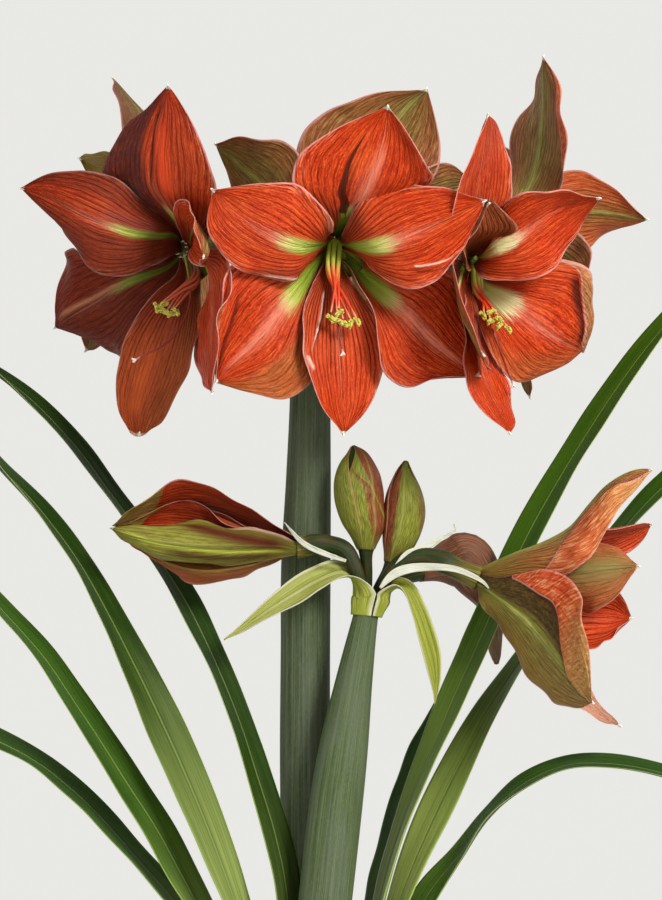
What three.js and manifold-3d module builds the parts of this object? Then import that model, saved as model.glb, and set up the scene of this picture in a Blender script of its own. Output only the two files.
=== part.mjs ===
import * as THREE from 'three';
import Module from 'manifold-3d';

// Potted amaryllis in bloom, millimetres, Z up, front towards -Y.
// Origin: centre of the underside of the pot. A terracotta pot holds soil and a bulb;
// from the bulb's neck rise two flower stalks and eight strap leaves. The tall stalk
// carries six open flowers, the short one an open flower, a half-open one and buds.

// ---------------------------------------------------------------- driving dimensions
const POT_H = 165;            // height of the pot
const POT_BASE_R = 62;        // outer radius at the foot
const POT_RIM_R = 92;         // outer radius of the rim band
const POT_BAND_H = 38;        // height of the rim band
const POT_WALL = 7;           // wall thickness
const POT_FLOOR = 8;          // floor thickness
const DRAIN_R = 5.5;          // radius of each of the four drain holes
const DRAIN_AT = 32;          // distance of the drain holes from the middle
const SOIL_TOP = 145;         // soil level above the underside of the pot
const BULB_BOTTOM = 66;       // lowest point of the bulb
const BULB_NECK_Z = 206;      // top of the bulb's neck
const BULB_R = 59;            // greatest radius of the bulb
const NECK_R = 43;            // radius of the neck
const TEPAL_TH = 1.2;         // thickness of a tepal (petal)
const LEAF_TH_BASE = 3.0;     // thickness of a leaf at the neck
const LEAF_TH_TIP = 1.6;      // thickness of a leaf towards the tip
const GAP = 0.32;             // clearance kept between neighbouring pieces
// tepals of the inner whorl; they stand in front of the outer ones
const INNER = ['T2', 'T3', 'T6', 'L2', 'L4', 'L5', 'R2', 'R3', 'R6', 'S3', 'S4', 'S6'];

const wasm = await Module();
wasm.setup();

// profiles turned round Z, [radius, height]
const bodyR = (z) => POT_BASE_R + ((POT_RIM_R - 9 - POT_BASE_R) * z) / (POT_H - POT_BAND_H);
const POT_PROFILE = [[0, 0], [POT_BASE_R - 1.5, 0], [POT_BASE_R, 1.5], [bodyR(POT_H - POT_BAND_H), POT_H - POT_BAND_H],
  [POT_RIM_R - 3.5, POT_H - POT_BAND_H + 1.5], [POT_RIM_R, POT_H - 2.5], [POT_RIM_R - 2.5, POT_H],
  [POT_RIM_R - POT_WALL + 1, POT_H], [POT_RIM_R - POT_WALL - 0.8, POT_H - 2.5], [bodyR(POT_H - POT_BAND_H) - POT_WALL + 2, POT_H - POT_BAND_H],
  [POT_BASE_R - POT_WALL + 2, POT_FLOOR + 3], [POT_BASE_R - POT_WALL - 2, POT_FLOOR], [0, POT_FLOOR]];
const innerR = (z) => {
  const a = POT_BASE_R - POT_WALL + 2, b = bodyR(POT_H - POT_BAND_H) - POT_WALL + 2, z0 = POT_FLOOR + 3, z1 = POT_H - POT_BAND_H;
  if (z <= z1) return a + ((b - a) * (z - z0)) / (z1 - z0);
  return b + ((POT_RIM_R - POT_WALL - 0.8 - b) * (z - z1)) / (POT_H - 2.5 - z1);
};
const SOIL_PROFILE = [[0, POT_FLOOR + 0.6], [POT_BASE_R - POT_WALL - 3, POT_FLOOR + 0.6], [innerR(POT_FLOOR + 4) - 0.8, POT_FLOOR + 4],
  [innerR(POT_H - POT_BAND_H) - 0.8, POT_H - POT_BAND_H], [innerR(SOIL_TOP - 2) - 0.8, SOIL_TOP - 2], [innerR(SOIL_TOP) - 4, SOIL_TOP], [BULB_R - 14, SOIL_TOP + 1.5], [0, SOIL_TOP + 1.5]];
const BULB_PROFILE = [[0, BULB_BOTTOM], [22, BULB_BOTTOM], [34, BULB_BOTTOM + 6], [50, BULB_BOTTOM + 24], [BULB_R, BULB_BOTTOM + 50],
  [BULB_R - 1, BULB_BOTTOM + 64], [BULB_R - 6, SOIL_TOP + 2], [NECK_R + 4, SOIL_TOP + 22], [NECK_R + 0.5, BULB_NECK_Z - 16], [NECK_R, BULB_NECK_Z - 3], [NECK_R - 2.5, BULB_NECK_Z], [0, BULB_NECK_Z]];

// heart of the half-open flower, [x, y, z, radius]: its folded tepals lie close round it
const HALF_OPEN_HEART = [[-5.9, -17.0, 507.2, 6.5], [-23.8, -17.0, 509.0, 9], [-44.6, -17.0, 510.8, 12], [-62.5, -17.0, 511.4, 13], [-80.4, -17.0, 513.1, 12], [-98.3, -17.0, 514.9, 8], [-112.0, -17.0, 516.7, 3]];

// ---------------------------------------------------------------- control nets and paths
// Each tepal is a smooth surface through nine rows of five points, row one at the throat,
// row nine at the tip. C is the middle of the throat, A the way the flower faces.
const FLOWERS = {
  front: {
    C: [14.9,-60.0,685.2], A: [0.0,-0.998,-0.06],
    T: {
      T1: [[[10.3,-61.3,687.9],[12.3,-60.6,689.6],[14.9,-60.3,690.2],[17.6,-60.5,689.5],[19.6,-61.2,687.8]],[[10.0,-75.5,693.2],[14.1,-74.2,694.1],[18.1,-73.0,695.5],[22.3,-71.7,696.6],[26.3,-70.0,697.4]],[[5.3,-91.8,697.5],[13.6,-88.6,699.0],[22.2,-85.7,700.3],[30.7,-82.6,702.2],[38.8,-79.1,704.7]],[[-1.9,-106.1,704.8],[12.3,-102.3,705.2],[26.5,-98.6,704.3],[39.7,-93.9,706.7],[52.2,-88.9,710.6]],[[-9.6,-115.7,716.7],[11.2,-113.1,714.7],[30.8,-110.3,710.9],[48.0,-105.2,711.4],[64.4,-99.7,714.9]],[[-5.9,-120.1,733.5],[14.8,-119.4,726.8],[35.4,-118.6,721.1],[53.4,-115.8,718.9],[71.6,-112.3,719.6]],[[7.2,-122.9,743.9],[23.5,-122.9,738.0],[40.3,-123.1,733.6],[54.3,-123.7,730.7],[68.1,-125.5,726.1]],[[22.8,-125.8,752.2],[33.1,-126.1,749.4],[43.7,-126.4,747.4],[52.6,-128.5,745.1],[59.9,-132.5,740.1]],[[45.1,-128.4,761.1],[45.1,-129.4,761.1],[45.1,-130.4,761.0],[45.3,-131.3,760.6],[45.3,-132.2,760.2]]],
      T2: [[[11.8,-63.8,682.6],[11.2,-63.2,684.6],[11.8,-63.1,686.8],[13.3,-63.5,688.3],[15.4,-64.2,688.8]],[[4.3,-75.3,679.2],[6.2,-75.9,681.9],[7.5,-76.3,685.0],[9.7,-77.0,687.4],[10.7,-77.7,690.6]],[[-1.8,-86.8,670.3],[0.4,-88.0,676.8],[3.1,-89.3,683.1],[7.7,-91.1,688.1],[12.8,-92.9,692.4]],[[-10.3,-97.5,662.0],[-7.5,-99.2,672.7],[-2.5,-101.8,682.0],[4.3,-104.5,690.6],[12.7,-107.1,698.4]],[[-25.4,-103.2,664.4],[-19.4,-107.0,673.9],[-12.7,-110.9,683.8],[-4.2,-113.4,696.3],[4.4,-115.7,708.2]],[[-39.5,-107.9,668.2],[-32.1,-112.0,678.7],[-23.9,-116.0,689.1],[-15.0,-117.9,702.6],[-6.7,-119.5,717.1]],[[-50.9,-111.7,678.2],[-43.3,-114.6,687.2],[-35.5,-117.7,696.0],[-27.7,-119.5,706.5],[-21.3,-121.1,717.9]],[[-58.5,-113.9,692.7],[-52.0,-115.4,698.6],[-46.2,-117.2,704.4],[-40.9,-119.0,710.5],[-36.2,-121.0,716.5]],[[-55.6,-113.9,713.8],[-55.3,-114.7,714.2],[-55.1,-115.6,714.6],[-55.5,-116.4,714.5],[-55.5,-117.4,714.2]]],
      T3: [[[14.5,-64.2,688.8],[16.5,-63.5,688.3],[18.1,-63.1,686.8],[18.7,-63.2,684.6],[18.1,-63.8,682.6]],[[18.6,-77.9,688.8],[20.7,-76.8,686.5],[23.0,-76.0,684.1],[25.0,-75.2,681.5],[26.9,-74.2,678.9]],[[20.2,-92.5,693.0],[24.9,-90.4,688.1],[29.0,-88.4,682.7],[32.5,-86.6,676.9],[36.2,-84.6,671.6]],[[25.2,-103.3,702.9],[32.1,-101.3,692.8],[37.5,-99.2,681.8],[42.2,-96.5,672.5],[45.2,-94.6,662.5]],[[35.5,-108.4,713.9],[42.8,-106.7,699.5],[49.4,-104.9,685.0],[55.0,-102.7,671.8],[59.6,-101.1,657.7]],[[50.4,-110.7,718.0],[55.8,-108.9,703.9],[61.9,-107.3,690.1],[67.8,-105.6,676.6],[73.9,-104.1,662.9]],[[65.4,-112.1,717.0],[70.1,-110.0,706.4],[75.1,-108.6,695.8],[79.6,-107.0,685.1],[84.0,-104.6,674.6]],[[81.0,-112.7,714.8],[84.9,-110.4,708.7],[88.4,-109.2,702.0],[91.1,-107.9,695.1],[92.7,-104.9,688.4]],[[100.9,-110.9,708.6],[101.1,-109.9,708.6],[101.6,-109.0,708.6],[101.2,-108.2,708.1],[101.1,-107.3,707.9]]],
      T4: [[[16.2,-60.8,679.8],[13.7,-60.0,680.2],[11.4,-59.8,681.7],[10.0,-60.2,683.9],[9.7,-61.2,686.4]],[[4.7,-62.6,668.5],[5.0,-66.3,670.9],[3.9,-68.9,674.3],[3.5,-71.5,677.9],[3.1,-73.9,681.8]],[[0.3,-66.1,651.4],[0.1,-72.3,657.9],[-2.0,-77.7,664.9],[-5.0,-82.4,672.2],[-7.0,-87.9,679.3]],[[-0.7,-71.4,633.8],[-3.4,-79.3,644.5],[-8.6,-86.1,655.4],[-15.6,-91.6,666.6],[-21.3,-97.9,677.7]],[[0.9,-79.4,618.1],[-6.9,-86.8,631.5],[-16.4,-92.8,645.5],[-27.3,-97.7,660.7],[-37.1,-102.8,678.3]],[[1.7,-88.6,605.3],[-12.6,-92.2,619.1],[-24.8,-95.9,634.6],[-36.6,-99.8,650.1],[-48.8,-105.0,664.9]],[[-12.7,-92.8,594.6],[-23.4,-94.8,610.2],[-34.4,-97.0,624.2],[-43.5,-100.7,636.6],[-50.8,-107.4,648.3]],[[-30.7,-96.1,597.2],[-37.5,-97.2,606.0],[-44.8,-98.4,614.6],[-50.3,-101.8,622.0],[-52.4,-107.6,629.7]],[[-54.1,-98.7,603.8],[-54.2,-99.7,603.8],[-54.3,-100.7,603.7],[-54.1,-101.5,604.4],[-53.8,-102.4,604.7]]],
      T5: [[[20.1,-61.2,686.5],[19.8,-60.2,684.0],[18.4,-59.7,681.7],[16.2,-60.0,680.2],[13.7,-60.9,679.8]],[[31.8,-65.6,679.4],[29.5,-64.4,675.5],[26.7,-63.8,672.0],[23.9,-66.3,670.1],[23.8,-70.4,671.3]],[[47.3,-70.0,676.7],[42.1,-66.8,669.3],[35.8,-66.0,662.1],[30.8,-72.0,658.0],[30.6,-81.0,657.9]],[[64.0,-69.5,675.2],[55.5,-66.8,664.1],[46.2,-67.4,653.2],[38.8,-75.4,645.5],[37.1,-88.4,642.0]],[[79.1,-64.5,673.3],[68.0,-65.5,658.0],[56.6,-68.3,644.2],[46.5,-76.1,632.8],[41.0,-89.8,624.9]],[[86.9,-57.9,662.0],[77.1,-63.7,647.9],[65.9,-68.5,633.9],[54.4,-75.1,621.0],[42.4,-84.4,610.0]],[[91.2,-55.1,646.9],[84.5,-62.7,635.6],[75.8,-68.2,624.0],[66.0,-73.4,613.0],[55.9,-79.8,601.4]],[[97.7,-59.8,630.9],[92.7,-64.7,623.2],[87.1,-68.4,615.3],[81.1,-72.5,608.6],[73.4,-77.7,605.5]],[[99.5,-67.8,608.3],[99.5,-68.8,608.2],[99.5,-69.9,608.2],[98.9,-70.7,608.2],[98.4,-71.6,608.4]]],
      T6: [[[18.5,-63.9,683.3],[17.1,-63.1,682.0],[14.9,-62.8,681.4],[12.8,-63.1,681.9],[11.3,-63.9,683.3]],[[20.3,-68.8,669.9],[17.3,-70.1,670.2],[14.1,-70.8,670.5],[10.3,-70.9,670.8],[6.6,-71.1,671.5]],[[28.5,-74.6,658.3],[21.7,-75.1,657.7],[14.8,-76.0,657.8],[7.6,-77.2,658.1],[0.6,-79.0,658.9]],[[36.9,-77.4,645.5],[26.3,-77.4,644.4],[15.9,-78.8,644.3],[5.9,-81.9,644.5],[-3.5,-86.6,645.0]],[[42.5,-77.1,631.2],[29.5,-77.6,630.6],[16.8,-80.2,630.3],[5.3,-85.8,630.5],[-4.2,-94.2,631.2]],[[43.5,-75.5,616.9],[30.4,-77.4,616.4],[17.7,-81.3,616.2],[6.4,-88.4,616.4],[-2.4,-98.4,617.3]],[[40.5,-75.3,602.5],[29.1,-78.1,602.3],[18.4,-82.3,602.1],[9.2,-89.2,602.4],[1.8,-98.1,603.1]],[[33.6,-77.5,588.6],[26.1,-80.0,588.2],[18.9,-83.1,587.9],[12.8,-87.9,588.2],[8.6,-94.5,589.3]],[[19.7,-81.6,574.0],[19.6,-82.6,573.9],[19.6,-83.6,573.8],[19.5,-84.6,574.0],[19.5,-85.7,574.1]]],
    },
  },
  left: {
    C: [-70.8,-38.0,684.4], A: [-0.741,-0.661,-0.12],
    T: {
      L1: [[[-75.0,-35.5,686.9],[-73.2,-36.5,688.7],[-71.3,-38.3,689.4],[-69.7,-40.4,688.8],[-68.8,-42.3,687.1]],[[-83.3,-43.4,693.6],[-78.9,-47.2,694.8],[-74.1,-49.7,693.8],[-69.0,-51.4,690.8],[-63.3,-52.0,685.5]],[[-94.6,-50.0,703.4],[-87.4,-56.7,702.2],[-78.3,-61.6,700.4],[-68.0,-65.4,697.1],[-56.9,-68.0,691.2]],[[-109.2,-56.3,710.4],[-96.9,-65.4,710.2],[-84.4,-73.4,708.1],[-69.5,-79.7,706.2],[-52.4,-84.0,702.0]],[[-120.2,-61.6,721.8],[-104.5,-72.4,721.3],[-90.6,-83.1,718.1],[-72.2,-89.9,717.2],[-53.8,-95.5,715.4]],[[-117.3,-64.3,739.2],[-104.7,-76.8,736.3],[-91.5,-88.4,732.7],[-73.9,-95.7,730.4],[-56.6,-102.9,728.6]],[[-108.9,-67.2,752.1],[-99.7,-79.4,750.0],[-89.1,-90.0,747.6],[-76.1,-97.6,745.0],[-63.0,-105.1,742.5]],[[-96.1,-73.1,762.8],[-92.2,-82.5,763.2],[-85.7,-90.1,762.2],[-78.0,-96.3,760.2],[-69.5,-102.1,758.4]],[[-81.9,-87.3,776.2],[-82.0,-88.3,776.2],[-81.9,-89.3,776.4],[-81.8,-90.3,776.1],[-81.7,-91.3,776.0]]],
      L2: [[[-75.5,-38.0,681.6],[-75.6,-37.4,683.8],[-75.2,-37.9,685.9],[-74.5,-39.3,687.5],[-73.8,-41.3,688.0]],[[-78.5,-51.0,680.5],[-79.7,-50.6,685.6],[-80.2,-50.0,690.9],[-80.3,-49.3,695.3],[-80.1,-48.8,700.0]],[[-90.3,-59.4,674.3],[-90.8,-59.0,682.5],[-90.5,-59.0,690.8],[-90.0,-59.2,697.7],[-89.9,-59.7,704.3]],[[-105.4,-62.8,667.2],[-104.5,-63.6,679.9],[-102.9,-65.0,691.9],[-101.1,-67.1,702.1],[-98.6,-69.9,711.6]],[[-123.2,-62.4,667.9],[-118.7,-65.5,681.9],[-115.7,-68.6,695.8],[-112.7,-72.4,708.4],[-108.6,-76.4,720.7]],[[-134.2,-57.7,678.2],[-131.9,-65.1,688.7],[-129.1,-70.2,700.8],[-125.6,-74.5,713.6],[-121.6,-79.0,726.3]],[[-143.2,-54.6,691.1],[-144.1,-63.6,697.8],[-142.2,-69.0,707.5],[-139.4,-73.8,717.4],[-136.2,-78.5,727.4]],[[-151.8,-55.9,705.5],[-156.2,-62.3,707.3],[-155.3,-66.6,713.9],[-153.8,-71.1,719.9],[-151.6,-75.1,726.5]],[[-168.1,-62.8,718.1],[-168.6,-63.7,718.0],[-169.2,-64.5,718.3],[-168.8,-65.5,718.3],[-168.7,-66.5,718.4]]],
      L3: [[[-71.5,-37.9,678.9],[-72.5,-35.7,680.2],[-73.5,-34.5,682.3],[-74.4,-34.4,684.9],[-75.0,-35.7,687.2]],[[-79.8,-32.8,667.3],[-81.0,-30.2,670.6],[-83.6,-30.5,673.9],[-86.0,-32.6,676.9],[-87.6,-36.6,676.4]],[[-90.2,-30.7,653.6],[-91.5,-25.6,661.2],[-95.0,-24.5,669.6],[-100.4,-29.6,674.4],[-105.8,-36.6,672.0]],[[-100.8,-26.8,640.2],[-102.1,-20.2,652.5],[-106.6,-17.8,665.8],[-114.4,-23.9,674.2],[-124.4,-33.0,673.1]],[[-108.9,-19.0,627.9],[-111.5,-13.3,644.1],[-117.9,-11.4,660.2],[-126.5,-15.4,673.4],[-136.7,-24.0,683.1]],[[-113.3,-6.1,621.2],[-120.2,-4.6,637.8],[-128.2,-4.6,653.6],[-136.7,-6.6,669.1],[-145.1,-10.3,684.5]],[[-119.9,7.8,624.2],[-130.0,5.1,635.6],[-138.4,3.4,648.2],[-144.6,3.2,662.0],[-147.4,4.0,676.9]],[[-131.5,18.4,632.0],[-140.8,15.3,635.7],[-147.3,13.2,643.4],[-151.0,13.5,652.9],[-152.2,14.9,663.0]],[[-153.7,26.1,639.3],[-154.2,25.3,639.1],[-154.6,24.4,638.9],[-154.6,23.4,639.2],[-154.3,22.5,639.4]]],
      L4: [[[-71.1,-43.2,682.1],[-71.5,-41.4,680.9],[-72.7,-39.6,680.5],[-74.3,-38.2,681.1],[-76.0,-37.8,682.5]],[[-65.0,-43.5,667.6],[-68.7,-42.8,667.3],[-72.3,-42.1,667.3],[-75.7,-41.9,668.0],[-79.0,-42.1,669.0]],[[-63.9,-48.7,652.0],[-69.8,-45.4,652.9],[-76.2,-43.1,654.1],[-83.4,-42.3,656.1],[-90.4,-42.5,659.0]],[[-64.5,-55.1,636.8],[-72.1,-48.6,638.6],[-80.8,-43.6,640.8],[-90.5,-40.9,643.7],[-100.5,-39.7,647.0]],[[-68.1,-61.7,622.7],[-75.5,-51.6,624.5],[-85.4,-44.1,627.2],[-96.4,-38.9,630.6],[-108.1,-35.2,634.2]],[[-72.3,-63.8,608.8],[-80.1,-53.2,610.6],[-89.9,-44.8,613.5],[-101.0,-38.3,616.8],[-112.4,-32.7,620.5]],[[-78.3,-61.1,595.3],[-86.1,-52.8,597.3],[-94.5,-45.4,599.7],[-104.2,-39.7,602.8],[-114.5,-34.9,606.1]],[[-86.0,-56.7,582.1],[-93.0,-51.8,584.0],[-99.3,-46.3,586.3],[-105.6,-42.1,587.4],[-112.3,-38.6,587.8]],[[-95.2,-48.3,575.6],[-97.5,-47.9,573.8],[-99.9,-47.5,573.0],[-102.9,-47.1,573.2],[-105.8,-46.7,575.0]]],
      L5: [[[-73.7,-41.2,687.4],[-72.1,-41.9,687.0],[-71.0,-42.4,685.7],[-70.8,-42.7,684.0],[-71.4,-42.6,682.4]],[[-75.5,-52.4,691.1],[-72.6,-51.8,691.6],[-70.0,-51.3,690.9],[-67.7,-50.8,689.3],[-66.0,-50.6,687.1]],[[-77.7,-63.6,697.5],[-72.8,-62.0,696.6],[-68.3,-61.2,694.0],[-66.4,-61.2,688.9],[-67.8,-61.1,683.6]],[[-79.5,-75.5,703.2],[-72.2,-73.2,700.2],[-67.0,-71.7,694.4],[-67.3,-71.2,686.3],[-71.2,-70.8,678.9]],[[-76.9,-87.0,709.6],[-70.2,-84.4,701.8],[-65.0,-82.1,693.2],[-64.2,-80.3,683.1],[-67.0,-79.0,673.0]],[[-71.5,-98.1,709.1],[-67.0,-95.1,699.9],[-62.1,-92.1,691.0],[-59.3,-88.9,681.3],[-60.2,-86.2,671.3]],[[-67.4,-107.7,702.6],[-64.2,-104.8,694.6],[-59.8,-102.1,687.2],[-58.3,-98.9,679.0],[-63.7,-95.8,672.4]],[[-65.7,-114.7,691.9],[-62.6,-113.3,686.7],[-59.1,-111.7,682.0],[-58.4,-109.3,676.3],[-63.0,-107.1,672.3]],[[-60.5,-118.3,676.0],[-60.3,-119.1,675.6],[-60.1,-119.9,675.0],[-59.9,-120.9,675.2],[-60.1,-121.8,675.1]]],
      L6: [[[-68.4,-42.7,686.3],[-67.5,-41.9,683.8],[-67.9,-40.6,681.5],[-69.3,-39.2,679.7],[-71.4,-37.8,679.0]],[[-64.5,-57.3,683.5],[-63.9,-55.0,679.8],[-62.9,-52.2,676.6],[-61.1,-48.8,674.4],[-59.2,-45.1,672.8]],[[-61.4,-74.7,682.3],[-59.8,-68.9,675.3],[-58.9,-62.6,668.4],[-58.3,-55.7,662.2],[-58.6,-48.3,656.5]],[[-51.1,-90.0,681.4],[-54.2,-81.3,669.1],[-56.6,-71.6,658.4],[-60.0,-61.4,648.9],[-66.0,-50.8,641.6]],[[-45.6,-103.0,673.3],[-52.0,-92.1,659.7],[-56.3,-79.8,647.2],[-61.2,-66.9,635.7],[-67.9,-53.6,626.0]],[[-45.9,-113.0,655.7],[-51.7,-101.0,645.4],[-56.1,-87.7,634.5],[-60.6,-73.8,623.6],[-65.7,-59.5,612.9]],[[-51.7,-119.7,641.0],[-53.4,-107.8,631.5],[-56.2,-96.0,622.3],[-59.1,-83.7,613.5],[-61.9,-71.1,604.5]],[[-52.9,-119.6,622.6],[-54.4,-112.0,615.9],[-56.2,-104.1,609.9],[-57.8,-95.6,604.5],[-58.0,-86.8,599.3]],[[-55.6,-113.3,598.2],[-55.7,-112.3,598.0],[-55.7,-111.6,597.2],[-55.7,-110.6,597.2],[-55.3,-109.8,597.4]]],
    },
  },
  right: {
    C: [94.9,-34.0,676.3], A: [0.746,-0.665,-0.04],
    T: {
      R1: [[[92.5,-38.4,678.6],[93.2,-36.5,680.4],[94.7,-34.4,681.3],[96.7,-32.7,680.9],[98.8,-31.6,679.4]],[[90.1,-52.6,681.0],[92.4,-50.2,683.9],[95.2,-47.6,685.9],[98.8,-45.3,686.9],[103.0,-43.6,687.2]],[[88.9,-70.4,682.1],[91.0,-64.5,688.7],[96.0,-59.0,693.8],[102.9,-54.4,697.5],[110.1,-50.1,700.6]],[[86.9,-87.8,686.3],[90.2,-78.1,695.7],[97.0,-68.9,703.6],[106.7,-61.1,709.8],[118.8,-54.7,713.9]],[[84.2,-102.9,693.9],[89.7,-90.2,704.5],[97.7,-78.2,714.1],[107.4,-66.6,722.8],[117.5,-55.3,730.4]],[[82.7,-113.4,705.1],[90.5,-100.2,715.1],[98.7,-87.1,724.8],[106.8,-73.8,734.6],[115.1,-60.4,744.2]],[[86.3,-118.5,719.4],[93.6,-107.3,727.4],[100.2,-96.0,735.6],[105.7,-84.1,744.0],[110.5,-72.0,753.0]],[[94.5,-120.3,735.1],[97.6,-112.5,741.1],[101.7,-104.8,746.5],[105.1,-96.7,751.8],[106.1,-88.0,757.0]],[[102.8,-115.0,757.1],[102.7,-114.1,757.4],[102.7,-113.2,757.8],[102.6,-112.2,758.1],[102.2,-111.3,758.2]]],
      R2: [[[95.7,-39.0,673.8],[94.9,-38.9,675.8],[95.1,-38.3,678.0],[96.3,-37.4,679.5],[98.3,-36.5,680.1]],[[93.4,-48.9,673.2],[92.4,-47.8,676.2],[92.3,-46.6,679.2],[94.7,-45.9,681.3],[97.8,-46.0,680.0]],[[94.0,-60.7,671.1],[90.5,-57.8,675.9],[91.7,-55.2,681.9],[97.8,-54.0,684.5],[104.6,-53.7,683.5]],[[94.1,-72.9,669.7],[89.2,-68.1,676.9],[92.1,-66.1,685.2],[101.9,-68.6,688.3],[112.7,-78.0,688.4]],[[93.4,-84.7,669.7],[88.6,-78.1,679.4],[93.0,-75.0,689.1],[105.8,-77.9,692.1],[120.9,-90.0,693.0]],[[90.8,-94.2,673.0],[89.2,-86.8,683.9],[93.3,-82.4,693.7],[103.3,-81.5,699.0],[114.6,-88.0,701.2]],[[89.7,-100.3,681.4],[92.1,-93.6,690.3],[95.5,-88.3,698.7],[101.0,-83.7,704.9],[108.3,-86.0,708.3]],[[95.9,-103.2,690.8],[97.2,-98.7,697.4],[99.3,-93.8,703.4],[102.1,-88.3,708.5],[105.7,-82.2,712.0]],[[103.4,-102.3,706.8],[103.4,-101.4,707.1],[103.7,-100.5,707.5],[103.8,-99.6,707.8],[103.6,-98.7,707.5]]],
      R3: [[[97.4,-37.3,680.0],[98.3,-35.3,679.7],[99.2,-33.9,678.3],[99.8,-33.5,676.2],[100.0,-34.1,674.1]],[[105.8,-47.4,684.5],[103.6,-47.6,681.7],[101.3,-47.6,679.0],[99.1,-47.8,676.1],[96.6,-48.3,673.6]],[[111.6,-59.6,692.7],[106.6,-60.2,687.3],[103.8,-60.8,680.5],[102.3,-61.3,673.3],[101.1,-61.8,665.8]],[[110.3,-72.3,702.6],[107.6,-73.1,692.9],[108.5,-73.1,682.9],[112.0,-71.4,673.2],[115.6,-69.8,663.7]],[[113.4,-86.5,708.5],[115.0,-84.5,697.3],[119.6,-79.0,687.6],[125.2,-74.7,676.5],[131.4,-72.1,664.8]],[[122.1,-96.8,713.0],[126.9,-88.5,703.7],[130.5,-78.8,695.8],[136.8,-73.9,684.1],[144.1,-70.7,672.1]],[[136.4,-97.9,714.9],[139.5,-88.0,709.5],[142.2,-78.5,703.7],[146.6,-73.1,693.9],[151.5,-68.2,684.3]],[[151.5,-93.7,714.5],[153.5,-86.2,712.5],[155.3,-79.4,708.9],[157.5,-74.7,702.8],[159.5,-69.6,697.0]],[[168.6,-82.8,711.3],[168.7,-81.8,711.5],[168.9,-80.8,711.5],[169.0,-79.9,711.8],[168.9,-78.9,712.0]]],
      R4: [[[99.0,-31.3,678.6],[98.5,-30.4,676.1],[97.6,-30.7,673.6],[96.5,-32.3,671.7],[95.4,-34.7,670.9]],[[106.8,-38.9,667.8],[105.2,-36.3,664.9],[102.5,-35.7,661.2],[99.5,-37.6,659.0],[96.0,-39.0,656.8]],[[123.0,-45.2,668.7],[118.3,-42.5,661.6],[112.5,-42.2,654.2],[106.1,-43.3,647.1],[99.6,-45.2,640.6]],[[138.6,-47.6,677.6],[132.8,-46.0,661.0],[123.3,-45.4,646.8],[114.4,-45.3,635.2],[105.7,-46.6,623.8]],[[162.4,-47.3,673.4],[146.3,-44.6,656.8],[133.8,-42.6,639.2],[123.7,-41.2,625.1],[114.4,-41.3,611.1]],[[166.2,-37.6,663.6],[154.8,-37.0,648.8],[143.6,-35.3,632.6],[132.8,-32.2,618.8],[121.1,-29.0,606.1]],[[168.6,-25.9,654.6],[160.5,-26.0,641.4],[152.0,-24.6,628.4],[142.3,-21.3,617.1],[131.3,-17.3,607.1]],[[169.1,-13.2,643.4],[164.1,-13.4,634.5],[158.7,-12.4,626.0],[152.4,-10.2,618.4],[145.4,-7.8,611.3]],[[163.8,-1.2,624.0],[164.0,-0.2,624.0],[163.9,0.7,624.4],[163.5,1.6,624.4],[163.4,2.5,624.1]]],
      R5: [[[95.6,-34.5,670.9],[93.4,-35.8,671.8],[92.0,-37.0,673.7],[91.7,-38.0,676.2],[92.5,-38.5,678.8]],[[94.4,-44.0,662.6],[91.2,-45.6,665.1],[89.1,-47.5,668.5],[87.5,-49.1,672.3],[85.4,-50.3,676.2]],[[98.3,-48.7,649.1],[91.6,-52.8,654.3],[87.4,-57.3,661.2],[85.2,-62.0,668.8],[85.4,-66.6,676.6]],[[99.5,-51.7,634.2],[92.3,-59.7,643.2],[87.2,-67.4,653.8],[84.6,-75.2,665.0],[85.3,-83.0,676.4]],[[102.5,-57.3,621.4],[94.2,-67.5,633.4],[88.4,-77.6,646.6],[84.7,-87.8,660.2],[84.0,-98.2,674.3]],[[104.6,-66.8,613.2],[96.6,-77.2,626.1],[90.5,-87.9,639.7],[86.0,-98.9,653.6],[82.5,-110.0,667.7]],[[104.7,-79.9,611.3],[98.5,-88.9,621.9],[93.5,-98.2,632.9],[89.4,-107.5,644.3],[86.4,-117.0,656.2]],[[103.8,-95.5,612.0],[100.1,-101.8,618.9],[96.9,-108.2,626.0],[93.9,-114.5,633.4],[90.2,-120.6,640.8]],[[100.2,-116.5,619.3],[100.3,-117.0,618.5],[100.2,-117.9,618.9],[99.9,-118.7,619.3],[99.7,-119.7,619.3]]],
      R6: [[[100.1,-34.0,674.2],[98.5,-34.7,673.0],[96.8,-36.1,672.7],[95.7,-37.9,673.4],[95.3,-39.4,674.9]],[[98.4,-35.2,659.5],[97.3,-38.3,659.8],[96.0,-41.4,660.3],[94.3,-44.1,661.3],[92.1,-46.5,662.5]],[[101.4,-33.5,644.5],[98.4,-39.5,645.8],[95.7,-45.6,647.3],[93.1,-51.6,649.2],[91.1,-57.7,651.6]],[[105.8,-32.0,629.8],[101.0,-40.8,631.8],[96.6,-49.8,634.2],[92.8,-59.0,636.8],[90.3,-68.4,640.0]],[[112.6,-32.7,616.3],[105.2,-43.2,618.4],[98.7,-54.2,621.2],[93.4,-65.6,624.2],[89.9,-77.7,627.6]],[[117.7,-37.0,603.9],[109.5,-47.8,606.1],[102.1,-59.1,608.6],[95.4,-70.7,611.2],[90.1,-82.8,614.1]],[[119.4,-45.4,592.5],[113.0,-55.1,594.8],[106.6,-64.8,596.9],[99.7,-74.2,598.4],[92.0,-83.2,599.6]],[[120.0,-57.0,582.4],[116.2,-64.0,584.2],[111.8,-70.7,585.6],[106.9,-77.2,586.5],[101.6,-83.5,587.3]],[[116.7,-74.8,574.0],[116.9,-75.7,574.1],[116.8,-76.7,574.3],[116.7,-77.7,574.4],[116.6,-78.6,574.4]]],
    },
  },
  side: {
    C: [100.1,-22.0,488.8], A: [0.96,-0.242,-0.141],
    T: {
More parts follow.
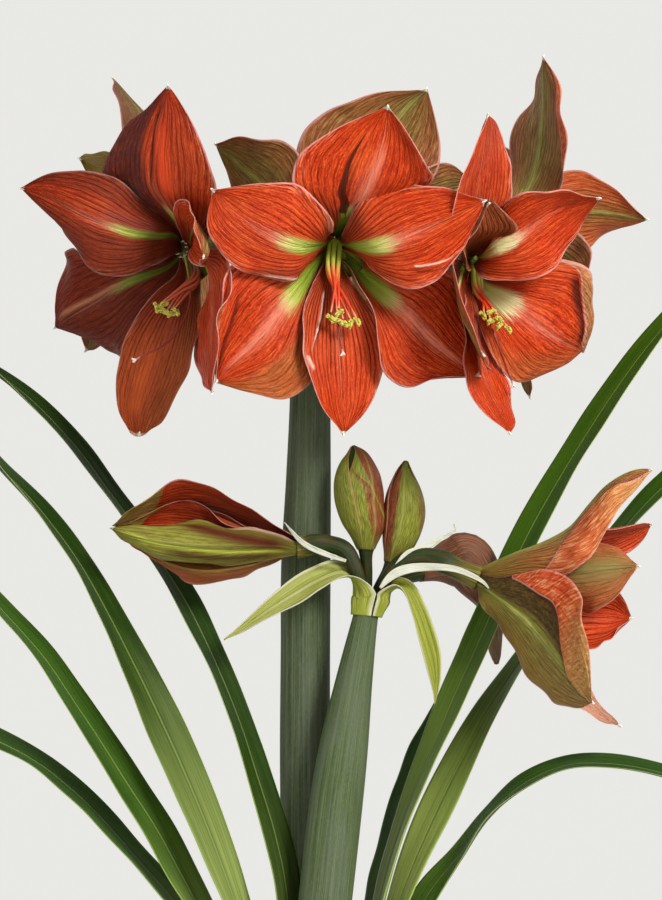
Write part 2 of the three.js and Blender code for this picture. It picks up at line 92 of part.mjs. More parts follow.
      S1: [[[101.1,-25.0,489.5],[100.6,-24.5,491.6],[100.0,-24.0,493.7],[100.1,-21.0,492.4],[100.2,-18.0,491.1]],[[115.0,-34.0,489.2],[113.7,-32.2,495.8],[112.4,-27.0,499.1],[113.0,-17.2,496.3],[113.6,-10.0,490.9]],[[132.2,-48.0,491.4],[128.4,-42.8,501.3],[124.6,-31.0,504.5],[126.5,-13.8,501.8],[128.3,-2.0,493.7]],[[148.6,-60.0,491.1],[144.2,-52.5,505.8],[139.9,-35.0,510.5],[142.0,-11.5,508.1],[144.2,4.0,497.7]],[[161.5,-69.0,500.2],[157.7,-58.5,514.5],[153.9,-38.0,518.9],[157.0,-11.0,515.8],[160.1,8.0,504.8]],[[171.6,-67.0,514.1],[168.3,-59.0,528.0],[165.0,-41.0,531.9],[168.8,-13.5,528.4],[172.6,6.0,516.9]],[[180.8,-60.0,529.8],[178.4,-56.5,541.8],[176.1,-43.0,543.8],[179.2,-18.5,542.2],[182.3,-2.0,532.6]],[[192.5,-52.0,542.1],[190.7,-50.5,549.3],[189.0,-44.0,551.4],[190.4,-30.0,550.1],[191.8,-20.0,544.8]],[[201.3,-45.0,553.2],[201.3,-45.0,553.5],[201.3,-45.0,553.8],[201.3,-45.0,553.5],[201.3,-45.0,553.2]]],
      S2: [[[100.1,-20.8,483.9],[99.0,-23.6,484.3],[98.6,-26.0,486.3],[99.0,-26.9,489.2],[100.0,-26.0,492.0]],[[102.1,-30.1,471.9],[105.1,-32.4,475.7],[107.7,-34.1,480.1],[109.8,-35.0,484.8],[111.9,-34.9,489.5]],[[113.8,-27.5,459.3],[114.2,-36.4,464.7],[117.1,-41.9,473.4],[121.3,-45.0,483.0],[126.4,-45.4,492.6]],[[122.3,-25.5,444.0],[123.1,-38.9,452.7],[126.4,-49.0,465.4],[132.6,-55.2,479.8],[141.3,-56.7,494.5]],[[130.9,-26.5,428.9],[131.7,-42.8,440.9],[134.6,-56.3,456.3],[141.6,-65.7,473.1],[153.5,-69.4,488.7]],[[142.4,-32.9,417.9],[140.1,-49.7,431.1],[142.0,-64.3,446.8],[147.8,-76.2,463.3],[157.7,-84.6,479.6]],[[151.2,-46.4,413.9],[148.3,-60.3,424.9],[149.4,-72.9,437.4],[153.0,-83.9,450.7],[158.6,-93.9,464.2]],[[158.7,-62.9,415.0],[156.6,-72.7,420.4],[157.2,-81.3,428.0],[158.9,-88.9,436.5],[161.2,-96.4,445.4]],[[165.3,-87.4,418.8],[165.0,-88.2,418.5],[164.9,-89.2,418.5],[164.7,-90.0,419.0],[164.7,-91.0,419.1]]],
      S3: [[[102.3,-25.0,485.6],[102.1,-26.1,487.6],[102.3,-26.0,489.8],[102.9,-24.7,491.4],[103.8,-22.8,492.0]],[[114.7,-29.7,482.8],[114.6,-30.0,486.5],[114.6,-30.0,490.3],[114.7,-29.3,493.9],[114.7,-28.3,497.5]],[[129.4,-32.0,480.0],[126.7,-35.8,484.8],[125.9,-36.3,491.4],[127.0,-33.4,497.4],[129.4,-27.6,499.5]],[[143.9,-36.3,477.4],[138.5,-42.6,483.0],[137.2,-42.9,492.8],[139.5,-37.4,500.9],[143.7,-28.5,503.7]],[[155.7,-44.3,472.2],[149.3,-50.6,481.3],[148.4,-49.6,493.9],[151.9,-42.3,503.8],[157.3,-31.5,508.7]],[[162.6,-56.8,468.3],[159.2,-59.6,481.3],[159.4,-56.9,494.6],[163.3,-49.1,505.1],[169.5,-38.3,511.2]],[[170.3,-68.5,472.7],[169.2,-68.0,484.4],[170.0,-64.6,495.5],[173.6,-57.6,503.9],[179.1,-47.9,507.2]],[[180.0,-76.8,481.1],[179.9,-75.2,489.1],[180.8,-72.2,496.5],[183.2,-67.1,502.1],[186.6,-60.0,503.2]],[[191.3,-81.2,497.2],[191.4,-80.3,497.5],[191.7,-79.4,497.5],[191.9,-78.4,497.4],[192.0,-77.5,497.0]]],
      S4: [[[103.5,-24.1,491.8],[103.7,-21.9,491.8],[103.9,-20.1,490.6],[103.9,-19.3,488.6],[103.8,-19.8,486.4]],[[116.4,-25.6,496.9],[116.3,-22.3,496.8],[116.6,-19.5,494.9],[117.1,-18.6,491.8],[117.6,-19.5,488.6]],[[129.7,-30.6,502.5],[129.1,-23.9,502.5],[129.5,-18.5,498.6],[130.8,-16.7,492.3],[132.5,-19.2,486.2]],[[143.5,-34.9,508.2],[142.1,-24.9,508.1],[142.5,-16.7,502.2],[144.6,-14.0,492.7],[147.5,-17.3,483.6]],[[157.4,-37.3,514.0],[155.3,-24.7,513.4],[155.4,-14.3,505.8],[158.0,-10.4,493.9],[162.0,-13.6,482.0]],[[171.2,-34.8,517.1],[168.7,-21.9,515.9],[169.2,-11.4,511.1],[173.0,-5.8,504.1],[179.6,-5.8,497.9]],[[183.6,-26.9,519.3],[181.5,-16.5,517.5],[182.0,-7.9,513.8],[185.1,-1.9,508.6],[190.9,1.2,503.2]],[[195.0,-16.4,520.6],[193.8,-9.9,519.2],[194.1,-4.0,517.0],[195.7,0.9,514.2],[199.0,4.9,510.9]],[[205.2,-1.5,520.6],[205.2,-0.6,520.7],[205.2,0.4,520.6],[205.2,1.4,520.7],[205.3,2.4,520.5]]],
      S5: [[[101.9,-18.5,492.0],[101.5,-17.2,489.6],[100.9,-17.4,487.0],[100.3,-19.0,484.9],[99.8,-21.5,483.8]],[[113.2,-22.7,484.8],[112.9,-18.4,483.9],[111.5,-15.9,480.6],[110.7,-18.5,477.3],[111.6,-22.7,477.2]],[[127.7,-28.9,480.7],[126.1,-19.8,481.0],[122.7,-14.0,475.1],[121.2,-19.2,468.2],[123.8,-27.8,468.1]],[[143.1,-33.6,477.0],[139.5,-20.3,478.7],[134.3,-11.5,470.6],[132.6,-18.7,459.9],[136.3,-31.7,458.3]],[[158.6,-35.2,474.2],[152.8,-18.9,477.2],[146.0,-8.0,467.2],[144.9,-16.7,453.5],[148.6,-33.0,449.3]],[[172.6,-30.9,476.7],[164.8,-14.0,476.6],[157.7,-3.2,465.1],[157.5,-12.2,450.5],[162.0,-29.6,446.2]],[[181.7,-18.2,479.5],[174.4,-5.0,475.3],[169.3,2.8,463.8],[169.6,-4.6,451.3],[172.8,-19.3,448.9]],[[187.3,-2.5,477.5],[183.4,5.0,472.1],[181.3,8.4,463.1],[181.8,3.1,455.1],[182.0,-6.8,454.5]],[[194.0,13.9,463.7],[193.9,12.9,463.4],[194.0,11.9,463.7],[193.8,10.9,463.6],[193.8,10.0,464.1]]],
      S6: [[[103.8,-19.6,486.7],[103.1,-20.7,485.4],[102.5,-22.2,484.9],[102.2,-24.0,485.0],[102.2,-25.4,486.0]],[[116.1,-22.0,478.4],[113.9,-22.7,476.2],[111.8,-23.8,474.3],[109.5,-25.1,472.7],[106.9,-26.0,471.3]],[[127.3,-18.5,468.0],[123.7,-21.2,465.1],[120.5,-24.7,462.7],[117.5,-28.6,460.6],[114.9,-33.1,459.4]],[[137.9,-13.6,457.4],[133.4,-19.1,453.8],[129.5,-25.5,451.0],[126.2,-32.5,448.8],[123.6,-39.9,447.6]],[[148.0,-9.4,446.3],[143.4,-17.7,442.6],[139.4,-26.6,439.9],[135.9,-35.8,437.5],[133.2,-45.5,436.1]],[[157.4,-8.4,434.6],[153.6,-18.1,431.8],[150.1,-27.9,429.4],[146.5,-37.6,426.9],[143.4,-47.6,424.9]],[[166.3,-11.9,422.9],[163.8,-20.7,421.3],[161.3,-29.4,419.7],[158.2,-37.7,417.4],[154.5,-45.8,414.5]],[[175.0,-18.2,411.7],[174.2,-24.6,411.3],[172.9,-30.8,410.4],[170.7,-36.7,409.1],[168.4,-42.7,408.0]],[[184.2,-30.3,400.9],[184.1,-31.3,401.1],[184.3,-32.3,400.9],[183.9,-33.1,401.2],[183.8,-34.2,401.3]]],
    },
  },
  bcen: {
    C: [15.7,46.0,693.2], A: [0.0,0.999,0.05],
    T: {
      C1: [[[21.0,47.2,694.0],[20.2,46.1,696.0],[18.2,45.7,697.5],[15.7,46.0,698.3],[13.2,46.8,698.1]],[[19.9,47.9,716.1],[20.3,49.9,711.1],[20.0,53.8,708.4],[15.8,55.8,708.8],[11.4,56.4,709.7]],[[36.5,51.6,720.6],[30.4,58.0,718.6],[23.3,63.8,717.4],[12.2,65.0,720.4],[0.7,65.7,721.0]],[[52.9,58.1,723.9],[41.5,65.6,725.1],[28.4,70.1,728.5],[10.5,69.7,734.8],[-9.3,69.1,739.4]],[[66.7,67.0,728.7],[51.4,72.0,734.0],[35.1,72.6,740.7],[15.0,70.8,749.7],[-5.0,69.3,760.3]],[[77.1,75.9,734.8],[60.1,75.5,744.6],[42.8,73.2,753.2],[25.0,70.3,762.2],[8.4,67.8,772.7]],[[80.4,77.6,749.8],[65.4,75.5,757.7],[51.1,72.5,765.8],[37.9,68.7,772.6],[24.8,65.3,779.7]],[[77.7,74.6,766.4],[69.2,72.3,771.8],[60.9,69.7,777.5],[52.8,66.5,781.5],[43.9,63.8,784.7]],[[71.9,66.8,787.6],[71.9,65.8,787.4],[72.1,64.9,787.0],[71.1,64.6,786.7],[70.4,63.9,786.6]]],
      C2: [[[16.4,46.8,698.6],[13.9,46.0,697.9],[11.7,45.8,696.2],[10.5,46.3,693.8],[10.6,47.2,691.2]],[[5.5,52.4,705.3],[4.0,54.4,701.5],[3.2,56.4,697.6],[2.6,58.1,693.4],[2.0,59.7,688.7]],[[-0.1,55.8,719.5],[-3.4,60.1,712.0],[-5.5,64.6,704.2],[-6.4,69.8,696.8],[-5.2,76.3,690.5]],[[-5.6,58.2,734.4],[-10.1,65.1,723.5],[-13.8,72.4,712.3],[-15.2,81.3,702.0],[-13.7,92.0,693.4]],[[-8.0,62.8,748.7],[-16.4,70.4,734.7],[-22.0,79.6,721.0],[-24.4,91.2,708.6],[-23.6,105.1,698.3]],[[-20.3,63.9,755.6],[-25.8,75.2,742.9],[-30.6,86.3,729.6],[-33.6,98.7,717.1],[-34.5,112.7,705.9]],[[-34.9,68.4,756.4],[-37.0,81.1,748.3],[-39.8,92.3,738.4],[-42.4,103.1,727.9],[-44.8,114.4,717.5]],[[-46.3,81.1,758.6],[-47.5,89.8,753.5],[-49.6,97.4,747.1],[-51.4,104.5,740.3],[-51.3,112.2,733.7]],[[-60.0,99.8,755.5],[-59.9,100.8,755.7],[-59.7,101.8,755.8],[-59.4,102.7,755.5],[-59.1,103.7,755.4]]],
      C3: [[[17.6,50.2,690.0],[18.9,49.4,691.6],[19.2,48.9,693.7],[18.4,49.1,695.8],[16.9,49.8,697.2]],[[26.2,60.6,694.2],[27.5,58.3,696.4],[28.2,56.4,699.1],[28.0,54.8,702.1],[26.9,53.6,705.2]],[[34.7,73.1,694.7],[36.8,68.0,698.7],[38.0,63.5,703.7],[38.1,59.7,709.4],[37.3,56.6,715.3]],[[44.4,84.9,694.5],[46.8,77.2,700.8],[48.3,70.3,708.3],[48.7,64.3,716.5],[48.1,59.0,725.3]],[[55.5,94.7,694.1],[57.5,85.4,703.0],[58.6,77.0,712.8],[59.3,69.3,723.2],[59.5,61.9,733.7]],[[67.5,100.8,696.4],[68.4,91.9,706.7],[69.0,83.7,717.5],[69.6,75.7,728.5],[70.6,67.4,738.9]],[[79.4,103.7,703.1],[79.5,96.6,712.5],[79.5,89.9,722.2],[79.7,83.4,732.1],[79.8,77.1,742.2]],[[91.0,104.4,712.5],[90.7,100.1,719.4],[90.3,95.8,726.3],[90.1,91.7,733.5],[90.0,87.9,740.9]],[[101.6,102.9,729.4],[101.6,101.9,729.6],[101.7,100.9,729.6],[101.9,99.9,729.6],[101.8,98.9,729.5]]],
      C4: [[[18.6,49.6,696.0],[16.9,49.0,696.9],[14.9,48.9,696.9],[13.1,49.1,696.1],[11.9,49.7,694.6]],[[21.3,62.2,699.1],[18.5,61.7,700.0],[15.4,61.6,700.1],[12.5,61.8,699.5],[9.8,62.4,698.2]],[[27.7,74.7,703.1],[21.8,73.9,704.7],[15.7,73.7,704.9],[9.7,74.4,703.6],[4.3,75.7,700.9]],[[33.9,86.4,709.7],[24.9,85.2,711.2],[15.7,85.1,711.1],[6.7,86.2,709.3],[-1.6,88.3,706.0]],[[38.8,96.6,718.7],[27.1,95.5,719.4],[15.5,95.7,718.7],[4.0,97.0,716.7],[-6.9,99.6,713.4]],[[39.6,105.0,729.3],[27.3,104.6,728.8],[15.1,105.2,727.6],[3.0,106.5,725.7],[-8.9,108.7,723.2]],[[35.4,112.0,740.3],[24.9,112.6,738.9],[14.4,113.4,737.5],[4.0,114.6,736.1],[-6.4,116.1,734.5]],[[27.7,118.3,751.0],[20.6,119.3,749.6],[13.5,120.3,748.3],[6.4,121.4,747.4],[-0.8,122.4,746.4]],[[12.1,123.6,759.9],[12.0,124.6,760.1],[12.0,125.5,760.0],[12.0,126.5,759.9],[11.7,127.4,759.8]]],
      C5: [[[13.0,47.3,688.6],[15.6,46.6,688.1],[18.2,46.3,688.9],[20.1,46.4,690.8],[21.0,47.1,693.2]],[[11.9,61.0,684.8],[16.1,60.0,685.2],[20.2,59.6,686.9],[23.5,59.7,689.8],[25.8,60.4,693.6]],[[5.8,75.8,678.9],[14.7,73.4,679.7],[23.2,72.3,683.3],[30.2,72.6,689.3],[34.9,74.4,697.0]],[[1.4,89.8,669.6],[14.6,85.9,672.2],[27.1,84.1,678.0],[38.0,84.5,686.7],[46.5,87.2,697.4]],[[0.4,101.3,657.9],[16.4,96.9,663.4],[31.8,94.8,671.4],[46.1,95.0,681.5],[58.6,97.7,693.4]],[[5.0,109.7,646.7],[21.3,106.2,654.5],[37.2,104.3,663.5],[52.7,104.0,673.5],[67.5,105.3,684.3]],[[16.4,115.8,638.9],[29.8,113.9,646.6],[43.1,112.4,654.6],[56.6,111.5,662.6],[69.9,111.1,670.6]],[[32.0,121.2,634.1],[40.8,120.1,639.5],[49.5,118.9,644.8],[58.5,117.8,649.7],[67.5,116.6,654.6]],[[55.6,125.5,634.2],[55.9,124.5,634.2],[56.0,123.5,634.1],[56.1,122.5,634.0],[56.1,121.5,634.2]]],
      C6: [[[11.8,49.9,693.9],[12.3,49.4,691.8],[13.8,49.2,690.3],[16.0,49.5,689.7],[18.0,50.1,690.3]],[[7.4,62.8,692.2],[9.4,62.3,689.5],[12.1,62.1,687.5],[15.2,62.4,686.3],[18.5,63.1,686.0]],[[-0.0,76.1,692.7],[4.1,74.9,687.4],[9.6,74.5,683.3],[15.9,75.1,680.8],[22.6,76.5,680.0]],[[-8.9,88.6,691.0],[-2.0,86.7,683.7],[6.3,86.1,677.8],[15.7,86.9,673.7],[25.5,89.0,671.6]],[[-18.1,99.6,686.6],[-8.5,97.4,678.2],[2.4,96.7,671.0],[14.0,97.5,665.3],[26.1,99.9,661.2]],[[-24.8,108.6,678.3],[-13.8,106.9,670.3],[-2.2,106.3,663.1],[9.8,106.7,656.6],[22.1,108.3,650.8]],[[-27.4,115.9,666.4],[-17.5,115.0,660.2],[-7.4,114.5,654.2],[2.7,114.4,648.2],[12.9,114.8,642.3]],[[-27.0,122.4,652.7],[-20.0,121.8,648.6],[-13.1,121.2,644.5],[-6.4,120.7,640.1],[0.4,120.2,635.7]],[[-19.6,128.1,634.7],[-19.5,127.2,634.3],[-19.5,126.2,634.2],[-19.5,125.2,634.0],[-19.3,124.2,634.1]]],
    },
  },
  bleft: {
    C: [-63.4,34.0,701.2], A: [-0.727,0.687,0.0],
    T: {
      B1: [[[-61.1,38.1,704.1],[-61.9,36.0,705.7],[-63.5,33.9,706.1],[-65.5,32.2,705.4],[-67.4,31.3,703.8]],[[-66.9,47.0,715.0],[-67.9,43.0,716.5],[-70.2,39.4,717.0],[-72.9,35.9,716.7],[-75.4,32.4,716.4]],[[-69.0,60.7,725.5],[-72.0,52.2,727.7],[-76.9,44.3,728.3],[-83.0,37.4,727.5],[-89.9,31.6,725.3]],[[-70.8,73.7,737.2],[-76.3,61.0,739.3],[-83.6,48.9,739.8],[-92.7,38.2,738.6],[-103.7,29.6,735.4]],[[-74.1,84.7,749.4],[-81.9,68.8,750.7],[-90.5,53.5,751.2],[-100.2,38.9,751.0],[-111.1,25.5,749.6]],[[-82.9,91.4,759.8],[-90.1,74.5,761.1],[-97.9,57.9,762.4],[-106.1,41.6,763.5],[-114.5,25.4,764.2]],[[-95.9,91.4,768.4],[-100.4,76.8,771.1],[-105.8,62.4,773.2],[-111.5,48.0,775.0],[-117.2,33.5,776.9]],[[-109.2,86.5,778.9],[-110.9,76.7,781.9],[-114.0,67.0,783.7],[-117.5,57.2,785.0],[-120.5,47.4,786.8]],[[-122.2,73.5,794.1],[-121.9,72.5,794.2],[-121.8,71.5,794.3],[-121.7,70.6,794.5],[-121.4,69.6,794.5]]],
      B2: [[[-65.8,36.9,705.0],[-66.6,35.1,704.6],[-67.5,33.9,703.3],[-68.3,33.5,701.5],[-68.6,34.2,699.8]],[[-74.0,47.0,706.8],[-73.8,44.9,708.9],[-73.1,42.7,710.8],[-72.0,40.3,712.5],[-70.3,38.4,714.6]],[[-80.0,59.9,709.2],[-80.3,55.5,713.5],[-80.4,50.9,717.6],[-80.5,46.0,721.3],[-81.1,41.1,724.7]],[[-87.5,72.1,711.9],[-88.7,65.0,717.8],[-89.9,57.6,723.3],[-91.0,50.2,728.8],[-92.1,43.1,734.5]],[[-96.6,82.6,715.0],[-98.6,73.0,721.6],[-100.6,63.3,727.9],[-102.5,53.9,734.7],[-104.0,45.2,742.2]],[[-107.8,89.0,718.7],[-109.8,78.7,725.2],[-111.8,68.6,731.9],[-114.0,58.7,738.9],[-116.1,49.2,746.4]],[[-120.6,90.6,723.2],[-121.6,82.3,729.4],[-122.9,74.0,735.9],[-124.9,65.4,741.9],[-127.4,56.7,747.2]],[[-133.8,89.5,729.7],[-132.7,85.5,735.9],[-133.2,80.0,740.7],[-135.1,73.8,744.0],[-137.1,67.5,747.3]],[[-143.4,85.0,745.1],[-143.3,85.8,745.7],[-143.0,86.7,746.0],[-143.1,85.7,746.3],[-143.2,84.8,746.4]]],
      B3: [[[-67.5,30.7,702.1],[-66.9,30.5,700.0],[-66.1,31.1,698.1],[-65.1,32.4,696.6],[-64.1,34.3,695.9]],[[-81.7,32.0,697.0],[-80.0,33.0,694.1],[-78.4,34.7,691.5],[-76.8,36.9,689.3],[-75.3,39.7,687.6]],[[-98.3,30.9,695.0],[-94.2,32.7,689.1],[-90.5,36.1,683.7],[-87.2,40.8,679.0],[-84.4,46.7,675.4]],[[-114.2,26.8,691.3],[-107.7,30.0,682.9],[-101.8,35.2,674.9],[-96.9,42.1,667.6],[-93.0,50.6,661.4]],[[-128.0,29.9,685.4],[-119.8,35.1,675.3],[-112.5,42.0,665.5],[-106.2,50.4,656.1],[-101.2,60.1,647.4]],[[-137.0,30.0,675.9],[-128.9,36.8,665.6],[-121.4,44.5,655.4],[-114.8,53.1,645.3],[-108.9,62.4,635.5]],[[-140.6,29.6,662.3],[-134.3,36.2,653.6],[-128.3,43.1,645.0],[-121.4,50.3,639.5],[-116.8,57.7,633.7]],[[-140.4,26.4,646.2],[-136.7,31.2,640.4],[-133.0,36.1,634.7],[-130.0,41.1,629.6],[-128.4,45.9,628.5]],[[-135.8,23.7,625.3],[-135.8,24.7,625.1],[-135.9,25.7,625.0],[-136.0,26.6,624.8],[-136.2,27.6,625.0]]],
      B4: [[[-68.7,34.2,699.5],[-67.2,34.8,698.0],[-65.5,36.2,697.6],[-64.2,37.9,698.2],[-63.7,39.4,699.8]],[[-78.5,42.7,694.7],[-75.7,44.5,694.2],[-73.2,46.7,694.6],[-71.1,49.1,695.8],[-69.6,51.3,697.8]],[[-91.5,49.1,690.0],[-85.7,52.5,689.1],[-80.4,56.8,689.8],[-76.0,61.4,692.2],[-72.8,66.1,696.1]],[[-103.6,55.1,682.5],[-94.8,60.1,681.9],[-86.7,66.3,683.3],[-80.0,73.3,686.5],[-74.9,80.7,691.5]],[[-113.3,60.6,672.5],[-102.2,67.3,673.0],[-92.1,75.2,675.1],[-83.3,84.0,678.7],[-76.1,93.6,683.8]],[[-117.8,67.0,661.0],[-106.6,74.7,662.8],[-96.2,83.2,665.4],[-86.7,92.4,668.8],[-78.2,102.3,673.1]],[[-116.5,75.3,649.6],[-107.6,82.5,652.0],[-99.0,90.2,654.6],[-90.7,98.1,657.3],[-82.8,106.2,660.3]],[[-111.6,84.8,639.0],[-106.0,90.3,640.9],[-100.3,95.9,642.8],[-94.7,101.6,644.6],[-89.1,107.2,646.5]],[[-100.1,98.5,630.2],[-100.2,99.5,630.3],[-100.2,100.5,630.4],[-100.3,101.5,630.5],[-100.2,102.5,630.7]]],
      B5: [[[-64.2,34.6,695.8],[-62.0,35.9,696.6],[-60.5,37.1,698.5],[-60.1,38.0,701.1],[-60.9,38.3,703.6]],[[-73.2,43.4,689.4],[-69.8,45.7,691.1],[-67.2,47.9,693.9],[-65.8,50.0,697.5],[-65.7,51.8,701.5]],[[-84.9,50.0,678.9],[-77.5,54.4,682.4],[-72.2,59.2,688.3],[-69.6,63.9,695.8],[-70.0,68.1,704.0]],[[-93.6,57.3,665.8],[-83.0,63.5,672.5],[-75.4,70.6,681.8],[-71.3,78.1,692.8],[-71.2,85.4,704.6]],[[-97.6,65.3,651.9],[-85.8,73.0,662.3],[-76.9,81.8,674.4],[-71.3,91.5,687.9],[-69.2,101.5,702.0]],[[-95.8,74.7,640.7],[-85.4,83.3,653.2],[-76.9,92.7,666.5],[-70.2,102.9,680.3],[-65.7,113.7,694.5]],[[-89.0,87.0,635.1],[-81.8,94.9,646.5],[-75.2,103.1,658.0],[-69.1,111.7,669.5],[-63.6,120.5,681.1]],[[-79.9,101.4,633.7],[-75.8,107.0,641.4],[-71.8,112.7,649.1],[-67.7,118.5,656.7],[-63.6,124.2,664.4]],[[-66.4,119.5,640.3],[-66.4,120.5,640.2],[-66.5,121.5,640.4],[-66.6,122.4,640.6],[-66.6,123.4,640.7]]],
      B6: [[[-64.1,39.0,698.8],[-63.2,38.9,700.8],[-63.4,38.3,703.0],[-64.7,37.4,704.5],[-66.6,36.4,705.1]],[[-68.2,51.4,699.8],[-68.1,50.4,703.0],[-69.1,49.2,705.9],[-70.8,47.7,708.4],[-73.3,46.2,710.2]],[[-71.7,65.4,697.3],[-71.5,63.0,703.7],[-73.3,60.3,709.7],[-76.8,57.4,714.7],[-81.9,54.6,718.4]],[[-73.1,80.0,695.9],[-73.3,75.9,705.3],[-76.0,71.7,714.2],[-81.1,67.5,722.0],[-88.3,63.6,728.2]],[[-72.1,94.3,696.7],[-73.5,88.6,708.2],[-77.3,83.0,719.3],[-83.3,77.7,729.5],[-91.5,73.1,738.5]],[[-69.7,106.3,701.8],[-72.6,100.0,713.6],[-77.0,94.1,725.1],[-82.9,88.5,736.1],[-90.0,83.5,746.6]],[[-67.6,115.2,711.7],[-71.1,109.9,721.5],[-75.2,104.7,731.2],[-79.8,99.8,740.9],[-84.7,95.2,750.6]],[[-66.2,122.2,724.4],[-69.0,118.5,731.1],[-71.8,114.8,737.8],[-74.6,111.1,744.5],[-77.3,107.7,751.3]],[[-66.7,125.9,743.8],[-66.9,125.0,744.1],[-66.6,124.0,744.2],[-66.4,123.1,744.4],[-66.4,122.1,744.1]]],
    },
  },
  bright: {
    C: [104.2,30.0,703.4], A: [0.726,0.686,0.05],
    T: {
      K1: [[[108.3,27.0,705.5],[106.7,27.6,707.2],[104.9,29.0,708.2],[103.4,30.9,708.3],[102.4,32.9,707.5]],[[123.3,30.3,710.8],[120.3,33.0,710.4],[117.5,35.4,712.1],[114.8,37.6,714.3],[112.0,39.7,716.7]],[[141.5,31.6,709.3],[134.9,35.2,715.1],[128.9,40.0,719.6],[123.7,45.9,722.8],[119.6,53.1,723.8]],[[150.9,24.2,722.4],[143.5,32.8,727.3],[136.0,41.9,731.9],[128.7,51.6,735.8],[122.2,62.2,738.2]],[[154.6,15.1,736.6],[147.3,27.8,741.3],[139.7,40.6,746.0],[131.4,53.4,750.4],[122.5,66.3,754.5]],[[155.0,9.3,751.2],[148.2,23.4,755.9],[141.4,37.5,760.4],[134.5,51.7,764.7],[128.1,66.3,769.0]],[[151.8,9.2,766.9],[147.2,21.5,771.1],[142.2,33.7,774.9],[138.1,46.4,778.3],[136.3,59.8,781.1]],[[150.9,14.1,783.9],[145.8,21.5,786.8],[142.1,29.7,789.3],[139.9,38.4,791.5],[139.9,47.6,793.3]],[[141.3,23.5,803.0],[141.1,24.5,803.2],[141.1,25.5,803.6],[141.2,26.5,803.6],[141.5,27.4,803.8]]],
      K2: [[[108.8,30.9,700.5],[109.0,29.8,702.1],[108.8,29.5,704.1],[108.4,30.1,705.9],[107.7,31.5,707.2]],[[116.0,40.6,693.5],[116.4,40.5,697.4],[116.4,40.6,701.1],[116.1,41.1,704.5],[115.4,41.8,707.8]],[[128.1,49.6,690.8],[127.9,48.2,697.0],[127.6,47.7,703.4],[126.9,47.8,709.8],[125.7,48.7,716.0]],[[141.6,56.3,688.3],[140.9,53.5,697.4],[140.1,51.7,706.7],[139.3,50.5,716.1],[138.0,50.5,725.3]],[[155.7,60.9,686.4],[154.2,56.9,697.7],[153.2,53.5,709.5],[152.2,50.9,721.6],[150.8,49.5,734.2]],[[169.4,64.0,687.7],[167.4,58.2,699.0],[166.4,53.2,710.7],[165.8,49.4,722.9],[165.9,46.6,735.7]],[[180.7,65.5,696.7],[180.4,56.8,701.8],[179.8,50.8,710.1],[179.2,46.8,719.6],[178.7,42.6,729.0]],[[193.7,59.8,703.3],[193.5,52.6,703.0],[193.0,47.6,707.8],[192.6,44.6,714.1],[190.6,40.4,719.2]],[[206.1,45.8,706.0],[206.1,44.9,705.6],[206.0,43.9,705.4],[205.5,43.0,705.6],[205.1,42.0,705.7]]],
      K3: [[[104.6,31.1,698.1],[105.6,29.2,698.5],[106.7,27.7,699.7],[107.6,26.8,701.4],[108.4,26.7,703.5]],[[115.7,34.3,690.8],[117.1,31.7,692.8],[118.6,29.7,695.2],[120.1,28.1,698.0],[121.6,27.2,701.1]],[[125.1,39.7,679.8],[127.3,34.1,684.1],[130.1,29.7,689.3],[133.3,26.4,695.2],[136.8,24.7,701.5]],[[133.5,41.8,666.9],[136.4,33.8,674.0],[140.4,27.2,682.1],[145.4,22.0,690.7],[151.1,18.7,699.7]],[[140.0,39.1,653.7],[143.8,30.0,663.6],[148.9,22.0,674.0],[155.0,15.1,684.5],[162.2,9.7,695.3]],[[144.5,31.0,643.5],[149.2,22.4,654.4],[154.8,14.3,665.5],[161.0,6.7,676.5],[167.9,-0.1,687.5]],[[148.1,18.3,638.5],[152.8,11.6,647.9],[157.7,4.8,657.3],[162.7,-1.9,666.6],[168.0,-8.3,675.9]],[[151.3,3.3,637.6],[154.7,-1.2,643.8],[157.9,-5.8,649.9],[161.1,-10.4,656.1],[164.4,-14.9,662.3]],[[156.4,-15.4,643.7],[156.3,-16.2,643.2],[156.2,-17.0,643.7],[156.3,-18.0,643.8],[156.3,-18.9,644.0]]],
      K4: [[[104.6,34.6,701.2],[105.2,33.7,700.4],[106.0,32.7,700.0],[107.0,31.8,700.0],[108.1,31.1,700.3]],[[101.9,38.2,686.7],[104.1,37.6,686.9],[106.1,36.8,686.8],[108.0,35.9,686.8],[110.0,35.2,686.8]],[[105.2,47.1,675.2],[106.2,43.4,674.0],[108.5,40.1,673.4],[111.6,37.4,673.2],[115.0,35.1,673.3]],[[108.9,55.5,663.4],[110.0,49.7,661.7],[112.4,44.1,660.5],[115.8,39.1,659.8],[119.9,34.5,659.6]],[[112.7,62.9,651.3],[114.4,55.5,649.4],[117.1,48.4,647.9],[120.7,41.5,646.8],[124.8,34.9,646.1]],[[116.8,67.8,638.5],[119.2,60.1,636.9],[122.1,52.7,635.4],[125.5,45.3,634.2],[129.1,38.0,633.1]],[[121.7,69.6,625.1],[124.3,63.2,624.0],[127.0,56.8,622.9],[129.8,50.5,621.9],[132.5,44.0,620.8]],[[127.0,69.6,611.4],[129.3,65.2,610.8],[131.5,60.8,610.1],[133.5,56.3,609.6],[135.6,51.9,609.0]],[[134.9,66.3,597.1],[134.9,65.3,597.1],[135.0,64.3,597.0],[134.9,63.4,596.9],[134.8,62.4,596.6]]],
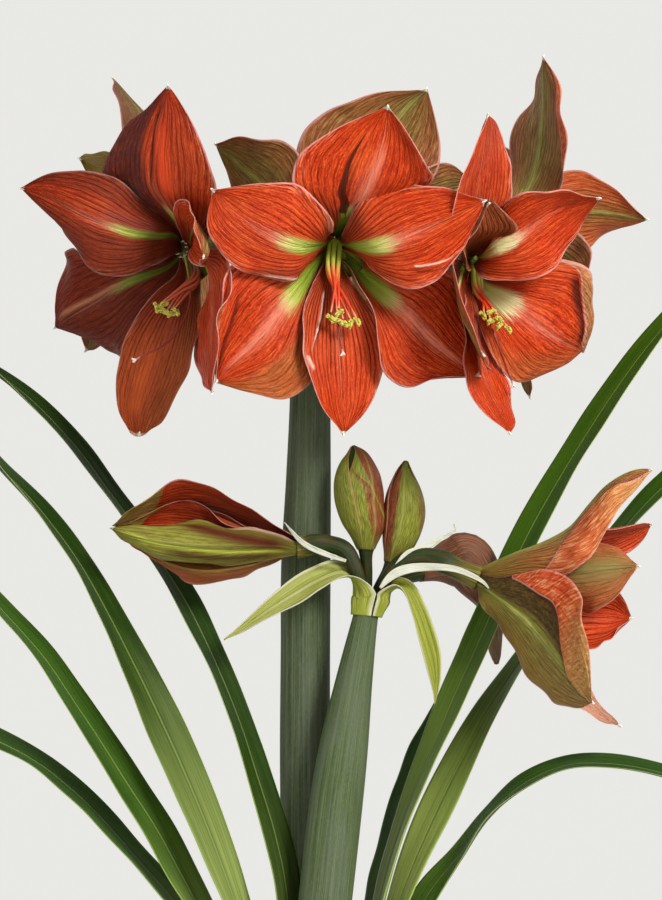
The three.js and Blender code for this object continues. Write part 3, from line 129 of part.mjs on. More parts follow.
      K5: [[[101.6,33.6,706.3],[100.9,33.8,704.3],[101.0,33.6,702.1],[101.8,33.1,700.1],[103.3,32.3,698.7]],[[105.7,46.2,705.1],[106.0,45.2,701.7],[107.1,44.0,698.6],[109.0,42.6,696.0],[111.4,41.0,694.0]],[[109.5,60.6,708.0],[109.3,57.9,701.1],[111.2,55.0,694.5],[115.0,51.9,688.9],[120.3,48.9,684.7]],[[110.7,75.6,709.6],[110.8,71.0,699.5],[113.6,66.3,689.8],[118.8,61.8,681.0],[126.3,57.6,673.8]],[[109.2,90.0,708.7],[110.5,83.6,696.4],[114.2,77.6,684.3],[120.2,71.9,673.0],[128.3,66.9,662.8]],[[105.9,101.8,703.5],[108.8,94.9,690.8],[113.1,88.5,678.4],[118.8,82.5,666.2],[125.8,77.1,654.4]],[[102.9,110.0,693.0],[106.4,104.4,682.5],[110.4,98.9,672.0],[114.8,93.6,661.5],[119.5,88.6,651.1]],[[100.8,115.9,679.3],[103.4,112.3,672.3],[106.0,108.5,665.4],[108.6,104.8,658.4],[111.1,101.2,651.4]],[[99.9,119.1,659.5],[99.9,118.2,659.2],[99.8,117.2,659.0],[99.6,116.3,658.8],[99.5,115.3,659.0]]],
      K6: [[[107.2,31.9,707.4],[105.7,32.8,707.1],[104.6,33.8,706.1],[104.1,34.7,704.6],[104.3,35.3,702.9]],[[112.9,41.0,712.4],[111.0,42.4,711.1],[109.5,43.7,709.3],[108.6,45.1,707.1],[108.3,46.2,704.7]],[[120.3,48.7,719.8],[116.3,51.2,717.1],[113.2,53.8,713.4],[111.3,56.5,709.1],[110.7,59.0,704.2]],[[125.9,56.6,728.7],[120.0,60.0,724.1],[115.5,63.9,718.5],[112.5,67.9,712.1],[111.2,72.0,705.1]],[[128.7,64.6,738.3],[121.9,68.8,731.7],[116.4,73.7,724.4],[112.4,78.9,716.4],[110.0,84.4,707.9]],[[127.5,73.2,746.5],[121.2,78.0,738.8],[115.8,83.1,730.9],[111.2,88.7,722.6],[107.8,94.5,714.1]],[[122.5,82.9,751.9],[118.0,87.3,744.9],[113.6,91.9,737.9],[109.5,96.7,730.9],[105.9,101.6,723.8]],[[115.1,93.0,755.0],[112.6,96.4,750.1],[109.9,99.9,745.2],[107.1,103.4,740.4],[104.4,106.8,735.6]],[[104.2,105.1,752.4],[104.3,106.0,752.6],[104.4,107.0,752.4],[104.7,107.9,752.3],[104.6,108.9,752.1]]],
    },
  },
  hbud: {
    C: [-5.9,-17.0,507.2], A: [-0.997,-0.06,0.05],
    T: {
      H1: [[[-5.6,-21.7,508.8],[-5.6,-22.0,507.2],[-5.6,-21.7,505.5],[-5.8,-20.9,504.0],[-6.0,-19.6,502.9]],[[-17.8,-25.6,515.0],[-18.5,-25.7,511.4],[-18.9,-25.7,507.8],[-19.0,-25.7,504.3],[-18.8,-25.6,500.8]],[[-32.9,-25.4,518.8],[-32.4,-28.7,514.0],[-32.6,-29.4,508.2],[-33.2,-28.0,502.6],[-34.0,-24.8,497.9]],[[-48.0,-23.5,518.8],[-46.5,-31.3,516.1],[-46.5,-33.4,508.0],[-47.7,-29.7,500.5],[-49.2,-22.5,496.6]],[[-61.7,-22.8,522.8],[-60.6,-32.6,518.2],[-60.8,-36.3,508.4],[-62.4,-30.9,499.6],[-64.0,-20.8,497.1]],[[-75.3,-22.8,521.4],[-74.7,-33.8,519.2],[-75.2,-38.5,509.4],[-77.0,-32.4,500.6],[-78.2,-21.5,498.9]],[[-89.0,-25.9,519.5],[-88.7,-35.5,519.2],[-89.7,-40.0,511.4],[-91.2,-34.5,504.1],[-92.0,-25.3,501.8]],[[-102.6,-32.3,518.8],[-102.9,-38.6,519.8],[-104.0,-41.0,514.4],[-104.9,-36.9,509.8],[-104.9,-30.7,508.2]],[[-118.1,-41.0,518.5],[-117.9,-41.9,518.9],[-117.9,-40.9,518.9],[-117.7,-39.9,518.7],[-117.7,-38.9,518.8]]],
      H2: [[[-8.9,-17.0,505.9],[-8.9,-18.0,504.7],[-9.0,-18.0,503.9],[-9.2,-16.5,503.8],[-9.4,-15.0,504.5]],[[-22.5,-15.0,505.1],[-22.1,-18.0,502.6],[-21.9,-20.0,500.6],[-21.8,-18.1,498.9],[-21.6,-16.1,497.4]],[[-35.7,-14.0,504.4],[-34.9,-18.0,500.0],[-34.7,-22.0,496.8],[-34.8,-18.1,494.0],[-34.9,-13.9,491.4]],[[-48.2,-13.0,503.9],[-47.9,-17.0,497.9],[-48.0,-22.0,493.9],[-48.3,-17.8,490.2],[-48.7,-11.5,486.2]],[[-60.9,-12.0,503.7],[-61.2,-16.0,497.3],[-61.5,-22.0,493.0],[-62.1,-17.3,488.9],[-62.9,-9.2,484.2]],[[-74.1,-12.0,504.2],[-74.9,-16.0,498.6],[-75.2,-21.0,494.8],[-75.6,-17.1,491.2],[-76.5,-8.1,487.4]],[[-87.2,-12.0,506.1],[-88.0,-15.0,502.0],[-88.3,-19.0,499.2],[-88.1,-17.5,497.1],[-86.8,-9.2,497.1]],[[-99.9,-12.0,509.5],[-100.3,-14.0,507.3],[-100.4,-17.0,505.9],[-99.9,-18.7,504.6],[-99.3,-12.7,503.9]],[[-111.6,-25.2,513.6],[-111.4,-24.2,513.6],[-111.6,-23.2,513.8],[-111.3,-22.3,513.4],[-111.3,-21.3,513.3]]],
      H3: [[[-6.4,-12.0,507.6],[-6.1,-12.7,509.7],[-5.9,-14.1,511.3],[-5.8,-16.1,512.1],[-5.8,-18.3,512.0]],[[-21.0,-10.1,509.7],[-20.1,-11.0,513.3],[-19.4,-13.0,516.3],[-19.0,-15.8,518.5],[-19.2,-19.3,519.0]],[[-35.9,-4.1,511.1],[-33.8,-6.7,517.5],[-32.6,-11.6,522.7],[-32.0,-17.9,526.4],[-31.7,-24.9,528.3]],[[-49.6,3.6,512.3],[-47.6,-1.9,521.3],[-46.2,-10.2,528.4],[-45.6,-19.9,533.5],[-46.0,-30.5,535.1]],[[-63.3,9.9,513.5],[-61.9,1.4,523.8],[-60.8,-9.6,532.0],[-60.0,-21.5,538.8],[-59.4,-34.2,543.4]],[[-77.3,11.4,514.4],[-76.5,1.5,524.4],[-75.7,-10.4,532.7],[-74.9,-22.7,540.2],[-74.5,-35.1,547.5]],[[-91.0,6.2,515.3],[-90.8,-2.3,523.6],[-90.4,-12.4,530.4],[-89.6,-23.0,536.4],[-88.9,-33.9,541.5]],[[-104.8,-1.6,516.8],[-104.6,-8.3,521.7],[-104.4,-15.4,525.8],[-103.7,-22.6,529.6],[-102.3,-30.3,532.1]],[[-118.0,-17.0,520.0],[-117.7,-18.0,519.9],[-117.7,-19.0,519.8],[-117.3,-19.8,520.1],[-117.2,-20.8,520.1]]],
      H4: [[[-9.2,-13.9,505.9],[-9.1,-13.6,507.2],[-9.0,-13.8,508.6],[-9.0,-14.5,509.8],[-8.9,-15.6,510.6]],[[-22.3,-11.8,507.1],[-22.0,-11.5,509.2],[-21.9,-12.2,511.2],[-22.1,-13.9,512.3],[-22.6,-15.9,512.6]],[[-35.9,-12.7,506.5],[-35.3,-10.3,509.9],[-34.7,-10.5,514.0],[-35.1,-13.9,516.3],[-36.7,-17.5,514.6]],[[-49.2,-15.0,506.7],[-48.5,-10.0,510.6],[-47.7,-8.9,516.6],[-47.6,-12.8,521.4],[-49.8,-18.5,520.6]],[[-62.1,-17.9,507.5],[-61.7,-10.9,511.3],[-60.9,-8.3,518.7],[-60.3,-11.4,526.0],[-60.3,-18.0,530.2]],[[-74.8,-19.1,508.8],[-74.6,-11.5,512.5],[-74.0,-8.4,520.2],[-73.6,-10.7,528.2],[-73.3,-16.3,534.4]],[[-87.6,-17.8,511.0],[-87.4,-11.2,514.1],[-87.2,-8.1,520.6],[-87.1,-10.0,527.5],[-87.0,-15.0,532.7]],[[-100.3,-13.5,513.5],[-100.3,-8.8,515.1],[-100.5,-7.3,519.8],[-100.5,-9.3,524.3],[-99.7,-13.6,526.6]],[[-113.9,-7.8,518.1],[-113.8,-6.9,517.8],[-113.6,-7.9,517.8],[-113.3,-8.8,518.0],[-113.1,-9.8,517.9]]],
      H5: [[[-6.4,-14.7,502.7],[-6.3,-13.4,503.7],[-6.3,-12.5,505.1],[-6.2,-12.0,506.7],[-6.2,-12.1,508.3]],[[-20.5,-15.4,502.9],[-20.3,-13.1,504.2],[-20.1,-11.6,506.3],[-20.0,-11.0,508.9],[-19.8,-11.5,511.5]],[[-34.9,-19.8,502.5],[-34.5,-14.5,503.6],[-34.0,-10.8,507.6],[-33.6,-10.2,513.1],[-33.3,-12.8,517.8]],[[-49.2,-23.8,501.2],[-48.7,-15.7,502.9],[-47.9,-10.1,508.9],[-47.2,-9.1,517.1],[-46.7,-13.1,524.3]],[[-63.3,-26.7,500.7],[-62.8,-16.6,502.7],[-61.8,-9.5,510.2],[-60.8,-8.2,520.4],[-60.2,-13.1,529.5]],[[-77.2,-27.2,501.8],[-76.7,-16.5,503.8],[-75.7,-9.0,511.6],[-74.6,-7.5,522.3],[-73.9,-12.5,531.9]],[[-90.7,-24.2,505.0],[-90.4,-15.1,506.5],[-89.6,-8.6,513.0],[-88.6,-7.0,522.1],[-88.0,-11.1,530.3]],[[-104.2,-18.5,508.5],[-104.0,-12.6,510.3],[-103.4,-8.1,514.6],[-102.8,-6.4,520.5],[-102.3,-7.8,526.4]],[[-117.2,-9.6,516.6],[-117.2,-8.6,516.5],[-117.2,-7.7,516.5],[-117.3,-6.7,516.5],[-117.2,-5.7,516.6]]],
      H6: [[[-9.1,-18.3,503.9],[-9.1,-17.0,503.7],[-9.1,-15.7,504.1],[-9.2,-14.6,504.9],[-9.2,-13.9,506.0]],[[-22.4,-18.1,505.1],[-22.3,-16.1,504.7],[-22.2,-14.2,505.2],[-22.1,-12.6,506.4],[-22.0,-11.6,508.2]],[[-35.8,-20.3,507.8],[-35.7,-16.8,505.9],[-35.3,-12.8,506.4],[-34.9,-9.9,509.2],[-34.5,-9.1,513.1]],[[-49.2,-22.8,509.7],[-49.0,-17.4,506.9],[-48.4,-11.5,507.6],[-47.7,-7.1,511.7],[-47.0,-5.9,517.7]],[[-62.5,-24.5,511.6],[-62.2,-17.8,507.9],[-61.5,-10.2,508.9],[-60.5,-4.6,514.0],[-59.7,-3.1,521.5]],[[-75.6,-24.0,513.1],[-75.3,-16.9,509.2],[-74.5,-8.9,510.1],[-73.5,-3.0,515.5],[-72.6,-1.4,523.4]],[[-88.5,-20.6,514.1],[-88.3,-14.6,510.7],[-87.6,-7.7,511.5],[-86.7,-2.5,516.0],[-85.9,-0.9,522.7]],[[-101.3,-15.9,513.3],[-101.1,-11.2,512.1],[-100.7,-6.4,512.9],[-100.1,-2.3,515.6],[-99.4,0.2,519.7]],[[-113.9,-6.7,514.1],[-113.8,-5.7,514.1],[-113.8,-4.7,514.1],[-113.8,-3.8,514.0],[-113.8,-2.8,514.0]]],
    },
  },
};
// pedicel, ovary and perianth tube of every flower: path of [x, y, z, radius]
const BASES = {
  front: [[0.0,-3.5,661.8,3.6],[2.2,-7.2,675.6,4.1],[14.9,-20.1,687.6,4.3],[14.9,-28.1,687.1,4.8],[14.9,-34.5,686.7,6.6],[14.9,-41.0,686.3,5.4],[14.9,-51.5,685.7,6.4],[14.9,-62.2,685.0,7.6]],
  left: [[-8.3,1.0,661.8,3.6],[-14.1,-1.7,675.8,4.1],[-41.1,-11.6,689.2,4.3],[-47.1,-16.9,688.3,4.8],[-51.9,-21.1,687.5,6.6],[-56.7,-25.4,686.7,5.4],[-64.4,-32.4,685.5,6.4],[-72.4,-39.5,684.2,7.6]],
  right: [[7.5,1.0,661.8,3.6],[17.0,-1.1,674.2,4.1],[65.1,-7.4,677.9,4.3],[71.0,-12.7,677.6,4.8],[75.9,-17.0,677.4,6.6],[80.7,-21.4,677.1,5.4],[88.5,-28.3,676.7,6.4],[96.5,-35.5,676.2,7.6]],
  bcen: [[-0.5,13.5,661.8,3.6],[1.9,14.3,676.3,4.1],[15.7,11.0,691.5,4.3],[15.7,19.0,691.9,4.8],[15.7,24.5,692.2,6.6],[15.7,30.0,692.4,5.4],[15.7,38.8,692.9,6.4],[15.7,48.2,693.3,7.6]],
  bleft: [[-8.5,9.5,661.8,3.6],[-13.2,9.9,677.7,4.1],[-34.3,6.5,701.2,4.3],[-40.1,12.0,701.2,4.8],[-44.8,16.5,701.2,6.6],[-49.6,21.0,701.2,5.4],[-57.2,28.1,701.2,6.4],[-65.0,35.5,701.2,7.6]],
  bright: [[7.7,9.5,661.8,3.6],[18.7,9.3,677.8,4.1],[75.2,2.6,701.4,4.3],[81.0,8.1,701.8,4.8],[85.7,12.5,702.1,6.6],[90.4,17.0,702.4,5.4],[98.0,24.1,702.9,6.4],[105.8,31.5,703.5,7.6]],
  side: [[43.0,-20.5,476.3,3.0],[45.3,-22.0,487.7,3.8],[54.9,-20.0,498.3,4.8],[68.0,-19.0,501.3,5.4],[78.7,-20.0,498.3,6.8],[88.8,-21.0,493.6,6.4],[100.9,-22.4,488.6,7.6]],
  hbud: [[32.2,-20.5,476.3,3.0],[28.7,-20.0,490.6,4.0],[21.5,-18.0,504.8,5.2],[10.8,-17.0,509.0,5.4],[2.5,-17.0,508.4,6.8],[-2.3,-17.0,507.5,6.4],[-7.7,-17.0,507.2,7.0]],
};
// closed buds with their pedicels: path of [x, y, z, radius]
const BUDS = {
  bud_upright_left: [[34.1,-12.0,476.0,2.9],[34.1,-12.5,490.4,3.3],[33.5,-13.0,501.7,3.9],[33.5,-13.0,508.3,6],[33.2,-13.0,519.6,11],[30.5,-13.0,531.6,13.1],[29.3,-13.0,540.5,13.6],[28.4,-13.0,550.7,12.2],[27.5,-13.0,560.8,7.4],[25.7,-13.0,567.4,0.9]],
  bud_upright_right: [[37.6,-16.5,476.2,2.9],[41.8,-14.0,484.4,3.1],[46.6,-12.0,492.7,3.6],[49.0,-11.0,499.3,4.6],[52.3,-11.0,508.2,8.6],[55.0,-11.0,517.8,10.8],[56.5,-11.0,528.0,11.7],[56.5,-11.0,539.3,9.9],[56.5,-11.0,550.7,5.1],[57.4,-11.0,558.4,0.9]],
  bud_nodding: [[43.1,-12.0,476.0,2.8],[47.4,-2.0,483.5,3.4],[55.5,16.0,487.7,4.4],[67.8,30.0,491.6,6.2],[77.7,38.0,495.0,10],[86.4,42.0,496.7,14.5],[95.0,44.0,497.3,16],[102.9,44.0,486.3,13.5],[110.2,42.0,471.7,7.5],[113.1,40.0,456.6,3.6],[112.5,39.0,445.6,3.5],[113.0,38.0,439.6,2.5],[113.4,38.0,434.7,0.8]],
};
// flower stalks: path of [x, y, z, radius]
const SCAPES = {
  scape_tall: [[-3.1,17.0,187.5,14],[-3.1,17.0,232.8,14.6],[-3.1,17.0,293.2,15],[-3.1,16.0,347.1,15],[-3.1,15.0,387.0,15.2],[-2.8,13.0,444.4,15],[-2.5,12.0,495.7,15],[-1.0,10.0,546.9,13.6],[-0.0,8.0,595.1,12.3],[-0.0,6.0,637.2,12],[-0.0,5.0,661.2,12.5]],
  scape_short: [[-0.5,-17.0,192.5,14.2],[1.3,-17.0,219.3,15],[4.3,-17.0,252.1,15.3],[9.3,-17.0,298.6,15.9],[15.0,-17.0,349.8,15.9],[20.3,-17.0,389.2,14.4],[26.6,-17.0,429.1,10.8],[33.2,-17.0,465.5,7.5],[35.5,-17.0,473.2,8.0]],
};
// filaments with anthers (base, two bends, anther foot, anther end) and the style, per flower
const STAMENS = {
  front: {"anth":[[[17.8,-64.6,686.5],[16.7,-77.7,671.4],[14.8,-85.6,658.1],[12.6,-91.7,644.9],[12.0,-94.7,634.4]],[[15.0,-64.7,688.2],[13.8,-77.8,673.1],[15.0,-85.5,658.5],[16.1,-90.7,643.8],[14.3,-93.7,632.7]],[[12.1,-64.6,686.6],[10.9,-77.7,671.5],[15.1,-85.3,656.2],[19.6,-90.2,640.9],[21.3,-93.2,632.7]],[[12.0,-64.4,683.4],[10.9,-77.5,668.2],[17.1,-84.9,654.7],[23.6,-89.3,641.5],[24.8,-92.3,632.1]],[[14.8,-64.3,681.6],[13.7,-77.4,666.5],[20.4,-84.4,654.1],[27.1,-88.9,642.1],[29.4,-91.9,634.5]],[[17.7,-64.4,683.2],[16.6,-77.5,668.1],[17.0,-84.7,657.5],[17.2,-89.9,647.3],[17.8,-92.9,639.1]]],"style":[[14.9,-64.5,684.9],[14.3,-84.1,657.9],[16.7,-89.5,637.4],[19.5,-92.2,621.1]]},
  left: {"anth":[[[-72.3,-43.3,685.4],[-65.1,-51.3,669.0],[-76.4,-52.2,660.0],[-87.9,-53.1,650.8],[-93.7,-56.1,646.6]],[[-74.4,-41.3,687.1],[-67.1,-49.4,670.7],[-76.6,-51.4,659.7],[-86.1,-53.2,648.5],[-89.5,-56.2,642.5]],[[-76.2,-39.0,685.6],[-68.9,-47.1,669.1],[-76.1,-50.6,658.6],[-83.2,-53.9,647.8],[-85.4,-56.9,641.9]],[[-75.9,-38.7,682.3],[-68.7,-46.7,665.9],[-75.1,-50.7,656.5],[-81.4,-54.4,647.2],[-80.7,-57.4,640.1]],[[-73.9,-40.7,680.6],[-66.6,-48.7,664.2],[-72.8,-52.1,656.1],[-79.0,-55.0,648.4],[-77.2,-58.0,642.4]],[[-72.1,-42.9,682.2],[-64.8,-51.0,665.7],[-74.5,-52.3,658.8],[-84.4,-53.4,652.0],[-87.8,-56.4,647.2]]],"style":[[-74.1,-41.0,683.9],[-70.2,-53.8,653.1],[-80.7,-56.6,630.7],[-102.8,-49.5,618.0]]},
  right: {"anth":[[[100.2,-34.9,677.7],[101.3,-42.8,662.1],[102.0,-48.5,654.1],[102.4,-55.2,646.0],[100.6,-58.2,640.1]],[[98.4,-37.0,679.4],[99.4,-44.9,663.8],[102.7,-50.6,653.3],[105.9,-56.0,642.5],[107.0,-59.0,636.0]],[[96.4,-39.1,677.8],[97.5,-47.0,662.2],[104.0,-51.6,653.3],[110.6,-55.9,644.3],[111.7,-58.9,637.1]],[[96.3,-39.1,674.5],[97.3,-47.0,658.9],[104.5,-52.3,649.4],[111.8,-56.3,640.1],[109.9,-59.3,633.6]],[[98.1,-37.0,672.8],[99.1,-44.8,657.2],[107.5,-51.7,647.3],[115.9,-56.3,637.8],[118.1,-59.3,631.8]],[[100.1,-34.8,674.4],[101.1,-42.7,658.8],[104.5,-48.2,653.2],[107.7,-55.1,647.8],[105.3,-58.1,642.4]]],"style":[[98.3,-37.0,676.1],[103.8,-50.9,647.4],[111.9,-54.8,623.7],[119.7,-50.9,603.2]]},
  side: {"anth":[[[104.4,-19.8,488.2],[124.1,-26.1,488.5],[142.1,-30.4,487.8],[160.1,-35.0,487.0],[166.1,-36.3,486.8]],[[104.4,-21.4,491.0],[124.1,-25.4,490.0],[142.1,-28.6,491.4],[160.1,-32.0,493.0],[166.1,-33.0,493.4]],[[104.4,-24.7,491.0],[124.1,-24.4,490.8],[142.1,-26.2,493.2],[160.1,-28.0,496.0],[166.1,-28.6,496.7]],[[104.4,-26.4,488.2],[124.1,-23.4,490.0],[142.1,-23.8,491.4],[160.1,-24.0,493.0],[166.1,-24.2,493.4]],[[104.4,-24.7,485.3],[124.1,-22.6,488.5],[142.1,-22.0,487.8],[160.1,-21.0,487.0],[166.1,-20.9,486.8]],[[104.4,-21.4,485.3],[124.1,-24.4,487.5],[142.1,-26.2,485.4],[160.1,-28.0,483.0],[166.1,-28.6,482.4]]],"style":[[104.4,-23.1,488.2],[134.1,-25.4,487.5],[160.1,-28.0,488.0],[180.1,-30.0,488.4]]},
};
// spathe valves and bracteoles: pairs of edge points along the strip, and the bulge across it
const STRIPS = {
  spathe_left: {"sag":[-9.6,-10.2,-10.8,-9.8,-6,-3.5,-3,-2.5,-2.5,-2,-1,0],"st":[[36.4,-25.4,466.4,31.7,-8.4,465.7],[37.3,-25.8,471.7,32.0,-8.0,471.1],[38.7,-27.0,477.1,33.5,-7.0,477.0],[39.0,-28.0,480.4,31.1,-8.0,483.7],[34.5,-29.5,485.5,27.5,-9.0,490.9],[27.4,-30.0,489.4,21.6,-11.0,497.5],[18.5,-29.0,489.1,13.2,-13.0,499.3],[6.1,-28.0,481.9,0.1,-16.0,494.6],[-5.2,-27.0,474.2,-11.2,-18.0,488.1],[-22.4,-26.0,465.8,-26.1,-21.0,475.7],[-39.7,-25.0,456.9,-41.5,-23.0,460.9],[-51.0,-24.0,452.1,-51.0,-24.0,452.1]]},
  spathe_right: {"sag":[7.8,9.0,9.6,8.4,6,4,3,2.5,2.5,2,1,0],"st":[[37.4,-25.5,466.4,33.1,-8.3,465.7],[38.4,-26.0,471.7,33.5,-7.9,471.1],[39.9,-27.2,477.1,36.5,-7.0,477.0],[40.5,-28.3,480.4,40.7,-7.4,483.0],[44.6,-29.5,483.4,46.7,-8.0,488.4],[51.2,-30.0,485.5,55.0,-11.0,489.1],[56.5,-29.0,480.8,62.7,-15.0,484.5],[60.7,-28.0,468.8,69.2,-20.0,472.1],[65.4,-27.0,450.4,74.5,-22.0,457.9],[69.6,-26.0,435.5,78.0,-23.0,443.1],[73.2,-25.0,421.2,77.4,-24.0,428.3],[74.4,-24.0,414.0,74.4,-24.5,414.0]]},
  bracteole_1: {"sag":[0.4,0.4,0.4,0.4],"st":[[21.8,-25.0,499.8,21.3,-25.0,498.3],[10.2,-26.0,504.6,9.0,-26.0,501.8],[-3.1,-26.0,511.0,-4.9,-26.0,508.6],[-14.9,-25.0,522.6,-15.8,-25.0,521.8]]},
  bracteole_3: {"sag":[0.4,0.4,0.4,0.4,0.4,0.4,0.4],"st":[[48.3,-25.0,490.1,47.0,-25.0,491.3],[58.7,-24.0,500.1,55.7,-24.0,503.8],[67.1,-20.0,504.0,65.2,-20.0,508.1],[76.5,-16.0,509.4,75.2,-16.0,512.1],[83.5,-14.0,513.5,82.5,-14.0,515.0],[87.3,-13.0,517.5,86.0,-13.0,518.1],[86.5,-13.0,520.9,85.6,-13.0,520.7]]},
  bracteole_4: {"sag":[0.4,0.4,0.4,0.4,0.4,0.4,0.4,0.4,0.4],"st":[[42.2,-31.5,482.7,41.1,-31.5,483.7],[47.8,-31.8,487.0,45.0,-31.8,490.1],[53.4,-31.4,490.2,51.2,-31.4,495.2],[61.6,-31.0,492.4,60.8,-31.0,497.7],[74.2,-32.0,493.6,74.3,-32.0,497.8],[85.7,-33.0,492.7,86.4,-33.0,496.3],[94.9,-34.0,489.6,96.1,-34.0,492.3],[102.0,-34.0,486.1,103.2,-34.0,487.5],[107.0,-33.0,481.2,107.7,-33.0,481.8]]},
};
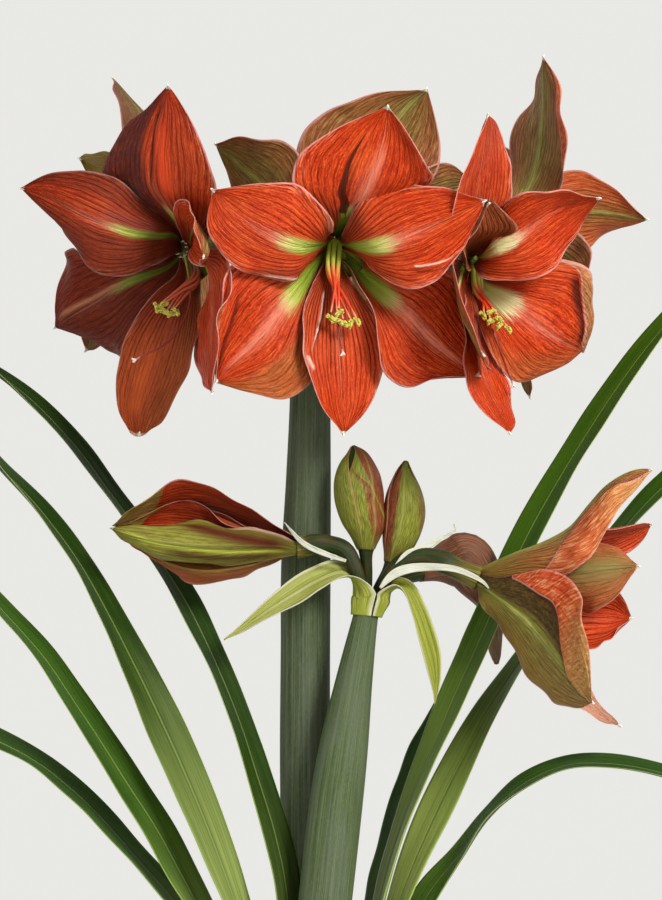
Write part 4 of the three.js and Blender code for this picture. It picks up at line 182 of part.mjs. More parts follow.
// leaves: pairs of edge points from the bulb neck to the tip, and the channel depth across
const LEAVES = {
  leaf_left_1: {"sag":-2.5,"st":[[-18.9,-20.5,193.0,-18.7,4.5,189.4],[-18.5,-21.2,229.2,-13.5,3.3,226.5],[-18.3,-20.9,265.2,-6.8,1.1,263.6],[-20.2,-18.2,301.0,-5.3,1.6,300.8],[-27.7,-16.0,336.1,-12.4,3.3,337.3],[-38.4,-12.2,373.1,-24.7,8.2,375.1],[-49.1,-7.7,407.5,-37.2,13.7,410.1],[-63.3,-2.7,440.7,-51.9,18.7,444.5],[-80.2,2.4,472.8,-68.2,23.1,478.3],[-98.9,5.1,504.1,-89.8,27.4,509.1],[-121.1,5.5,536.2,-114.5,28.6,541.2],[-143.2,6.4,565.2,-137.0,29.2,571.5],[-167.8,6.4,592.1,-163.3,25.0,598.3],[-194.6,5.3,616.8,-194.2,20.5,619.0],[-228.9,10.0,636.1,-228.9,10.0,636.1]]},
  leaf_left_2: {"sag":-2.5,"st":[[-23.2,-17.5,192.5,-22.9,9.5,188.6],[-26.6,-18.7,228.4,-22.4,7.9,225.8],[-36.8,-19.3,262.7,-27.3,5.6,262.6],[-51.6,-19.2,295.4,-37.1,2.6,298.5],[-66.3,-18.5,328.1,-47.8,-0.9,334.1],[-82.0,-18.2,363.1,-61.5,-4.1,371.3],[-96.6,-19.5,396.0,-76.3,-5.6,405.0],[-109.6,-23.6,429.5,-93.6,-4.4,437.3],[-123.5,-27.5,462.6,-111.7,-5.1,469.4],[-138.9,-30.8,494.8,-130.9,-6.4,500.7],[-160.3,-33.5,526.4,-154.8,-8.2,531.9],[-182.5,-36.3,554.2,-181.1,-10.0,557.3],[-206.2,-36.1,580.8,-205.0,-14.7,584.7],[-232.9,-35.7,604.4,-231.9,-19.8,608.8],[-266.7,-30.0,623.1,-266.7,-30.0,623.1]]},
  leaf_left_3: {"sag":-2.5,"st":[[-28.0,-13.5,191.9,-27.8,13.5,188.1],[-33.1,-13.3,222.4,-29.6,13.3,220.2],[-46.4,-12.8,250.5,-39.1,12.8,251.0],[-63.5,-12.0,276.6,-52.9,11.7,280.3],[-80.7,-11.4,302.7,-66.5,9.1,309.8],[-97.0,-11.9,331.9,-82.4,7.7,340.6],[-113.4,-13.1,358.6,-99.9,7.0,367.7],[-129.0,-14.9,385.7,-117.8,6.9,394.5],[-145.2,-17.0,412.4,-136.1,5.8,421.0],[-162.0,-19.0,438.7,-154.9,4.7,447.2],[-182.6,-21.3,464.9,-178.8,3.9,471.9],[-204.0,-22.9,487.4,-201.6,2.3,494.5],[-227.8,-21.8,507.6,-225.7,-1.9,515.4],[-254.1,-20.9,524.3,-253.3,-6.0,530.9],[-286.3,-15.0,535.2,-286.3,-15.0,535.2]]},
  leaf_left_4: {"sag":-2.5,"st":[[-32.2,-11.0,191.6,-32.1,15.0,187.8],[-37.7,-9.7,219.3,-34.3,16.0,217.6],[-49.7,-8.2,245.3,-44.3,16.8,246.0],[-65.4,-6.7,269.2,-58.8,17.5,272.5],[-84.0,-4.8,291.0,-75.8,17.9,297.5],[-104.0,-3.9,314.5,-97.8,19.4,321.4],[-123.5,-2.4,335.6,-117.4,20.1,344.4],[-143.9,-1.2,355.9,-138.9,21.2,365.8],[-165.9,0.0,374.5,-163.5,23.4,383.5],[-191.6,1.9,387.7,-190.4,25.0,397.7],[-221.0,3.8,397.6,-221.0,26.4,409.0],[-249.6,5.7,402.2,-251.1,28.0,413.7],[-278.9,9.4,403.2,-281.4,27.8,412.6],[-308.2,12.8,400.9,-311.0,27.8,405.6],[-338.9,22.0,390.7,-338.9,22.0,390.7]]},
  leaf_right_1: {"sag":-2.5,"st":[[18.0,17.0,187.5,18.6,-9.0,191.3],[19.3,20.5,207.2,21.5,-5.4,210.4],[22.1,23.9,226.8,27.0,-1.6,229.1],[25.2,27.0,246.5,32.5,2.1,247.8],[28.6,29.5,266.3,37.9,5.4,266.7],[32.4,32.0,287.4,43.2,8.6,287.1],[35.9,34.5,307.2,48.0,11.8,306.3],[41.4,37.2,326.6,53.9,14.8,325.2],[46.3,37.3,346.4,59.3,15.3,344.5],[53.0,37.5,365.6,66.2,15.6,363.3],[60.6,37.7,386.0,74.0,16.0,383.3],[71.2,38.5,403.4,82.4,15.7,401.6],[80.4,36.7,421.6,90.0,18.2,420.1],[88.4,35.0,440.4,94.6,20.4,439.5],[96.9,28.0,460.7,96.9,28.0,460.7]]},
  leaf_right_2: {"sag":-2.5,"st":[[22.9,13.0,188.1,23.3,-13.0,191.9],[26.2,10.8,227.3,29.1,-15.0,229.9],[32.8,8.4,266.0,37.7,-17.0,267.3],[39.7,7.1,304.6,45.9,-18.0,304.7],[50.2,9.7,341.9,57.6,-14.9,340.7],[63.7,11.8,381.3,74.2,-11.2,377.9],[77.3,13.5,417.8,90.8,-7.3,412.2],[93.0,16.1,453.5,106.9,-4.1,446.8],[109.1,19.0,489.1,122.6,-1.3,481.7],[126.1,21.6,524.3,139.8,1.8,516.1],[148.2,24.7,560.2,159.0,2.9,552.6],[169.1,23.7,593.2,179.3,2.0,585.2],[192.0,20.5,624.8,200.6,3.3,617.2],[217.8,17.8,654.0,223.3,4.1,648.3],[248.1,10.0,681.8,248.1,10.0,681.8]]},
  leaf_right_3: {"sag":-2.5,"st":[[30.1,9.5,188.6,30.5,-17.5,192.5],[32.3,9.3,221.9,36.0,-17.3,224.3],[37.3,8.7,254.9,45.5,-16.7,255.2],[44.1,8.6,287.6,55.3,-15.5,285.9],[53.4,10.2,319.4,68.0,-11.3,315.1],[66.2,11.2,352.7,84.1,-6.7,345.5],[81.6,18.6,381.9,97.8,-0.7,374.7],[99.5,32.6,409.5,111.7,10.0,403.6],[120.2,43.1,435.9,127.1,17.7,432.2],[140.5,44.6,462.9,146.4,19.1,458.7],[162.5,46.0,491.7,168.1,20.6,486.4],[183.4,45.0,518.3,188.9,20.1,511.7],[205.1,39.1,543.7,211.6,20.3,535.5],[230.5,33.2,565.4,236.3,20.5,557.0],[261.5,24.0,582.0,261.5,24.0,582.0]]},
  leaf_right_4: {"sag":-2.5,"st":[[37.3,12.5,188.2,37.7,-12.5,191.8],[39.6,11.2,217.8,42.6,-13.6,219.4],[45.2,8.5,247.0,51.3,-15.3,246.2],[53.1,3.2,276.0,62.6,-18.8,272.1],[64.1,-0.7,303.4,75.3,-21.1,297.1],[85.5,-0.7,326.5,90.5,-24.4,323.1],[103.8,-2.1,349.5,105.5,-26.5,346.6],[124.3,-4.4,370.4,127.4,-27.6,363.7],[151.0,-5.3,381.6,152.4,-29.0,375.9],[180.1,-6.5,383.4,179.9,-30.0,376.6],[210.8,-7.6,377.7,209.0,-31.3,371.7],[238.2,-8.9,367.8,234.7,-32.2,361.5],[264.0,-12.4,354.9,259.6,-31.0,348.7],[287.6,-15.8,338.5,283.5,-30.0,334.4],[309.2,-24.0,317.7,309.2,-24.0,317.7]]},
};

// ---------------------------------------------------------------- solid helpers
const V = (a) => new THREE.Vector3(a[0], a[1], a[2]);

// Catmull-Rom weights over n stations, straight-line extension past both ends
function weights(n, t) {
  const i = Math.min(Math.floor(t), n - 2), f = t - i;
  const c = [-0.5 * f + f * f - 0.5 * f ** 3, 1 - 2.5 * f * f + 1.5 * f ** 3,
    0.5 * f + 2 * f * f - 1.5 * f ** 3, -0.5 * f * f + 0.5 * f ** 3];
  const w = new Array(n).fill(0);
  for (let k = 0; k < 4; k++) {
    const a = i - 1 + k;
    if (a < 0) { w[0] += 2 * c[k]; w[1] -= c[k]; }
    else if (a > n - 1) { w[n - 1] += 2 * c[k]; w[n - 2] -= c[k]; }
    else w[a] += c[k];
  }
  return w;
}

// evenly spaced grid of points on the smooth surface through a control net
function surface(net, nu, nv) {
  const n = net.length, m = net[0].length, out = [];
  for (let a = 0; a <= nu; a++) {
    const wu = weights(n, (a / nu) * (n - 1)), row = [];
    for (let b = 0; b <= nv; b++) {
      const wv = weights(m, (b / nv) * (m - 1)), p = new THREE.Vector3();
      for (let i = 0; i < n; i++) {
        if (wu[i] === 0) continue;
        for (let j = 0; j < m; j++) if (wv[j] !== 0) p.addScaledVector(V(net[i][j]), wu[i] * wv[j]);
      }
      row.push(p);
    }
    out.push(row);
  }
  return out;
}

function toSolid(verts, tris) {
  const vp = new Float32Array(verts.length * 3);
  verts.forEach((p, i) => { vp[3 * i] = p.x; vp[3 * i + 1] = p.y; vp[3 * i + 2] = p.z; });
  let vol = 0;
  for (const [a, b, c] of tris) vol += verts[a].dot(new THREE.Vector3().crossVectors(verts[b], verts[c]));
  const tv = new Uint32Array(tris.length * 3);
  tris.forEach(([a, b, c], i) => tv.set(vol > 0 ? [a, b, c] : [a, c, b], 3 * i));
  return new wasm.Manifold(new wasm.Mesh({ numProp: 3, vertProperties: vp, triVerts: tv }));
}

// thin closed shell around a grid: thickness th, every side pushed out by grow
function shell(grid, th, grow = 0) {
  const nu = grid.length - 1, nv = grid[0].length - 1, verts = [], tris = [];
  const P = grid.map((r) => r.map((p) => p.clone()));
  if (grow > 0) {
    for (let j = 0; j <= nv; j++) {
      P[0][j].addScaledVector(grid[0][j].clone().sub(grid[1][j]).normalize(), grow);
      P[nu][j].addScaledVector(grid[nu][j].clone().sub(grid[nu - 1][j]).normalize(), grow);
    }
    for (let i = 0; i <= nu; i++) {
      P[i][0].addScaledVector(grid[i][0].clone().sub(grid[i][1]).normalize(), grow);
      P[i][nv].addScaledVector(grid[i][nv].clone().sub(grid[i][nv - 1]).normalize(), grow);
    }
  }
  const N = P.map((r, i) => r.map((p, j) => {
    const du = grid[Math.min(i + 1, nu)][j].clone().sub(grid[Math.max(i - 1, 0)][j]);
    const dv = grid[i][Math.min(j + 1, nv)].clone().sub(grid[i][Math.max(j - 1, 0)]);
    return du.cross(dv).normalize();
  }));
  const half = (i) => (typeof th === 'function' ? th(i / nu) : th) / 2 + grow;
  const id = (s, i, j) => s * (nu + 1) * (nv + 1) + i * (nv + 1) + j;
  for (let s = 0; s < 2; s++) for (let i = 0; i <= nu; i++) for (let j = 0; j <= nv; j++)
    verts.push(P[i][j].clone().addScaledVector(N[i][j], (s ? -1 : 1) * half(i)));
  for (let i = 0; i < nu; i++) for (let j = 0; j < nv; j++) {
    const d1 = P[i][j].distanceTo(P[i + 1][j + 1]), d2 = P[i + 1][j].distanceTo(P[i][j + 1]);
    for (let s = 0; s < 2; s++) {
      const q = [id(s, i, j), id(s, i + 1, j), id(s, i + 1, j + 1), id(s, i, j + 1)];
      const t = d1 <= d2 ? [[q[0], q[1], q[2]], [q[0], q[2], q[3]]] : [[q[0], q[1], q[3]], [q[1], q[2], q[3]]];
      for (const x of t) tris.push(s ? [x[0], x[2], x[1]] : x);
    }
  }
  const rim = [];
  for (let i = 0; i < nu; i++) rim.push([i, 0]);
  for (let j = 0; j < nv; j++) rim.push([nu, j]);
  for (let i = nu; i > 0; i--) rim.push([i, nv]);
  for (let j = nv; j > 0; j--) rim.push([0, j]);
  for (let k = 0; k < rim.length; k++) {
    const a = rim[k], b = rim[(k + 1) % rim.length];
    const a0 = id(0, a[0], a[1]), b0 = id(0, b[0], b[1]), a1 = id(1, a[0], a[1]), b1 = id(1, b[0], b[1]);
    tris.push([a0, a1, b1], [a0, b1, b0]);
  }
  return toSolid(verts, tris);
}

// round solid along a path of [x, y, z, radius]
function sweep(path, sides, grow = 0, flat = 1) {
  const pts = path.map(V), n = pts.length, verts = [], tris = [];
  if (grow > 0) {
    pts[0].addScaledVector(V(path[0]).sub(V(path[1])).normalize(), grow);
    pts[n - 1].addScaledVector(V(path[n - 1]).sub(V(path[n - 2])).normalize(), grow);
  }
  let x = null;
  for (let i = 0; i < n; i++) {
    const t = V(path[Math.min(i + 1, n - 1)]).sub(V(path[Math.max(i - 1, 0)])).normalize();
    if (!x) x = Math.abs(t.y) < 0.9 ? new THREE.Vector3(0, 1, 0) : new THREE.Vector3(1, 0, 0);
    x = x.clone().addScaledVector(t, -x.dot(t)).normalize();
    const y = new THREE.Vector3().crossVectors(t, x), r = path[i][3] + grow;
    for (let k = 0; k < sides; k++) {
      const a = (2 * Math.PI * k) / sides;
      verts.push(pts[i].clone().addScaledVector(x, r * flat * Math.cos(a)).addScaledVector(y, r * Math.sin(a)));
    }
  }
  const c0 = verts.push(pts[0].clone()) - 1, c1 = verts.push(pts[n - 1].clone()) - 1;
  for (let i = 0; i < n - 1; i++) for (let k = 0; k < sides; k++) {
    const a = i * sides + k, b = i * sides + ((k + 1) % sides), c = a + sides, d = b + sides;
    tris.push([a, b, d], [a, d, c]);
  }
  for (let k = 0; k < sides; k++) {
    tris.push([c0, (k + 1) % sides, k]);
    tris.push([c1, (n - 1) * sides + k, (n - 1) * sides + ((k + 1) % sides)]);
  }
  return toSolid(verts, tris);
}

// turned solid: profile [[r, z] ...] starts and ends on the axis
function turned(profile, sides, grow = 0, cx = 0, cy = 0) {
  const verts = [], tris = [], ring = [];
  profile.forEach(([r, z], i) => {
    const first = i === 0, last = i === profile.length - 1;
    if (first || last) { ring.push([verts.push(new THREE.Vector3(cx, cy, z + (first ? -grow : grow))) - 1]); return; }
    const ids = [];
    for (let k = 0; k < sides; k++) {
      const a = (2 * Math.PI * k) / sides;
      const zz = i === 1 ? z - grow : i === profile.length - 2 ? z + grow : z;
      ids.push(verts.push(new THREE.Vector3(cx + (r + grow) * Math.cos(a), cy + (r + grow) * Math.sin(a), zz)) - 1);
    }
    ring.push(ids);
  });
  for (let i = 0; i < ring.length - 1; i++) {
    const A = ring[i], B = ring[i + 1];
    for (let k = 0; k < sides; k++) {
      const k2 = (k + 1) % sides;
      if (A.length === 1) tris.push([A[0], B[k2], B[k]]);
      else if (B.length === 1) tris.push([A[k], A[k2], B[0]]);
      else tris.push([A[k], A[k2], B[k2]], [A[k], B[k2], B[k]]);
    }
  }
  return toSolid(verts, tris);
}

// the largest connected skin of a solid: drops loose crumbs and any closed pocket inside
function largest(m) {
  const q = m.getMesh(), n = q.vertProperties.length / 3, root = Array.from({ length: n }, (_, i) => i);
  const find = (a) => { while (root[a] !== a) { root[a] = root[root[a]]; a = root[a]; } return a; };
  if (q.mergeFromVert) for (let i = 0; i < q.mergeFromVert.length; i++) root[find(q.mergeFromVert[i])] = find(q.mergeToVert[i]);
  const T = q.triVerts;
  for (let i = 0; i < T.length; i += 3) { root[find(T[i + 1])] = find(T[i]); root[find(T[i + 2])] = find(T[i]); }
  const P = (i) => new THREE.Vector3(q.vertProperties[3 * i], q.vertProperties[3 * i + 1], q.vertProperties[3 * i + 2]);
  const vol = new Map(), tri = new Map();
  for (let i = 0; i < T.length; i += 3) {
    const r = find(T[i]);
    vol.set(r, (vol.get(r) || 0) + P(T[i]).dot(new THREE.Vector3().crossVectors(P(T[i + 1]), P(T[i + 2]))) / 6);
    if (!tri.has(r)) tri.set(r, []);
    tri.get(r).push([T[i], T[i + 1], T[i + 2]]);
  }
  if (vol.size <= 1) return m;
  let best = null;
  for (const [r, v] of vol) if (best === null || v > vol.get(best)) best = r;
  const map = new Map(), verts = [];
  const use = (i) => { const k = find2(i); if (!map.has(k)) map.set(k, verts.push(P(k)) - 1); return map.get(k); };
  const to = new Map();
  if (q.mergeFromVert) for (let i = 0; i < q.mergeFromVert.length; i++) to.set(q.mergeFromVert[i], q.mergeToVert[i]);
  const find2 = (i) => (to.has(i) ? to.get(i) : i);
  return toSolid(verts, tri.get(best).map((t) => t.map(use)));
}

// the same solid with its corners on a fine lattice and without collapsed slivers
function tidy(m) {
  const q = m.simplify(0.02).getMesh(), key = new Map(), verts = [], id = [];
  const r = (x) => Math.round(x * 200) / 200;
  for (let i = 0; i < q.vertProperties.length; i += 3) {
    const p = [r(q.vertProperties[i]), r(q.vertProperties[i + 1]), r(q.vertProperties[i + 2])], k = p.join();
    if (!key.has(k)) key.set(k, verts.push(V(p)) - 1);
    id.push(key.get(k));
  }
  const seen = new Map();
  for (let i = 0; i < q.triVerts.length; i += 3) {
    const t = [id[q.triVerts[i]], id[q.triVerts[i + 1]], id[q.triVerts[i + 2]]];
    if (t[0] === t[1] || t[1] === t[2] || t[0] === t[2]) continue;
    const k = [...t].sort((a, b) => a - b).join();
    if (seen.has(k)) seen.delete(k); else seen.set(k, t);
  }
  try { return largest(toSolid(verts, [...seen.values()])); } catch (e) { return m; }
}

// ---------------------------------------------------------------- placing with clearances
const group = new THREE.Group();
group.name = 'potted_amaryllis';
const placed = [];

function boxesMeet(a, b) {
  for (let k = 0; k < 3; k++) if (a.min[k] > b.max[k] || b.min[k] > a.max[k]) return false;
  return true;
}

// make(grow) returns the solid with every side pushed out by grow; whatever already
// stands there keeps its room plus the clearance, and the new piece is trimmed to it
function place(name, make, look) {
  let m = make(0);
  const whole = m.volume();
  const before = m.boundingBox();
  for (const o of placed) {
    if (boxesMeet(before, o.big.boundingBox())) m = m.subtract(o.big);
  }
  m = m.simplify(0.08);
  for (const o of placed) if (boxesMeet(before, o.solid.boundingBox()) && m.intersect(o.solid).volume() > 0.0005) m = m.subtract(o.make(2.2 * GAP));
  m = tidy(largest(m));
  const out = m.getMesh();
  const g = new THREE.BufferGeometry();
  g.setAttribute('position', new THREE.BufferAttribute(new Float32Array(out.vertProperties), 3));
  g.setIndex(new THREE.BufferAttribute(new Uint32Array(out.triVerts), 1));
  g.computeVertexNormals();
  const mat = new THREE.MeshStandardMaterial({ color: look[0], roughness: look[1], metalness: 0, side: THREE.FrontSide });
  mat.name = look[2];
  const mesh = new THREE.Mesh(g, mat);
  mesh.name = name;
  mesh.userData.kept = m.volume() / whole;
  group.add(mesh);
  placed.push({ name, make, solid: m, big: make(GAP) });
}

const TEPAL_IN = [0xcf4a26, 0.5, 'tepal'];
const OLIVE = [0x8a7040, 0.55, 'tepal_back'];
const GREEN = [0x4f6b2a, 0.5, 'pedicel'];
const STEM = [0x6f8468, 0.55, 'scape'];
const LEAF = [0x41691f, 0.45, 'leaf'];
const BUD = [0x9a9440, 0.55, 'bud'];
const VALVE = [0xc3c46a, 0.6, 'spathe'];
const BRACT = [0xdcd8c4, 0.7, 'bracteole'];
const ANTHER = [0xd98a2c, 0.6, 'stamen'];

// ---------------------------------------------------------------- flower stalks (scapes)
place('scape_tall', (g) => sweep(SCAPES.scape_tall, 12, g), STEM);
place('scape_short', (g) => sweep(SCAPES.scape_short, 12, g), STEM);

// ---------------------------------------------------------------- flower bases
const add = (p, d, k) => [p[0] + d[0] * k, p[1] + d[1] * k, p[2] + d[2] * k];
for (const k of ['front', 'left', 'right', 'side'])
  place(`flower_${k}_base`, (g) => sweep(BASES[k], 10, g), GREEN);

// ---------------------------------------------------------------- closed buds of the short stalk
for (const k of Object.keys(BUDS))
  place(k, (g) => sweep(BUDS[k], 10, g), BUD);

// ---------------------------------------------------------------- flowers grown as one node
for (const k of ['hbud', 'bcen', 'bleft', 'bright']) {
  const f = FLOWERS[k];
  const name = { hbud: 'flower_half_open', bcen: 'flower_back_centre', bleft: 'flower_back_left', bright: 'flower_back_right' }[k];
  place(name, (g) => {
    let m = sweep(BASES[k], 8, g);
    if (k === 'hbud') m = m.add(sweep(HALF_OPEN_HEART, 8, g));
    for (const t of Object.keys(f.T)) {
      if (t === 'H5' || t === 'H6') continue; // lie flat on the heart of the half-open flower
      const plain = k === 'hbud' || 'C4 C5 C6 B4 B5 B6 K3 K5 K6'.includes(t);
      m = m.add(shell(surface(f.T[t], 6, plain ? 2 : 4), TEPAL_TH, g));
    }
    return largest(m);
  }, OLIVE);
}

// ---------------------------------------------------------------- stamens with the style
for (const k of ['front', 'left', 'right', 'side']) {
  const s = STAMENS[k];
  place(`flower_${k}_stamens`, (g) => {
    const q = s.style, e = q.length - 1;
    let m = sweep([[...q[0], 1.0], ...q.slice(1, e).map((p) => [...p, 0.9]), [...q[e], 1.0], [...add(q[e], [q[e][0] - q[e - 1][0], q[e][1] - q[e - 1][1], q[e][2] - q[e - 1][2]], 0.08), 1.9]], 4, g);
    const A = FLOWERS[k].A;
    m = m.add(sweep([[...add(q[0], A, -1.2), 4.4], [...add(q[0], A, 0.8), 4.4]], 8, g));
    for (const p of s.anth)
      m = m.add(sweep([[...p[0], 0.9], [...p[1], 0.85], [...p[2], 0.85], [...p[3], 0.8], [...add(p[3], [p[4][0] - p[3][0], p[4][1] - p[3][1], p[4][2] - p[3][2]], 0.35), 1.8], [...p[4], 1.1]], 3, g));
    return largest(m);
  }, ANTHER);
}

// ---------------------------------------------------------------- separate tepals, inner whorl first
for (const k of ['front', 'left', 'right', 'side']) {
  const f = FLOWERS[k];
  const keys = Object.keys(f.T);
  const inner = keys.filter((t) => INNER.includes(t)), outer = keys.filter((t) => !INNER.includes(t));
  for (const t of [...inner, ...outer])
    place(`flower_${k}_tepal_${t.slice(1)}`, (g) => shell(surface(f.T[t], 8, 4), TEPAL_TH, g), TEPAL_IN);
}

// ---------------------------------------------------------------- strips: spathe valves, bracteoles, leaves
function stripNet(d, sagOf) {
  const n = d.st.length, net = [];
  for (let i = 0; i < n; i++) {
    const L = V(d.st[i].slice(0, 3)), R = V(d.st[i].slice(3));
    const a = d.st[Math.max(i - 1, 0)], b = d.st[Math.min(i + 1, n - 1)];
    const t = new THREE.Vector3((b[0] + b[3] - a[0] - a[3]) / 2, (b[1] + b[4] - a[1] - a[4]) / 2, (b[2] + b[5] - a[2] - a[5]) / 2);
    const nn = R.clone().sub(L).cross(t);
    if (nn.length() < 1e-6) nn.set(0, 1, 0);
    nn.normalize();
    const row = [];
    for (let j = 0; j < 5; j++) {
      const s = -1 + j / 2, p = L.clone().lerp(R, (s + 1) / 2).addScaledVector(nn, sagOf(i) * (1 - s * s));
      row.push([p.x, p.y, p.z]);
    }
    net.push(row);
  }
  // a tip that ends in a point keeps a small width, so the solid closes cleanly
  const last = net[n - 1], prev = net[n - 2];
  for (let j = 0; j < 5; j++) for (let c = 0; c < 3; c++)
    last[j][c] = last[2][c] + (prev[j][c] - prev[2][c]) * 0.12;
  return net;
}
for (const k of Object.keys(STRIPS)) {
  const net = stripNet(STRIPS[k], (i) => STRIPS[k].sag[i]);
  const big = k.startsWith('spathe');
  place(k, (g) => shell(surface(net, big ? 10 : 6, big ? 4 : 2), big ? 1.0 : 0.9, g), big ? VALVE : BRACT);
}
const leafTh = (t) => LEAF_TH_BASE + (LEAF_TH_TIP - LEAF_TH_BASE) * Math.min(1, t * 1.6);
for (const k of Object.keys(LEAVES)) {
  const net = stripNet(LEAVES[k], () => LEAVES[k].sag);
  place(k, (g) => shell(surface(net, 14, 2), leafTh, g), LEAF);
}

// ---------------------------------------------------------------- bulb, soil, pot
place('bulb', (g) => turned(BULB_PROFILE, 22, g), [0x8a5a34, 0.75, 'bulb_tunic']);
place('pot', (g) => {
  let m = turned(POT_PROFILE, 32, 0);
  for (let k = 0; k < 4; k++) {
    const a = Math.PI / 4 + (k * Math.PI) / 2;
    m = m.subtract(turned([[0, -1], [DRAIN_R, -1], [DRAIN_R, POT_FLOOR + 1], [0, POT_FLOOR + 1]], 10, 0, DRAIN_AT * Math.cos(a), DRAIN_AT * Math.sin(a)));
  }
  return m;
}, [0xb4623c, 0.85, 'terracotta']);
placed.pop();
place('soil', (g) => turned(SOIL_PROFILE, 32, g), [0x3a2a1e, 0.95, 'soil']);

export default group;
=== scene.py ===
# Potted amaryllis: the looks of every piece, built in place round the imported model.
# Lengths in the tables are millimetres; every object is in metres, +Z up, front towards -Y.
import math
import bpy
import numpy as np
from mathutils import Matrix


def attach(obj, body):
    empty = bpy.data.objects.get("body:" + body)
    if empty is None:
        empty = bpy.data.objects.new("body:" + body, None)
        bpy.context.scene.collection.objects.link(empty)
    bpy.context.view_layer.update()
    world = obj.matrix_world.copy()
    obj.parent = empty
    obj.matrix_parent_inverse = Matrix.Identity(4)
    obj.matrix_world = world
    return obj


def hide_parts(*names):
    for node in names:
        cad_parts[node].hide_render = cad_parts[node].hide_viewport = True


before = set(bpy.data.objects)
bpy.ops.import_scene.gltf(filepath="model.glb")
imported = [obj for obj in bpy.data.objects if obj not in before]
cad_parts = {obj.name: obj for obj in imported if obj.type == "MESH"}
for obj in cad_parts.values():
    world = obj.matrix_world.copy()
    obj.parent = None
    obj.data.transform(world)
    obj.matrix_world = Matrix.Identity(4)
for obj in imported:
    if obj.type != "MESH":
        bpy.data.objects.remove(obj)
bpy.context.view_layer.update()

MM = 0.001

